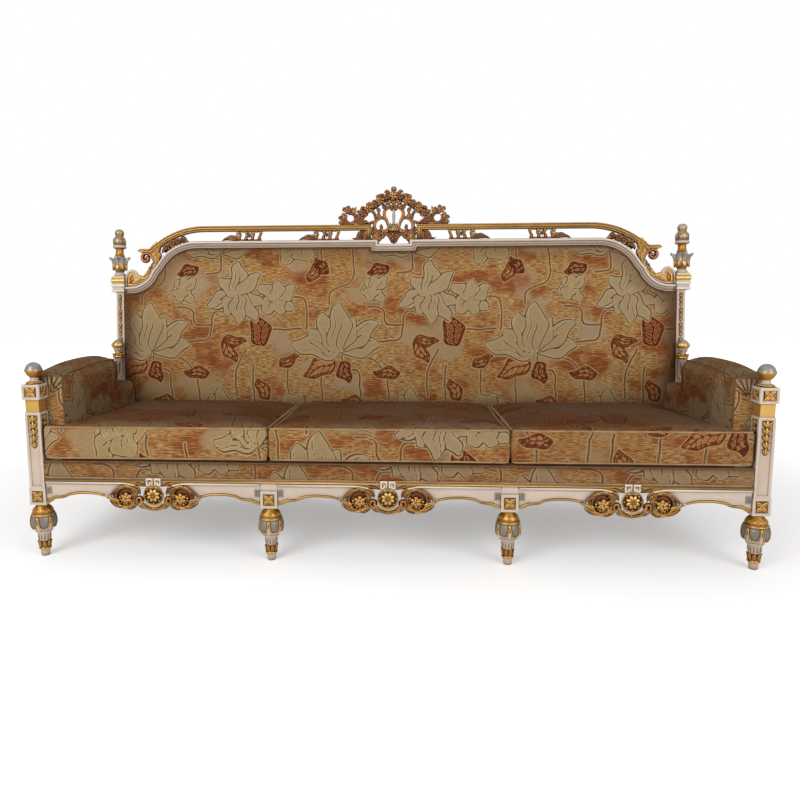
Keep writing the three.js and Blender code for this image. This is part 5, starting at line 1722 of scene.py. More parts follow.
@dataclass
class BackPad:
    """The upholstered back: one crowned pad stretched inside the moulding."""

    cloth: Cloth
    edge: float = 12.0
    crown: float = 46.0
    bottom: float = 44.0
    behind: float = 15.0
    side: float = 1178.0
    seams: float = 410.0

    @staticmethod
    def inner_curve() -> list[Point]:
        """Returns the underside of the moulding for the left half, from its outer end."""
        path = [*map(Vector, BackMoulding.path()), Vector((-104.0, BackMoulding.level))]
        offset = BackMoulding.width / 2 + 0.3
        low = BackMoulding.level - BackMoulding.drop - offset
        spots = [(-1180.0, BackMoulding.cove_level - offset), (-90.0, low), (0.0, low)]
        for index, here in enumerate(path):
            before, after = path[max(index - 1, 0)], path[min(index + 1, len(path) - 1)]
            ahead = (after - before).normalized()
            spots.append((here.x + ahead.y * offset, here.y - ahead.x * offset))
        return sorted(spots)

    def build(self) -> None:
        """Builds the pad."""
        mesh, plan = covered_board("back_upholstery", 520, 168)
        curve = self.inner_curve()
        x = plan[:, 0] * 2 * self.side
        top = np.interp(-np.abs(x), *zip(*curve))
        z = self.bottom + (plan[:, 1] + 0.5) * (top - self.bottom)
        rim = self.rim_distance(x, z, curve)
        dome = 1 - (1 - np.clip(rim / 300.0, 0, 1)) ** 2.2
        out = self.edge + self.crown * (0.42 * rounded_rim(rim, 34.0) + 0.58 * dome)
        soft = creases(np.stack([x, -out, z], 1) * MM, 4.0, 3.0, 5.0)
        out += soft * np.clip(rim / 60, 0, 1)
        for seam in (-self.seams, self.seams):
            out -= 2.2 * groove(x, seam, 3.5) * np.clip(rim / 30, 0, 1)
        y = np.where(plan[:, 2] > 0.5, self.behind, -out)
        put_points(mesh, moved(np.stack([x, y, z], 1), raked()))
        # Painted shade: darker towards the foot, towards the sides and in a band under the moulding.
        foot = 1 - smooth_step(z, 70.0, 190.0)
        wing = smooth_step(np.abs(x), 1060.0, 1180.0)
        shade = 0.9 * (1 - smooth_step(rim, 3.0, 17.0)) + 0.5 * (1 - smooth_step(rim, 10.0, 95.0))
        nap = np.clip(0.35 * foot + 0.55 * wing + shade, 0, 0.92)
        self.cloth.dress(mesh, x * MM + 0.52, z * MM + 0.02, nap)
        piece = hang(shown(mesh.name, mesh), "frame", ("back_pad",))

    def rim_distance(self, x: np.ndarray, z: np.ndarray, curve: list[Point]) -> np.ndarray:
        """Returns each place's distance to the pad's outline, in millimetres.

        Args:
            x: X of each place, in millimetres.
            z: How far up the back each place is.
            curve: The underside of the moulding.
        """
        px = -np.abs(x)
        nearest = np.minimum(px + 1180.0, z - self.bottom)
        for (x0, z0), (x1, z1) in zip(curve, curve[1:]):
            run = math.hypot(x1 - x0, z1 - z0)
            if run < 1e-6:
                continue
            ux, uz = (x1 - x0) / run, (z1 - z0) / run
            along = np.clip((px - x0) * ux + (z - z0) * uz, 0, run)
            nearest = np.minimum(nearest, np.hypot(px - x0 - along * ux, z - z0 - along * uz))
        return np.maximum(nearest, 0.0)


@dataclass
class ArmPads:
    """The padded arms: a high crowned part in front and a heel that runs on to the back."""

    cloth: Cloth
    paints: Paintbox
    inner: float = 1125.0
    outer: float = 1237.0
    front: float = 31.3
    rear: float = 629.3
    top: float = 636.0
    crown: float = 26.0
    corner: float = 17.0
    taper_length: float = 190.0
    taper: float = 74.0
    heel_top: float = 536.0
    heel_back: float = 640.0
    bottom: float = 341.6
    seam: float = 168.0
    pleats: int = 6
    fan: float = 104.0
    fan_start: float = 48.0
    fan_out: float = 48.0
    fan_down: float = 66.0

    def ring(self, y: float, inner: float, low: float, high: float) -> list[Vector]:
        """Draws the arm's outline at one depth, with rounded upper corners.

        Args:
            y: The depth.
            inner: X of its inner side.
            low: Its lower edge.
            high: Its upper edge.

        Returns:
            The points.
        """
        cuts = [(self.corner * (1 - math.cos(a)), self.corner * (1 - math.sin(a)))
                for a in (math.radians(15 * step) for step in range(7))]
        left = [(inner + aside, high - down) for aside, down in cuts]
        right = [(self.outer - aside, high - down) for aside, down in reversed(cuts)]
        return [Vector((x, y, z)) for x, z in [(inner, low), *left, *right, (self.outer, low)]]

    def inner_at(self, y: float) -> float:
        """Returns how far in the upper part reaches at a depth."""
        share = max(0.0, y - (self.rear - self.taper_length)) / self.taper_length
        return self.inner + self.taper * share

    def top_at(self, y: float) -> float:
        """Returns the height of the crowned top at a depth."""
        share = (y - self.front) / (self.rear - self.front)
        return self.top + self.crown * math.sin(math.pi * share)

    def held(self, places: np.ndarray) -> np.ndarray:
        """Returns how firmly each point is held: low down, on the outer side and round the front.

        Args:
            places: Places in the frame, in metres, as rows.
        """
        x, y, z = drawn(places)
        low = 1 - smooth_step(z, self.bottom + 4, self.bottom + 40)
        rim = 1 - smooth_step(np.abs(y - self.front), 2.0, 9.0)
        outside = smooth_step(np.abs(x), self.outer - 6, self.outer - 1) * 0.6
        return np.maximum(np.maximum(low, rim * 0.8), outside)

    def build(self) -> None:
        """Builds the right arm and turns it over for the left."""
        shape = Shape(self.paints)
        stations = (self.front + (self.rear - self.front) * step / 24 for step in range(25))
        shape.loft([self.ring(y, self.inner_at(y), self.heel_top - 30, self.top_at(y))
                    for y in stations], BARE)
        shape.loft([self.ring(y, self.inner, self.bottom, self.heel_top)
                    for y in (self.front, self.heel_back)], BARE)
        shape.place(shape.mesh.verts, upright())
        right = shown("arm_upholstery_right", meshed(shape.mesh, "arm_upholstery_right"))
        blown(right, 0.006, 4.0, 0.012, self.held)
        self.gather(right.data)
        self.lay_cloth(right.data)
        turned = right.data.copy()
        turned.transform(Matrix.Diagonal((-1, 1, 1, 1)))
        turned.flip_normals()
        turned.name = "arm_upholstery_left"
        self.trim(right, "right", 1.0)
        self.trim(shown(turned.name, turned), "left", -1.0)

    def trim(self, arm: bpy.types.Object, name: str, sign: float) -> None:
        """Hangs an arm on the frame and gives it its cords and its pleats.

        Args:
            arm: The padded arm.
            name: Its side.
            sign: -1 for the left side.
        """
        hang(arm, "frame", ("arm_pad_" + name,))
        self.pipe(arm, name, sign)
        self.pleat(arm, name, sign)

    def gather(self, mesh: bpy.types.Mesh) -> None:
        """Presses soft folds into the top of the front and the seam into the inner side.

        Args:
            mesh: The mesh.
        """
        places = points_of(mesh)
        x, y, z = drawn(places)
        turn = np.arctan2(z - (self.top - 62), x - (self.inner + 42))
        near = (1 - smooth_step(y, self.front + 4, self.front + 70)) * smooth_step(z, 560, 640)
        folds = np.sin(turn * 22 + 2 * np.sin(turn * 5)) * 1.7 * near
        line = -2.4 * groove(y, self.seam, 4.0) * (x < self.inner + 20)
        depth = (folds + line + creases(places, 6.0, 2.0, 21.0)) * MM
        put_points(mesh, places + normals_of(mesh) * depth[:, None])

    def lay_cloth(self, mesh: bpy.types.Mesh) -> None:
        """Lays the cloth along the arm, with painted shade that is darkest on the inner side.

        Args:
            mesh: The mesh.
        """
        x, y, z = points_of(mesh).T
        ways = normals_of(mesh).T
        facing = smooth_step(-ways[1], 0.4, 0.8)
        across = y * (1 - facing) + (x - 0.9) * facing + 0.93
        up = z + np.where(ways[2] > 0.5, (x - self.inner * MM) * 0.8, 0.0)
        # Painted shade: on the inner side, deeper behind the seam, and on the top.
        behind = 0.42 + 0.22 * smooth_step(y / MM - FRAME_Y, self.seam - 3, self.seam + 3)
        nap = np.maximum(smooth_step(-ways[0], 0.2, 0.7) * behind,
                         smooth_step(ways[2], 0.4, 0.8) * 0.66)
        self.cloth.dress(mesh, across, up + 0.1, np.clip(nap, 0, 0.96))

    def pleat_reach(self, angle: float) -> float:
        """Returns how far a pleat runs from the hub to the front's outline at an angle.

        Args:
            angle: The angle round the hub, in radians.
        """
        rise, side = math.sin(angle), math.cos(angle)
        room = self.fan_out if side < 0 else self.outer - self.inner - self.fan_out
        return min((self.fan_down - 5) / max(rise, 0.2), (room - 5) / max(abs(side), 0.01))

    def pleat(self, arm: bpy.types.Object, name: str, sign: float) -> None:
        """Gathers the cloth at the top of the front into a fan of closed pleats.

        Args:
            arm: The padded arm that they lie on.
            name: Its side.
            sign: -1 for the left side.
        """
        tree = BVHTree.FromObject(arm, bpy.context.evaluated_depsgraph_get())
        hub_x, hub_z, turn = self.inner + self.fan_out, self.top - self.fan_down, upright()
        width = math.radians(self.fan / self.pleats)
        sides = (-1.0, -0.66, -0.25, 0.25, 0.66, 1.0, 1.0, -1.0)
        shape = bmesh.new()
        for number in range(self.pleats):
            middle = math.radians(self.fan_start) + width * (number + 0.5)
            reach = self.pleat_reach(middle)
            rings = []
            for step in range(9):
                out = 8 + (reach - 8) * step / 8
                swell = 0.4 + 0.6 * math.sin(math.pi * min(1.0, (step + 0.4) / 8))
                ring = []
                for count, side in enumerate(sides):
                    angle = middle + side * width * 0.5
                    place, way = tree.find_nearest(turn @ Vector(
                        (sign * (hub_x + out * math.cos(angle)), self.front - 2,
                         hub_z + out * math.sin(angle))))[:2]
                    rise = 0.4 + 6 * (1 - side * side) * swell if count < 6 else -2.0
                    ring.append(shape.verts.new(place + way * (rise * MM)))
                rings.append(ring)
            for low, high in zip(rings, rings[1:]):
                for corners in zip(low, low[1:] + low[:1], high[1:] + high[:1], high):
                    shape.faces.new(corners)
            shape.faces.new(rings[0])
            shape.faces.new(rings[-1])
        bmesh.ops.recalc_face_normals(shape, faces=list(shape.faces))
        mesh = meshed(shape, f"arm_{name}_pleats")
        spots = points_of(mesh)
        # Painted shade: darker on the sides of each pleat, as in the folds.
        nap = np.minimum(0.98, 0.15 + 1.2 * np.tile(sides, self.pleats * 9) ** 2)
        self.cloth.dress(mesh, spots[:, 0] * 0.5, spots[:, 2] * 0.6, nap)
        hang(shown(mesh.name, mesh), "frame")

    def pipe(self, arm: bpy.types.Object, name: str, sign: float) -> None:
        """Sews the cords: round the front, along the top edges and down the inner seam.

        Args:
            arm: The padded arm.
            name: Its side.
            sign: -1 for the left side.
        """
        along = np.arange(self.front + 4, self.rear - 4, 12.0)
        routes = {
            "front": [(x, y - 2, z) for x, y, z in self.ring(self.front, self.inner, 470, self.top)],
            "seam": [(self.inner - 3, self.seam, z) for z in np.arange(self.top + 6, 474, -9.0)],
            "top": [(self.inner_at(y) + 3, y, self.top_at(y) - 3) for y in along],
            "outer": [(self.outer - 3, y, self.top_at(y) - 3) for y in along],
        }
        for label, route in routes.items():
            spots = [upright() @ Vector((sign * x, y, z)) for x, y, z in route]
            # The arm's cords take the darker copy of the cord: painted shade.
            PipedEdge(dark=True).sew(f"arm_{name}_piping_{label}", spots, arm, self.cloth, "frame")


@dataclass
class FrontBand:
    """The upholstered band below the cushions, with its cords."""

    cloth: Cloth
    reach: float = 1182.7
    bottom: float = 284.6
    top: float = 346.5
    back: float = -10.3
    thickness: float = 14.5

    def build(self) -> None:
        """Builds the band."""
        mesh, plan = covered_board("front_band_upholstery", 480, 14)
        x = plan[:, 0] * 2 * self.reach
        z = self.bottom + (plan[:, 1] + 0.5) * (self.top - self.bottom)
        rim = np.minimum(z - self.bottom, self.top - z)
        bulge = 4 + (self.thickness - 4) * rounded_rim(rim, 14.0)
        y = self.back - np.where(plan[:, 2] > 0.5, 0.0, bulge)
        spots = np.stack([x, y + FRAME_Y, z], 1) * MM
        spots[:, 1] += creases(spots, 12.0, 1.6 * MM, 7.0)
        put_points(mesh, spots)
        # Painted shade: darker along both edges and towards the top, under the cushions.
        nap = (0.4 + 0.3 * (1 - smooth_step(rim, 0.0, 12.0))
               + 0.3 * smooth_step(z, self.top - 26, self.top))
        self.cloth.dress(mesh, x * MM + 0.6, z * MM + 0.18, nap)
        piece = hang(shown(mesh.name, mesh), "frame", ("seat_front_band",))
        for label, level in (("low", self.bottom + 3.2), ("high", self.top - 2)):
            route = [upright() @ Vector((x, self.back - self.thickness + 3, level))
                     for x in np.linspace(-self.reach + 3, self.reach - 3, 180)]
            # The upper cord, under the cushions, takes the darker copy of the cord: painted shade.
            PipedEdge(dark=label == "high").sew("front_band_piping_" + label, route, None,
                                                self.cloth, "frame")


@dataclass
class Linings:
    """The woven webbing, the pad on it and the lining behind the back."""

    cloth: Cloth
    strap_width: float = 50.0
    strap_body: float = 1.1
    straps_across: int = 13
    straps_along: int = 4
    first_along: float = 104.0
    sway: float = 0.85
    ripple: float = 1.2
    mesh_pitch: float = 0.045

    def build(self, liner: bpy.types.Object) -> None:
        """Builds the three linings, the last from the solid of the liner.

        Args:
            liner: The solid of the back lining.
        """
        self.weave_webbing()
        self.lay_deck()
        self.stretch_lining(liner)

    def weave_webbing(self) -> None:
        """Weaves the straps over and under each other."""
        low, high = (Vector(corner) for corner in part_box("seat_webbing"))
        half = self.strap_width / 2 * MM
        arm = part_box("seat_deck")[1][0] - half
        rear = BACK_SETBACK - 14 - self.strap_width
        columns = np.linspace(-arm, arm, self.straps_across)
        rows = (np.linspace(self.first_along, rear, self.straps_along) + FRAME_Y) * MM
        shape = bmesh.new()
        for number, x in enumerate(columns):
            self.lay_strap(shape, (x - half, low.y), (x + half, high.y), 1, rows, number)
        for number, y in enumerate(rows):
            self.lay_strap(shape, (low.x, y - half), (high.x, y + half), 0, columns, number + 1)
        level = (low.z + high.z) / 2 + self.strap_body / 2 * MM
        bmesh.ops.translate(shape, verts=shape.verts, vec=(0, 0, level))
        self.hang_cloth(shape, "webbing_straps", self.strap_body * MM, "webbing", "seat_webbing")

    def hang_cloth(self, shape: bmesh.types.BMesh, name: str, thickness: float, slot: str,
                   solid: str) -> bpy.types.Object:
        """Thickens a cloth and hangs it.

        Args:
            shape: Its faces.
            name: Its name.
            thickness: Its thickness in metres, or 0 if it has one.
            slot: The record's material slot.
            solid: The solid that it replaces.

        Returns:
            The piece.
        """
        if thickness:
            bmesh.ops.solidify(shape, geom=list(shape.faces), thickness=thickness)
            bmesh.ops.recalc_face_normals(shape, faces=list(shape.faces))
        mesh = meshed(shape, name)
        self.cloth.cover(mesh, self.cloth.webbing if slot == "webbing" else self.cloth.liner)
        return hang(shown(name, mesh), "frame", (solid,))

    def lay_strap(self, shape: bmesh.types.BMesh, low: Point, high: Point, way: int,
                  crossings: np.ndarray, number: int) -> None:
        """Lays one strap that passes over and under those that cross it.

        Args:
            shape: The mesh that it is laid in.
            low: Its lowest x and y.
            high: Its highest x and y.
            way: 0 for a strap along x and 1 for one along y.
            crossings: Where the others cross it, along its way.
            number: Its number, which says whether it starts over or under.
        """
        size = (high[0] - low[0], high[1] - low[1])
        place = Matrix.Translation(((low[0] + high[0]) / 2, (low[1] + high[1]) / 2, 0))
        steps = (2, 2 + int(size[way] / 0.012))
        made = bmesh.ops.create_grid(shape, x_segments=steps[1 - way], y_segments=steps[way],
                                     size=0.5, matrix=place @ Matrix.Diagonal((*size, 1, 1)))
        for vert in made["verts"]:
            along = (vert.co[way] - crossings[0]) / (crossings[1] - crossings[0])
            vert.co.z = (-1) ** number * self.sway * MM * math.cos(math.pi * along)

    def lay_deck(self) -> None:
        """Lays the thin stitched pad between the webbing and the cushions."""
        low, high = (np.array(corner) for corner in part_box("seat_deck"))
        size, middle = high - low, (high + low) / 2
        shape = bmesh.new()
        place = Matrix.Translation((middle[0], middle[1], high[2]))
        bmesh.ops.create_grid(shape, x_segments=216, y_segments=66, size=0.5,
                              matrix=place @ Matrix.Diagonal((size[0], size[1], 1, 1)))
        piece = self.hang_cloth(shape, "deck_pad", size[2], "liner_cloth", "seat_deck")
        spots = points_of(piece.data)
        x, y, z = spots.T
        z = np.clip(z, low[2], high[2])
        rim = np.minimum.reduce([x - low[0], high[0] - x, y - low[1], high[1] - y]) / MM
        seam = np.abs((x / size[0] * 3 + 0.5) % 1 - 0.5) * size[0] / 3 / MM
        sunk = 3.5 * (1 - smooth_step(rim, 0.0, 8.0)) + 1.6 * (1 - smooth_step(seam, 1.0, 12.0))
        spots[:, 2] = z - np.where(z > middle[2], sunk, 0) * MM
        put_points(piece.data, spots)

    def stretch_lining(self, node: bpy.types.Object) -> None:
        """Stretches the lining over the back, a little uneven between its tacks.

        Args:
            node: The solid of the lining.
        """
        shape = bmesh.new()
        shape.from_mesh(node.data)
        bmesh.ops.remove_doubles(shape, verts=shape.verts, dist=1e-5)
        low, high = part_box("back_liner")
        for axis in (0, 2):
            way = Vector((axis == 0, 0, axis == 2))
            for level in np.arange(low[axis] + self.mesh_pitch, high[axis], self.mesh_pitch):
                bmesh.ops.bisect_plane(shape, geom=shape.verts[:] + shape.edges[:] + shape.faces[:],
                                       plane_co=way * level, plane_no=way)
        rear = [face for face in shape.faces if face.normal.y > 0.7]
        area = sum(face.calc_area() for face in rear)
        for vert in {vert for face in rear for vert in face.verts}:
            if all(edge.calc_face_angle(0) < 0.5 for edge in vert.link_edges):
                swell = noise.noise(vert.co * 7.0) + 0.5 * noise.noise(vert.co * 23.0)
                vert.co.y -= self.ripple * MM * min(1.0, abs(swell) * 1.6)
        piece = self.hang_cloth(shape, "back_lining", 0.0, "liner_cloth", "back_liner")


# The seat frame: legs, posts, aprons and their carvings


@dataclass
class TurnedLeg(Carved):
    """A turned front leg: a fluted taper with an acanthus collar under a bulb with silver shields."""

    title = "front_leg_"
    solid = "front_leg_"
    ending = "_turned"
    height: float = 189.7
    shield_foot: float = 106.0
    shield_top: float = 149.0
    shields: int = 6
    # Painted shade: the shields take the darker copy of the silver leaf, and the groove under the cap
    # takes the dark groove finish.
    bulb = banded(
        (C, 29, 96, 35, 101), (P, 38.8, 106, 41.4, 114, 42.2, 124, 41.6, 134, 39.6, 143),
        (G, 37.2, 148, 38.6, 150, 39, 153, 37.4, 155.5), (U, 34, 156.5), (G, 34.4, 159))

    def carve(self, shape: Shape) -> None:
        """Turns and carves the leg.

        Args:
            shape: The piece.
        """
        shape.turned([*banded(
            (C, 0, 0, 12, 0, 14.5, 3, 15, 17, 16.6, 22), (G, 17, 25, 20.4, 26.5),
            (A, 20.6, 31, 17, 33, 17.6, 54),
            (C, 19, 57, 21.4, 82, 24.6, 86, 27.8, 89.5, 28.2, 92.5, 26, 95.5)), *self.bulb, *banded(
                (G, 33.4, 165, 30, 172, 24.6, 179, 20.8, 183.5),
                (C, 21.6, 187, 24, self.height, 0, self.height))], steps=48)
        for index in range(self.shields):
            self.shield(shape, math.tau * index / self.shields)
        shape.crown(10, (6.4, 2.6, 8.0), (A,), -30.8, 168, -0.5)
        # Painted shade: dark eggs lie in the flutes of the taper.
        shape.crown(12, (1.7, 1.4, 12.5), (U,), -20.4, 70, 0.08, 1)
        shape.crown(8, (6.6, 2.8, 13.0), (A,), -19.2, 44, 0.16, 2, 0.5)
        shape.crown(8, (3.2, 3.0, 4.0), (O,), -21.6, 54, 0.0, 1, 0.5)

    def shield(self, shape: Shape, turn: float) -> None:
        """Frames one silver shield on the bulb and sets a cream wedge beside it.

        Args:
            shape: The piece.
            turn: The way that it faces, in radians.
        """
        reach = math.pi / self.shields - 0.02
        tall = self.shield_top - self.shield_foot
        radii, heights, _ = zip(*self.bulb)
        # The inner rod, in the dark groove finish, paints the shade inside the gilt frame.
        for inset, thick, finish in ((0.0, 2.3, G), (0.1, 1.3, U)):
            path = []
            for share in (step / 12 - 1 for step in range(25)):
                angle = turn + (reach - inset) * math.copysign(abs(share) ** 0.62, share)
                up = self.shield_foot + 38 * inset + (tall - 38 * inset) * abs(share) ** 2.6
                radius = float(np.interp(up, heights, radii)) + 0.6
                path.append((radius * math.cos(angle), radius * math.sin(angle), up))
            shape.rod(path, thick, finish, sides=6)
        wedge = spun(turn + reach + 0.02 + math.pi / 2) @ set_out(-36.4, 111, 0.3)
        shape.ball((0, 0, 0), (8.0, 4.6, 16.5), C, wedge)


def square_rosette(shape: Shape, y: float, z: float, half: float = 18.5) -> None:
    """Carves a flower with four corner leaves that fill a square.

    Args:
        shape: The piece.
        y: Y of the face that it stands on.
        z: Height of its middle.
        half: Half of its width.
    """
    shape.block((-half, y - 0.6, z - half), (half, y + 1.4, z + half), B, 0.5)
    shape.flower((0, y - 0.6, z), half * 0.52, G, 6, 6.0)
    for turn in map(math.radians, (45, 135, 225, 315)):
        along, aside = math.cos(turn) * half, math.sin(turn) * half
        for spots, out, width, finish, thick, lobes in (
                ((0.3, 0, 0.8, 0, 1.3, 0), 2.2, 0.95, G, 3.4, 3.0),
                ((0.4, 0.4, 0.6, 0.6, 0.66, 0.66), 1.2, 0.5, A, 2.6, 1.0)):
            spine = [(along * s - aside * t, z + aside * s + along * t) for s, t in pairs(*spots)]
            shape.leaf(spine, y - out, half * width, finish, thick, lobes)


@dataclass
class FrontPost(Carved):
    """A square front post: blocks with square rosettes, a long panel and a gold neck."""

    title = "post_front_"
    solid = "front_post_"
    lower: float = 58.0
    shaft: float = 54.0
    neck: float = 48.0
    upper: float = 62.0
    base: float = 190.0
    lower_top: float = 250.0
    shaft_top: float = 515.0
    neck_top: float = 559.0
    top: float = 611.0

    def carve(self, shape: Shape) -> None:
        """Builds the post and carves three of its faces.

        Args:
            shape: The piece.
        """
        front, flanks = ((0, -1, 0),), ((1, 0, 0), (-1, 0, 0))
        for width, low, high, finish, ways in (
                (self.lower, self.base, self.lower_top, C, front),
                (self.shaft, self.lower_top - 2, self.shaft_top, C, front + flanks),
                (self.neck, self.shaft_top - 2, self.neck_top + 2, G, ()),
                (self.upper, self.neck_top, self.top, C, front + flanks)):
            half = width / 2
            faces = shape.block((-half, -half, low), (half, half, high), finish, 1.6)
            for way in ways:
                shape.panel(faces, way, 8.0, 3.0, C)
        square_rosette(shape, -self.lower / 2 + 2.5, (self.base + self.lower_top) / 2)

        def ornament() -> None:
            """Carves the ornament of one face."""
            square_rosette(shape, -self.upper / 2 + 2.5, (self.neck_top + self.top) / 2)
            shape.husks(-self.shaft / 2 + 2.5, self.shaft_top - 10, 392, 33)

        shape.around((0.0, -math.pi / 2, math.pi / 2), ornament)


@dataclass
class BallFinial(Carved):
    """The ball on a front post: gilt below and silver above, on a stepped collar."""

    title = "ball_"
    solid = "ball_finial_"
    slot = "gilt"
    seat: float = 611.3
    radius: float = 27.4
    centre: float = 657.6

    def carve(self, shape: Shape) -> None:
        """Turns the finial.

        Args:
            shape: The piece.
        """
        profile = [(r, self.seat + z, finish) for r, z, finish in banded(
            (C, 0, 0, 22, 0), (G, 23, 2, 27, 3, 27.4, 5.5, 23, 7),
            (C, 17, 9, 14.5, 13, 13.5, 18), (G, 14, 21))]
        start = math.asin((self.seat + 22 - self.centre) / self.radius)
        for step in range(15):
            turn = start + (math.pi / 2 - start) * step / 14
            level = self.radius * math.sin(turn)
            rim = 1.8 if abs(level + 2) < 4.4 else 0.0
            profile.append((max(self.radius * math.cos(turn) + rim, 0.0), self.centre + level,
                            G if level < -3 else S))
        profile[-1] = (0.0, self.centre + self.radius, S)
        shape.turned(profile, steps=40)


@dataclass
class InnerBlock(Carved):
    """The block over an inner leg, with its square rosette."""

    title = "block_"
    solid = "inner_block_"
    half: float = 29.0
    face: float = -22.0

    def carve(self, shape: Shape) -> None:
        """Builds the block.

        Args:
            shape: The piece.
        """
        faces = shape.block((-self.half, -self.half, 190), (self.half, self.half, 250), C, 1.6)
        shape.panel(faces, (0, -1, 0), 8.0, 3.0, C)
        square_rosette(shape, -self.half + 2.5, 220)
        shape.block((-self.half, self.face, 244), (self.half, self.half, 276), C, 1.2)


@dataclass
class Apron(Carved):
    """A shaped apron board with a gilt lower edge and a white lip over its carving."""

    title = "apron_board_"
    solid = "apron_"
    offset: float = 0.0
    half: float = 374.0
    front: float = -22.0
    back: float = 0.0
    top: float = 276.0
    low: float = 199.0
    arch: float = 234.0
    opening_top: float = 256.0
    lip_level: float = 271.6

    def carve(self, shape: Shape) -> None:
        """Cuts the board, with its opening at the offset of the carving.

        Args:
            shape: The piece.
        """
        rise = self.arch - self.low
        edge = eased([(u * self.half, self.low + v * rise) for u, v in pairs(
            1, 0.09, 0.917, 0.42, 0.83, 0.56, 0.79, 0.76, 0.74, 0.89, 0.66, 0.98, 0.535, 0.93,
            0.45, 0.72)], 5)
        opening = eased(pairs(152, 225, 112, 231, 76, 232, 67, 243, 60, self.opening_top, 30,
                              self.opening_top, 18, 248, 12, 243))
        rim = [(self.half, self.top), *edge]
        shape.plate([*rim, *((self.offset + x, z) for x, z in opening),
                     *((self.offset - x, z) for x, z in reversed(opening)),
                     *turned_over(reversed(rim), -1)], self.front, self.back, C, 1.0)
        for sign in (-1, 1):
            self.trim(shape, edge, sign)
            self.lip(shape, sign)

    def trim(self, shape: Shape, edge: list[Point], sign: int) -> None:
        """Adds the gilt edge, the end leaf and the silver square of one side.

        Args:
            shape: The piece.
            edge: The board's lower edge, from its outer end.
            sign: -1 for the left side, 1 for the right side.
        """
        def along(short: float, y: float, up: float) -> list[tuple[float, float, float]]:
            """Follows the edge from short of its end, in front of it and above it."""
            return [(sign * x, self.front + y, z + up) for x, z in edge if x < self.half - short]

        shape.rod(along(5, -1.0, 1.5), 4.6, O, (1.0, 0.8), 0.9)
        shape.rod(along(34, -0.6, 8.5), 1.4, W, sides=6)
        root = self.half - 1
        shape.leaves([(root, self.low + 5, root - 18, self.low + 12, root - 36, self.low + 20,
                       root - 66, self.low + 22, 12, G)], self.front - 2.5, 4.6, 1.0, 3.0, sign)
        low, high = sorted((sign * (root - 1), sign * (root - 19)))
        # Painted shade: the square takes the darker copy of the silver leaf.
        faces = shape.block((low, self.front - 2.4, 229), (high, self.front + 2, 255), P, 1.0)
        shape.panel(faces, (0, -1, 0), 3.4, 1.4, P)

    def lip(self, shape: Shape, sign: int) -> None:
        """Adds one half of the lip, which dips over the carving and ends in a squared scroll.

        Args:
            shape: The piece.
            sign: -1 for the left side, 1 for the right side.
        """
        y, level = self.front - 3.6, self.lip_level
        section = banded((W, -3.4, -3, 1.6, -3.6, 3, -2.2, 3, 3.4, -3.4, 3.4))
        before = set(shape.mesh.verts)
        dip = eased(pairs(124, level, 98, 270.6, 72, 265, 48, 259.4, 26, 257.4))
        route = [(self.half - 2 - sign * self.offset, level), *dip,
                 *pairs(5.2, 257.4, 5.2, 287, 22.5, 287, 22.5, 265, 12.8, 265, 12.8, 277)]
        shape.swept(turned_over(route, sign), y, section)
        shape.leaves([(112, 275, 76, 273, 46, 268, 28, 264.5, 12, A)], y + 1.5, 4.0, 1.0, sign=sign)
        shape.leaves([(34, 272, 40, 276, 54, 277, 9, G)], y, 4.0, sign=sign)
        shape.place([v for v in shape.mesh.verts if v not in before],
                    Matrix.Translation((self.offset, 0, 0)))


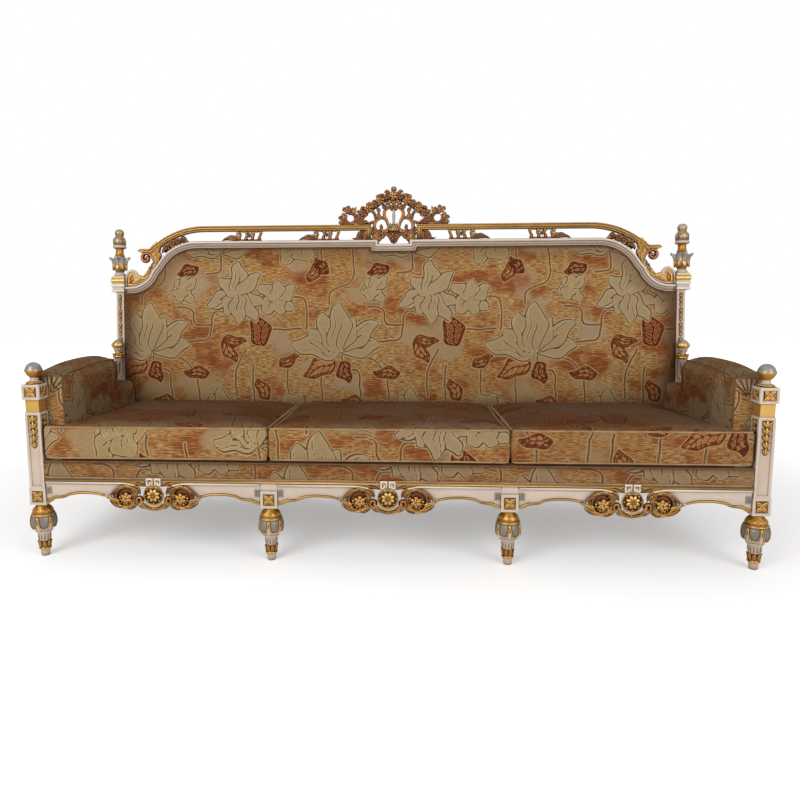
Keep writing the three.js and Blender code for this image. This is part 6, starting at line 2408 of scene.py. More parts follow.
@dataclass
class RoseCarving(Carved):
    """The carving under a tablet: three flowers among C scrolls and acanthus tips."""

    title = "flower_carving_"
    solid = "rose_carving_"
    slot = "bronzed_gilt"
    base: float = 180.0
    middle: float = -28.6
    side_flower: float = 99.0

    def carve(self, shape: Shape) -> None:
        """Carves the middle flower and both sides.

        Args:
            shape: The piece.
        """
        y = self.middle
        shape.ball((0, y + 3, 52), (34, 5, 34), R)
        shape.rod(at_depth(arc(0, 52, 33, 0, 360, 30), y - 1), 2.8, O)
        shape.flower((0, y - 3, 52), 24, G, 8, 9.0, B)
        shape.flower((0, y - 8, 52), 12, B, 6, 6.0, A)
        for x, z in arc(0, 52, 27, 0, 315, 7):
            shape.ball((x, y - 3, z), (4.6, 3.6, 4.6), A, fine=1)
        shape.bent([(-46, 34, -40, 20, -26, 8, 0, 3, 26, 8, 40, 20, 46, 34, 6.4, A)], y, (0.7, 0.7),
                   steps=6)
        shape.bent([(-28, 24, -20, 16, 0, 11, 20, 16, 28, 24, 2.8, G)], y - 2.5, (0.5, 0.5), steps=5)
        for step in range(9):
            turn = math.radians(206 + 16 * step)
            spot = (math.cos(turn) * 36, y - 5, 35 + math.sin(turn) * 31)
            shape.ball(spot, (4.4, 4.0, 3.6), R if step % 2 else B, fine=1)
        for sign in (-1, 1):
            self.side(shape, sign, y)
        shape.shift(z=self.base)

    def side(self, shape: Shape, sign: int, y: float) -> None:
        """Carves one side: a flower in a dark hollow ringed by scrolls, and leaf tips outside.

        Args:
            shape: The piece.
            sign: -1 for the left side, 1 for the right side.
            y: Depth of its middle.
        """
        far = self.side_flower
        near = sign * (far - 5)
        shape.ball((sign * far, y + 5, 44), (33, 4, 33), R)
        shape.flower((near, y - 2, 41), 21, A, 6, 10.0, B)
        shape.flower((near, y - 7, 41), 11, G, 5, 7.0, B)
        for step in range(11):
            turn = math.radians(150 + 24 * step)
            spot = (near + sign * 23 * math.cos(turn), y - 1 - step % 2, 41 + 22 * math.sin(turn))
            shape.ball(spot, (5.0, 4.4, 5.0), (G, B, A)[step % 3], fine=1)
        for radius, start, end, thick, finish in ((33, 130, 330, 3.8, A), (31, -60, 118, 3.4, B),
                                                  (38, 200, 300, 3.0, G)):
            ring = turned_over(arc(far, 45, radius, start, end, 16, radius + 2), sign)
            shape.rod(at_depth(ring, y - 1), thick, finish, (0.5, 0.6), 1.2)
        shape.bent((
            (62, 12, 80, 4, 104, 4, 128, 16, 148, 32, 166, 42, 3.4, G),
            (112, 10, 132, 20, 146, 34, 150, 48, 3, A), (118, 4, 140, 14, 156, 30, 2.6, B),
        ), y + 1, (0.5, 0.3), sign=sign, steps=5)
        shape.leaves((
            (54, 58, 64, 72, 82, 80, 98, 78, 13, A), (76, 78, 94, 84, 112, 79, 10, G),
            (102, 80, 120, 76, 134, 64, 13, A), (124, 70, 140, 60, 152, 50, 13, B),
            (56, 76, 48, 66, 46, 54, 13, B), (66, 82, 54, 80, 46, 70, 10, A),
            (122, 28, 142, 36, 170, 46, 18, G), (104, 10, 126, 14, 150, 32, 15, A),
            (72, 10, 60, 20, 52, 30, 13, A), (92, 6, 76, 6, 60, 14, 12, B),
            (60, 66, 70, 70, 80, 76, 12, B), (58, 24, 66, 34, 66, 48, 12, B),
            (130, 30, 138, 44, 138, 60, 13, B), (138, 26, 152, 38, 160, 50, 10, A),
            (62, 56, 70, 64, 70, 76, 11, A), (30, 8, 44, 10, 56, 20, 11, A),
        ), y - 1.5, 4.8, 2.0, 3.0, sign)
        shape.ball((sign * 49, y + 4, 35), (15, 3, 15), R)
        curl = turned_over(arc(49, 35, 4, 200, -170, 16, 15), sign)
        shape.rod(at_depth(curl, y - 1), 3.8, A, (1.0, 0.5))
        shape.bent([(60, 40, 58, 54, 52, 64, 60, 74, 3.6, B)], y, (0.8, 0.8), sign=sign)


@dataclass
class BeadMoulding(Carved):
    """The gilt bead along the top of the aprons."""

    title = "bead_moulding"
    solid = "apron_bead"
    slot = "gilt"
    reach: float = 1182.7
    front: float = -30.3
    low: float = 276.3

    def carve(self, shape: Shape) -> None:
        """Builds the bead from post to post.

        Args:
            shape: The piece.
        """
        shape.swept([(-self.reach, self.low), (self.reach, self.low)], self.front, banded(
            (C, 0, 20), (A, 0, 5), (G, 1, 2.2, 2.6, 0.9, 4.4, 0.6), (A, 5.6, 1.8), (G, 6.2, 3.4),
            (A, 7, 2.2), (C, 8, 3.6, 8, 20)))


# The back frame: posts, finials, consoles, moulding, gallery and crest


@dataclass
class RearPost(Carved):
    """A rear post: a square block, a raked shaft with a gilt drop and a moulded cap."""

    title = "post_rear_"
    solid = "rear_post_"
    drawn_side = 1.0
    shaft_x: float = 1197.0
    cap_x: float = 1203.0
    shaft: float = 34.0
    block: float = 58.0
    top: float = 568.0

    def carve(self, shape: Shape) -> None:
        """Builds the shaft, its cap and the block that it stands on.

        Args:
            shape: The piece.
        """
        half = self.shaft / 2
        faces = shape.block((-half, -half, -5), (half, half, self.top), C, 1.2)
        shape.panel(faces, (0, -1, 0), 7.0, 2.0, C)
        for index in range(5):
            top = self.top - 14 - index * 62
            shape.husks(-half + 1.8, top, top - 56, 15, 3)
        shape.shift(self.shaft_x - self.cap_x)
        shape.squared(banded(
            (C, 26, 568), (W, 26.5, 569, 27.4, 572), (C, 27.4, 577, 24.6, 580, 24, 586),
            (W, 26.4, 589, 28.6, 593), (C, 28.6, 600, 26, 604),
            (G, 26, 606.5, 29, 611, 30.8, 616, 30.8, 620, 28, 626), (C, 26.4, 629, 26.4, 637.5),
        ))
        shape.shift(self.cap_x)
        shape.place(shape.mesh.verts, upright().inverted() @ raked())
        wide = self.block / 2
        shape.block((POST_X - wide, BACK_SETBACK - wide, 190),
                    (POST_X + wide, BACK_SETBACK + wide, REAR_BLOCK_TOP), C, 1.6)


@dataclass
class UrnFinial(Carved):
    """The turned and carved urn on a rear post."""

    title = "urn_"
    solid = "flame_finial_"
    slot = "gilt"
    leans = True
    drawn_side = 1.0
    axis: float = 1203.0
    seat: float = 638.3

    def carve(self, shape: Shape) -> None:
        """Turns the urn and sets its leaves round it.

        Args:
            shape: The piece.
        """
        # Painted shade: the dark groove finish lies in the necks between the turned parts.
        shape.turned(banded(
            (C, 0, 0, 22, 0, 23.5, 2, 23.5, 9, 20, 12), (U, 16, 15), (G, 18, 19),
            (S, 24, 28, 29.5, 42, 30.5, 53, 28.5, 66, 24, 76), (A, 21.5, 84),
            (G, 20, 90, 17.4, 96, 16.4, 103, 16.4, 114), (U, 18, 119), (C, 27, 122, 29, 126, 28.5, 130),
            (U, 25.5, 133), (S, 27.6, 144, 27.5, 153, 23, 164), (A, 17.5, 172),
            (G, 16.5, 175, 18.2, 180), (S, 20, 187, 18.6, 194, 13.5, 201, 6, 204, 0, 204),
        ), steps=40)
        shape.crown(8, (8.5, 5.2, 21), (G, A), -27.5, 44, -0.15)
        shape.crown(8, (7.4, 5.4, 14), (G, B), -23.5, 149, 0.12)
        shape.crown(8, (4.2, 3.0, 8), (G,), -16.2, 183, -0.05, 1)

        def scroll() -> None:
            """Carves one of the four scrolled leaves."""
            shape.leaf(pairs(20, 40, 27, 58, 33, 72, 42, 76, 44, 84), 0, 17, S, 9.0, 1.0)
            shape.ball((43, 0, 80), (4.4, 7.5, 4.4), S)
            shape.ball((29, 0, 56), (5.0, 8.0, 13), A)

        shape.around((math.tau * index / 4 for index in range(4)), scroll)
        shape.shift(self.axis, z=self.seat)


@dataclass
class ArmConsole(Carved):
    """The carved console where an arm meets its rear post."""

    title = "console_"
    solid = "arm_console_"
    slot = "gilt"
    drawn_side = 1.0
    axis: float = 1197.0
    setback: float = 652.0

    def carve(self, shape: Shape) -> None:
        """Turns the console and carves its capital.

        Args:
            shape: The piece.
        """
        shape.turned(banded(
            (W, 0, 541, 4, 542, 6.5, 552), (C, 9.5, 572, 12.5, 600, 14.5, 620),
            (G, 19, 628, 23, 633, 23, 638, 16, 643), (C, 13, 652, 15, 662), (G, 22, 674, 23.5, 686),
            (S, 19, 696, 13, 704, 5, 708.5, 0, 709),
        ))
        for turn in (math.tau * index / 10 for index in range(10)):
            shape.ball((21.5 * math.cos(turn), 21.5 * math.sin(turn), 645), (5, 5, 5), G, fine=1)
        for side in (-1, 1):
            shape.ball((side * 13.5, -6, 685), (12.5, 12, 12.5), G)
            shape.ball((side * 9, -9, 665), (6.5, 5, 9), G)
            shape.leaves([(3, 556, 9, 585, 14, 618, 10, G)], -12, 3.5, sign=side)
        shape.ball((0, -15, 687), (7.5, 7, 11), C)
        shape.leaf(pairs(0, 552, 0, 580, 0, 622), -13, 12, C, 4.0)
        shape.block((-9, 8, 545), (9, 20, 632), C, 2.0)
        shape.shift(self.axis, self.setback)


@dataclass
class BackMoulding(Carved):
    """The painted moulding round the upholstered back, with a mitred step under the crest."""

    title = "moulding_back"
    solid = "back_moulding"
    leans = True
    width: float = 31.0
    level: float = 771.0
    drop: float = 18.0
    cove_level: float = 577.0
    step_half: float = 82.0

    @classmethod
    def path(cls) -> list[Point]:
        """Returns the middle of the moulding from the left post to the top."""
        cove = arc(-1151, 697, 120, -90, -21, 18)
        shoulder = arc(-858, 586, 185, 151, 90, 22)
        return [(-1179.7, cls.cove_level), *cove, *shoulder]

    def carve(self, shape: Shape) -> None:
        """Builds the moulding from post to post.

        Args:
            shape: The piece.
        """
        half = [*self.path(), (-self.step_half, self.level), (-self.step_half, self.level - self.drop)]
        # Painted shade: the dark groove finish lies in the moulding's grooves.
        shape.swept([*half, *turned_over(reversed(half), -1)], 0, banded(
            (C, -15.5, 15, -15.5, -7, -14.8, -10.5, -12.6, -12.4), (U, -10.4, -11.6, -9.4, -9.2),
            (C, -8.2, -8.6, -5.6, -11.2, -2.6, -15.4), (U, 0.2, -17.2, 1.2, -14.8), (C, 2.4, -18.6),
            (W, 5.2, -21.6, 8.4, -22.8), (C, 11.4, -21.8), (U, 13.8, -18.8, 14.4, -16),
            (C, 15.5, -13, 15.5, 15),
        ))


@dataclass
class GalleryRail(Carved):
    """A gilt gallery rail: its bend, its spurred bracket and its return beside the crest."""

    title = "gallery_"
    solid = "gallery_rail_"
    slot = "gilt"
    leans = True
    drawn_side = -1.0
    level: float = 839.5
    radius: float = 333.0
    centre: float = -824.0
    inner: float = -97.0
    foot: float = 684.0
    bracket_x: float = -1120.0

    def spots(self, *shares: float) -> list[Point]:
        """Places shares of the bracket's width and height."""
        return [(self.bracket_x + 106 * u, self.foot + 98 * v) for u, v in pairs(*shares)]

    def carve(self, shape: Shape) -> None:
        """Builds the rail, its return and its bracket.

        Args:
            shape: The piece.
        """
        bend = arc(self.centre, self.level - self.radius, self.radius, 137, 90, 26)
        end = self.inner - 11.5
        # Painted shade: the dark groove finish lies in the grooves of the rail's front and on its upper
        # and lower faces.
        shape.swept([*bend, (end, self.level), (end, 787)], 0, banded(
            (U, -11.5, 9, -11.5, -12), (O, -10.4, -15.2, -7.4, -16.4), (U, -6.2, -14.2),
            (O, -5.2, -14.2, -4.2, -16.6, 0, -17.2, 4, -16.6), (U, 5, -14.2), (O, 6, -14.2, 7, -16.4),
            (U, 10, -15.4, 11.5, -12), (O, 11.5, 9),
        ))
        self.returned(shape)
        self.bracket(shape)

    def returned(self, shape: Shape) -> None:
        """Fills the corner of the return and lays leaves beside it.

        Args:
            shape: The piece.
        """
        x = self.inner
        shape.block((x - 48, -6, 786.8), (x - 20, 6, 830), A, 1.0)
        shape.leaves([(x - 40, 789, x - 56, 800, x - 52, 824, 20, B),
                      (x - 36, 789, x - 58, 790, x - 84, 794, 17, B)], -6, 7.0, 1.0)
        shape.leaves([(x - 30, 826, x - 46, 818, x - 58, 808, 14, B)], -6, 6.0, 1.0)
        shape.rose((x - 46, -9, 806), 14, B, 10)
        shape.block((x - 1, -8, 786.8), (x + 24, 4, 793), G, 1.0)

    def bracket(self, shape: Shape) -> None:
        """Carves the spur, the stem and the volute under the outer end.

        Args:
            shape: The piece.
        """
        shape.plate(self.spots(
            0.02, 0.62, 0.14, 0.72, 0.52, 0.72, 0.62, 0.84, 0.8, 1.05, 0.98, 0.98, 0.96, 0.78,
            0.915, 0.58, 0.99, 0.45, 0.93, 0.3, 0.88, 0.1, 0.8, 0, 0.7, 0.03, 0.66, 0.2, 0.6, 0.42,
            0.44, 0.52, 0.3, 0.52, 0.2, 0.54,
        ), -14, 7, O, 2.0)
        x, z = self.spots(0.36, 0.32)[0]
        shape.rod(at_depth(arc(x, z, 22, 50, 420, 26, 8), -6), 8.0, B, (1.0, 0.7), 1.4)
        shape.rod(at_depth(arc(x, z, 21, 70, 330, 22, 12), -13), 2.4, A, (1.0, 0.7))
        shape.ball((x, -8, z), (8, 10, 8), A)
        neck = self.spots(0.46, 0.5, 0.6, 0.4, 0.7, 0.22, 0.72, 0.04)
        shape.rod(at_depth(eased(neck), -7), 8.0, B, (0.9, 0.7), 1.3)
        for shares, radius, finish in (
                ((0.04, 0.64, 0.16, 0.7, 0.5, 0.7, 0.66, 0.86), 3.0, O),
                ((0.14, 0.57, 0.3, 0.6, 0.52, 0.6, 0.68, 0.72, 0.8, 0.88), 2.6, A),
                ((0.94, 0.95, 0.88, 0.7, 0.83, 0.4, 0.82, 0.06), 3.4, O),
                ((0.84, 0.92, 0.78, 0.66, 0.75, 0.4), 2.6, A)):
            shape.rod(at_depth(eased(self.spots(*shares)), -14), radius, finish, (0.7, 0.7))
        shape.leaf(self.spots(0.86, 0.3, 0.96, 0.42, 1.0, 0.56), -9, 16, O, 7.0, 1.0)


@dataclass
class GallerySupport(Carved):
    """The little balusters between moulding and gallery rail, with a leaf lying beside them."""

    title = "support_"
    solid = "gallery_support_"
    slot = "bronzed_gilt"
    leans = True
    drawn_side = -1.0
    width: float = 174.0
    low: float = 786.8
    high: float = 828.0

    def carve(self, shape: Shape) -> None:
        """Carves four balusters, the rose between them and the leaf.

        Args:
            shape: The piece.
        """
        right, low, high = self.width / 2, self.low, self.high
        mid = (low + high) / 2
        for step, lean in ((6, 6), (36, 0), (64, 0), (94, -10)):
            x = right - step
            shape.bent([(x + lean * 0.4, low - 1, x - 4, low + 12, x + 3, mid + 6, x + lean, high + 1,
                         6.0, B)], -4, (1.3, 1.3), 1.3)
            shape.ball((x - 2, -6, low + 9), (8.5, 9, 9), B)
            shape.ball((x + lean * 0.8, -6, high - 7), (8, 8.5, 8), A)
        for step in (20, 50, 79):
            shape.ball((right - step, -4, low + 3), (11, 7, 5), A)
            shape.ball((right - step, -4, high - 1), (12, 7, 5), A)
        shape.rose((right - 50, -9, mid + 2), 11, B, 8)
        for y, width, finish, thick, lobes, spots in (
                (-5, 24, B, 9.0, 3.0, (96, 4, 122, 15, 150, 11, 172, 2)),
                (-9, 13, A, 6.0, 1.0, (92, 8, 108, 20, 128, 19)),
                (-10, 11, B, 5.0, 1.0, (100, 4, 128, 6, 156, 3))):
            spine = [(right - x, low + z) for x, z in pairs(*spots)]
            shape.leaf(spine, y, width, finish, thick, lobes)


@dataclass
class ShoulderGarland(Carved):
    """The copper garland between the bend of the rail and the shoulder of the moulding."""

    title = "garland_"
    solid = "shoulder_leaf_"
    slot = "bronzed_gilt"
    leans = True
    drawn_side = -1.0

    def carve(self, shape: Shape) -> None:
        """Carves roses and leaves on a stem.

        Args:
            shape: The piece.
        """
        shape.bent([(-1004, 744, -985, 764, -955, 784, -925, 792, -900, 786, 12, B)], 1, (0.7, 0.5),
                   0.8)
        for x, z, radius in ((-991, 764, 17), (-967, 783, 18), (-941, 788, 16), (-917, 792, 13)):
            shape.rose((x, -6, z), radius, B)
        shape.leaves((
            (-994, 756, -1006, 748, -1008, 734, 17, B), (-990, 776, -1002, 776, -1010, 784, 17, A),
            (-972, 794, -974, 804, -966, 812, 16, B), (-950, 798, -946, 806, -936, 810, 15, A),
            (-926, 800, -912, 802, -898, 792, 17, B), (-974, 768, -962, 764, -950, 770, 16, A),
            (-950, 774, -936, 774, -924, 780, 15, B), (-912, 790, -900, 788, -890, 784, 15, A),
            (-984, 752, -976, 752, -966, 758, 14, B),
        ), -6, 6.0, 1.0, 2.0)


@dataclass
class CoveScroll(Carved):
    """The painted scroll with a gilt hollow that lies in the cove of the moulding."""

    title = "scroll_"
    solid = "shoulder_scroll_"
    slot = "gilt"
    leans = True
    drawn_side = -1.0

    def carve(self, shape: Shape) -> None:
        """Cuts the ground and lays the scroll, its lips and its leaves on it.

        Args:
            shape: The piece.
        """
        x, z = -1151, 697
        outline = eased(pairs(-1166, 630, -1159, 650, -1144, 660, -1129, 655, -1118, 644, -1107, 636,
                              -1091, 631, -1074, 636, -1061, 650, -1056, 664), 3)
        shape.plate([*outline, *arc(x, z, 105, -26, -98, 12)], -8, 6, G, 1.0)
        for row, y, tips, flat in (
                ((-1174, 594, -1174, 622, -1165, 648, -1146, 660, -1129, 651, -1126, 638, -1136, 630,
                  -1145, 636, 7.0, C), -5, (0.9, 0.5), 1.3),
                ((-1160, 604, -1160, 624, -1151, 639, -1141, 644, 5.0, G), -8, (0.8, 0.6), 1.0),
                ((-1130, 640, -1112, 632, -1092, 628, -1074, 634, -1060, 650, -1052, 668, 5.6, G),
                 -6, (0.8, 0.9), 1.3),
                ((-1130, 648, -1112, 640, -1092, 635, -1078, 640, -1066, 652, 3.4, C),
                 -2, (0.7, 0.7), 1.4)):
            shape.bent([row], y, tips, flat, steps=5)
        for radius, thick, finish, start in ((100, 4.4, C, -98), (92, 4.4, A, -92), (83, 4.2, G, -86)):
            path = arc(x, z, radius, start, -27, 18)
            shape.rod(at_depth(path, -6), thick, finish, (0.6, 0.8), 1.2)
        shape.leaf(pairs(-1152, 608, -1146, 624, -1134, 636), -8, 17, A, 6.0, 1.0)
        shape.leaves((
            (-1058, 644, -1068, 660, -1066, 680, 20, A), (-1046, 656, -1048, 674, -1038, 692, 20, G),
            (-1052, 664, -1058, 680, -1052, 696, 14, B), (-1040, 668, -1036, 682, -1028, 694, 12, C),
        ), -6, 8.0, 1.0, 2.0)


@dataclass
class Crest(Carved):
    """The pierced crest: an arch of roses over a lyre with a pale spindle."""

    title = "crest_carving"
    solid = "crest"
    slot = "bronzed_gilt"
    leans = True
    base: float = 768.5
    middle: float = -4.0

    def carve(self, shape: Shape) -> None:
        """Carves the middle and both halves.

        Args:
            shape: The piece.
        """
        y = self.middle
        self.centre(shape, y)
        for sign in (-1, 1):
            self.arch(shape, sign, y)
            self.lyre(shape, sign, y)
            self.wing(shape, sign, y)
        shape.shift(z=self.base)

    def centre(self, shape: Shape, y: float) -> None:
        """Carves what stands on the middle line.

        Args:
            shape: The piece.
            y: Depth of its middle.
        """
        shape.ball((0, y - 1, 232), (13, 8, 12), B)
        for turn, finish in ((50, B), (90, G), (130, B)):
            x, z = math.cos(math.radians(turn)), math.sin(math.radians(turn))
            spine = pairs(0, 224, 7 * x, 233, 13 * x, 229 + 13 * z)
            shape.leaf(spine, y - 5, 12, finish, 5.0, 1.0, 2.0)
        shape.rose((0, y - 5, 203), 23, B, 14.0, G)
        shape.leaf(pairs(0, 186, 0, 172, 0, 152), y - 4, 26, B, 6.0, 3.0)
        spindle = banded((S, 0, 0, 7.5, 0, 6, 6, 5.6, 18, 6.4, 34, 6.6, 42, 5, 54, 3.6, 60, 0, 60))
        shape.turned(spindle, Matrix.Translation((0, y - 3, 82)), 20)
        shape.ball((0, y - 4, 142), (6, 6, 6), G)
        bell = banded((A, 0, 0, 19, 0), (S, 17, 6, 12, 13, 8.5, 22, 6.6, 31, 0, 33))
        shape.turned(bell, Matrix.Translation((0, y - 1, 54)), 24)
        shape.ball((0, y + 1, 42), (34, 8, 16), B)
        shape.rose((0, y - 6, 31), 18, B, 12.0)
        for side in (-1, 1):
            shape.leaves(((0, 26, 24, 40, 46, 46, 22, B), (0, 16, 16, 28, 30, 36, 18, B),
                          (2, 40, 12, 54, 26, 58, 16, B), (2, 8, 12, 16, 22, 26, 13, B)),
                         y - 3, 8.0, 1.0, 2.0, side)
        shape.leaf(pairs(0, 22, 0, 12, 0, 1), y - 2, 16, B, 6.0, 2.0)
        shape.ball((0, y, 4), (6, 7, 5), B)

    def arch(self, shape: Shape, sign: int, y: float) -> None:
        """Carves one half of the arch of roses.

        Args:
            shape: The piece.
            sign: -1 for the left side, 1 for the right side.
            y: Depth of its middle.
        """
        shape.bent([(0, 192, 30, 196, 56, 182, 82, 164, 108, 148, 132, 132, 150, 112, 160, 90, 15, B)],
                   y + 3, (0.9, 0.7), 0.6, sign)
        for x, z, radius, heart in ((30, 200, 15, B), (57, 182, 22, A), (84, 165, 15, B),
                                    (107, 149, 22, A), (133, 131, 16, B), (147, 107, 15, B)):
            shape.rose((sign * x, y - 5, z), radius, B, 12.0 if radius > 16 else 9.0, heart)
        shape.leaves((
            (18, 212, 30, 222, 42, 216, 18, B), (40, 206, 54, 206, 68, 208, 18, B),
            (58, 200, 70, 202, 76, 192, 16, A), (74, 178, 86, 180, 92, 172, 17, B),
            (92, 166, 106, 172, 120, 168, 17, A), (124, 156, 136, 152, 142, 142, 17, B),
            (140, 136, 152, 138, 160, 132, 16, A), (30, 184, 24, 172, 12, 164, 18, B),
            (46, 168, 44, 158, 50, 148, 16, B), (70, 152, 64, 140, 66, 126, 19, B),
            (88, 140, 84, 130, 72, 122, 16, B), (112, 130, 120, 122, 124, 110, 17, B),
            (62, 172, 72, 168, 78, 154, 16, B), (12, 190, 18, 178, 28, 172, 16, A),
        ), y - 3, 6.0, 1.0, 3.0, sign)

    def lyre(self, shape: Shape, sign: int, y: float) -> None:
        """Carves one arm of the lyre, its outer scroll and its foot.

        Args:
            shape: The piece.
            sign: -1 for the left side, 1 for the right side.
            y: Depth of its middle.
        """
        for row in (
            (2, 158, 16, 158, 34, 148, 41, 130, 36, 108, 26, 88, 22, 70, 30, 58, 38, 62, 7, B),
            (4, 151, 16, 150, 29, 143, 35, 129, 31, 108, 21, 86, 17, 70, 2.6, A),
            (28, 92, 32, 106, 44, 112, 60, 110, 76, 98, 83, 80, 78, 62, 66, 54, 57, 62, 7.2, B),
            (38, 101, 50, 105, 64, 101, 74, 89, 77, 74, 2.6, A), (60, 110, 62, 122, 70, 130, 7, B),
            (82, 96, 94, 92, 110, 88, 122, 96, 7, B), (24, 48, 36, 44, 48, 34, 57, 22, 66, 12, 7, B),
            (24, 44, 15, 30, 10, 16, 6, 6, 7, B), (74, 58, 86, 52, 96, 40, 7, B),
            (76, 100, 80, 114, 84, 130, 5.4, B), (30, 150, 32, 162, 30, 176, 5.4, B),
        ):
            shape.bent([row], y - 6 if row[-1] is A else y, (0.8, 0.6), 1.1, sign)
        shape.leaves((
            (62, 62, 52, 58, 46, 48, 19, B), (70, 50, 58, 46, 50, 38, 19, B),
            (38, 58, 46, 52, 54, 52, 17, A), (22, 58, 32, 54, 40, 46, 18, A),
            (64, 30, 76, 34, 90, 34, 23, A), (66, 20, 78, 20, 94, 22, 21, A),
            (34, 146, 40, 156, 38, 164, 16, B), (70, 110, 78, 116, 80, 126, 17, B),
            (62, 8, 76, 6, 92, 8, 17, A), (84, 56, 92, 62, 90, 74, 16, B),
            (58, 32, 68, 46, 64, 60, 21, B), (84, 34, 78, 48, 88, 58, 21, B),
            (2, 60, 9, 72, 15, 90, 16, A), (52, 24, 44, 34, 30, 40, 19, B),
            (3, 158, 10, 148, 8, 138, 17, B), (48, 66, 54, 76, 50, 84, 15, B),
        ), y - 4, 7.0, 1.0, 2.0, sign)
        low, high = sorted((sign * 56, sign * 94))
        shape.block((low, y - 5, 18.3), (high, y + 5, 38), O, 1.5)

    def wing(self, shape: Shape, sign: int, y: float) -> None:
        """Carves one wing, which lies on the gallery rail.

        Args:
            shape: The piece.
            sign: -1 for the left side, 1 for the right side.
            y: Depth of its middle.
        """
        ring = turned_over(arc(185, 110, 21, 60, 400, 24, 22), sign)
        shape.rod(at_depth(ring, y), 7.4, B, (0.8, 0.8))
        shape.bent([(118, 92, 140, 90, 170, 88, 205, 87, 232, 88, 8.6, B)], y, (0.8, 0.5), sign=sign)
        for x, z, radius in ((198, 142, 17), (158, 98, 15), (214, 100, 15), (136, 104, 14),
                             (160, 118, 12)):
            shape.rose((sign * x, y - 5, z), radius, B, 9.0, A if radius > 15 else B)
        shape.leaves((
            (178, 130, 168, 142, 160, 160, 18, A), (184, 136, 176, 150, 176, 156, 16, B),
            (204, 150, 214, 150, 218, 138, 16, B), (208, 128, 218, 124, 222, 112, 18, A),
            (218, 108, 230, 114, 236, 104, 17, B), (212, 92, 226, 96, 238, 88, 19, A),
            (160, 112, 166, 124, 178, 130, 17, B), (144, 116, 154, 122, 162, 118, 16, A),
            (190, 88, 200, 92, 210, 88, 16, B), (170, 88, 160, 84, 146, 86, 17, A),
            (190, 150, 194, 158, 204, 158, 15, B), (124, 100, 116, 92, 108, 88, 17, B),
        ), y - 4, 7.0, 1.0, 2.0, sign)


# The sofa in its room


@dataclass
class PlainParts:
    """The solids that are already as plain as the real part, which only take a finish."""

    paints: Paintbox
    cloth: Cloth

    def paint(self, nodes: dict[str, bpy.types.Object]) -> None:
        """Finishes every solid, each by the first row that its name starts with.

        Args:
            nodes: The solids by name.
        """
        finishes = (
            (("seat_webbing", "seat_deck", "back_liner"), self.cloth.liner),
            (("seat_core",), self.cloth.filling),
            (("seat_rail_front", "cross_rail", "back_rail", "arm_board"), self.paints.get(BARE)),
            (("",), self.paints.get(C)),
        )
        for name, node in nodes.items():
            chosen = next(material for starts, material in finishes if name.startswith(starts))
            node.data.materials.clear()
            node.data.materials.append(chosen)
            LOG.info("%s takes %s", name, chosen.name)


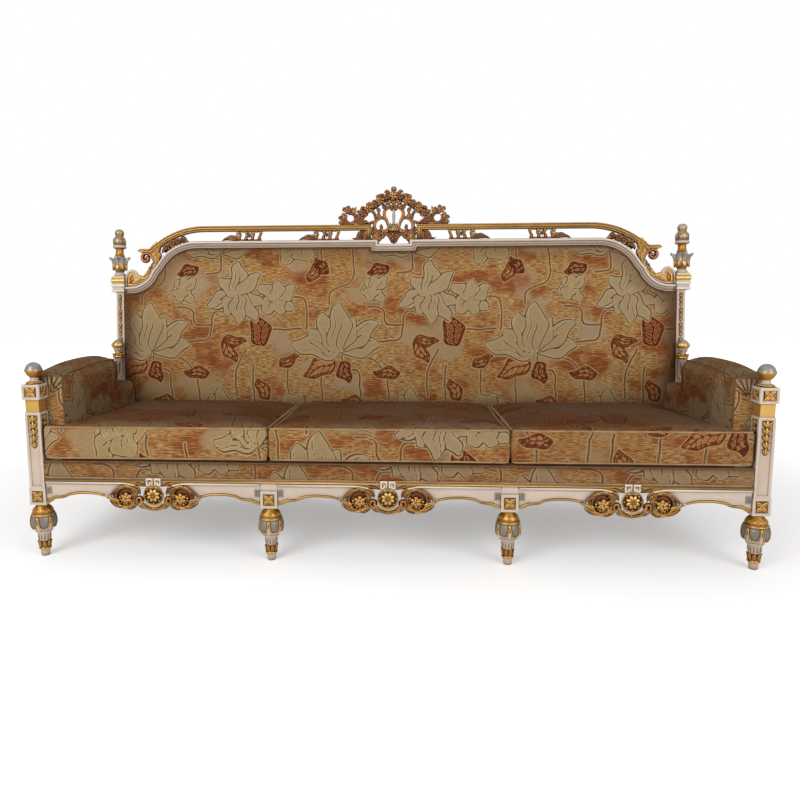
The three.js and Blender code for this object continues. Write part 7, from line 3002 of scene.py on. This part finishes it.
@dataclass
class Studio:
    """A plain white floor and backdrop, soft lamps and the camera."""

    floor_half: float = 9.0
    soft_power: float = 92.0
    eye: tuple[float, float, float] = (0.077, -2.614, 0.947)
    yaw: float = 3.57
    pitch: float = -7.43
    roll: float = -0.29
    lens: float = 30.88
    shift: tuple[float, float] = (0.0388, -0.0347)

    def build(self) -> None:
        """Sets up the studio."""
        self.lay_floor()
        self.light_world()
        self.hang_lamps()
        self.aim_camera()

    def lay_floor(self) -> None:
        """Lays a white floor that keeps the sofa's shadow."""
        shape = bmesh.new()
        bmesh.ops.create_grid(shape, x_segments=1, y_segments=1, size=self.floor_half)
        floor = shown("studio_floor", meshed(shape, "studio_floor"))
        paper, graph, shader = Graph.on_new("white_paper")
        far = graph.add("VectorMath", operation="LENGTH")
        graph.feed(far, _0=graph.place())
        glow = graph.span(far.outputs["Value"], 1.2, 4.5, 0.3, 1.0)
        seen = graph.add("LightPath").outputs["Is Camera Ray"]
        graph.feed(shader, Base_Color=(0.93, 0.93, 0.93), Roughness=1.0, Specular_IOR_Level=0.0,
                   Emission_Color=(1.0, 1.0, 1.0), Emission_Strength=graph.times(seen, glow))
        floor.data.materials.append(paper)
        LOG.info("studio_floor: %.1f m across", 2 * self.floor_half)

    @staticmethod
    def light_world() -> None:
        """Fills the room with plain light and shows white behind the sofa."""
        world = bpy.data.worlds.new("studio")
        bpy.context.scene.world = world
        world.use_nodes = True
        graph = Graph(world.node_tree)
        ray = graph.add("LightPath").outputs
        seen = graph.math("MINIMUM", graph.plus(ray["Is Camera Ray"], ray["Is Transmission Ray"]), 1.0)
        level = graph.plus(graph.times(seen, 0.62), 0.38)
        graph.feed(world.node_tree.nodes["Background"], Color=(1.0, 1.0, 1.0),
                   Strength=graph.plus(level, graph.times(ray["Is Glossy Ray"], 0.25)))

    def hang_lamps(self) -> None:
        """Hangs three large soft lamps."""
        for name, place, size, share in (
                ("key", (-2.2, -3.6, 2.6), 2.6, 1.15), ("fill", (2.8, -3.4, 2.0), 2.6, 0.75),
                ("top", (0.0, 0.6, 3.6), 3.2, 0.12)):
            lamp = bpy.data.lights.new("lamp_" + name, "AREA")
            lamp.energy, lamp.shape, lamp.size = self.soft_power * share, "SQUARE", size
            hung = shown("lamp_" + name, lamp)
            hung.location = place
            aim = Vector((0, 0, 0.5)) - hung.location
            hung.rotation_euler = aim.to_track_quat("-Z", "Y").to_euler()

    def aim_camera(self) -> None:
        """Places the camera at the height and distance from which the sofa is shown."""
        camera = bpy.data.cameras.new("camera")
        camera.lens, camera.sensor_width = self.lens, 36.0
        camera.shift_x, camera.shift_y = self.shift
        held = shown("camera", camera)
        held.matrix_world = (Matrix.Translation(self.eye) @ spun(math.radians(self.yaw))
                             @ Matrix.Rotation(math.radians(90 + self.pitch), 4, "X")
                             @ spun(math.radians(self.roll)))
        bpy.context.scene.camera = held


def main() -> None:
    """Builds the sofa piece by piece."""
    logging.basicConfig(level=logging.INFO, format="%(relativeCreated)7d ms %(message)s")
    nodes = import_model()["nodes"]
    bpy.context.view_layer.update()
    bpy.context.scene.view_settings.view_transform = "Standard"
    paints = Paintbox()
    cloth = Cloth(Repeat())
    PlainParts(paints, cloth).paint(nodes)
    seats = SeatCushions(cloth)
    for seat, name in enumerate(SEATS):
        seats.build(seat, name, nodes["seat_core_" + name])
    BackPad(cloth).build()
    ArmPads(cloth, paints).build()
    FrontBand(cloth).build()
    Linings(cloth).build(nodes["back_liner"])
    for name, x in (("left", -POST_X), ("inner_left", -INNER_X), ("inner_right", INNER_X),
                    ("right", POST_X)):
        TurnedLeg(paints).build(name, x=x)
    for name, sign in SIDES:
        for kind, x in ((FrontPost, POST_X), (BallFinial, POST_X), (InnerBlock, INNER_X)):
            kind(paints).build(name, x=sign * x)
        for kind in (RearPost, UrnFinial, ArmConsole, GalleryRail, ShoulderGarland, CoveScroll):
            kind(paints).build(name, sign)
        for place, centre in (("outer", 660.0), ("inner", 323.0)):
            GallerySupport(paints).build(f"{name}_{place}", sign, -centre)
    for name, side, offset in (("left", -1, 7.0), ("centre", 0, 0.0), ("right", 1, -7.0)):
        centre = 2 * INNER_X * side
        Apron(paints, offset).build(name, x=centre)
        RoseCarving(paints).build(name, x=centre + offset)
    for kind in (BeadMoulding, BackMoulding, Crest):
        kind(paints).build()
    Studio().build()


if __name__ == "__main__":
    main()
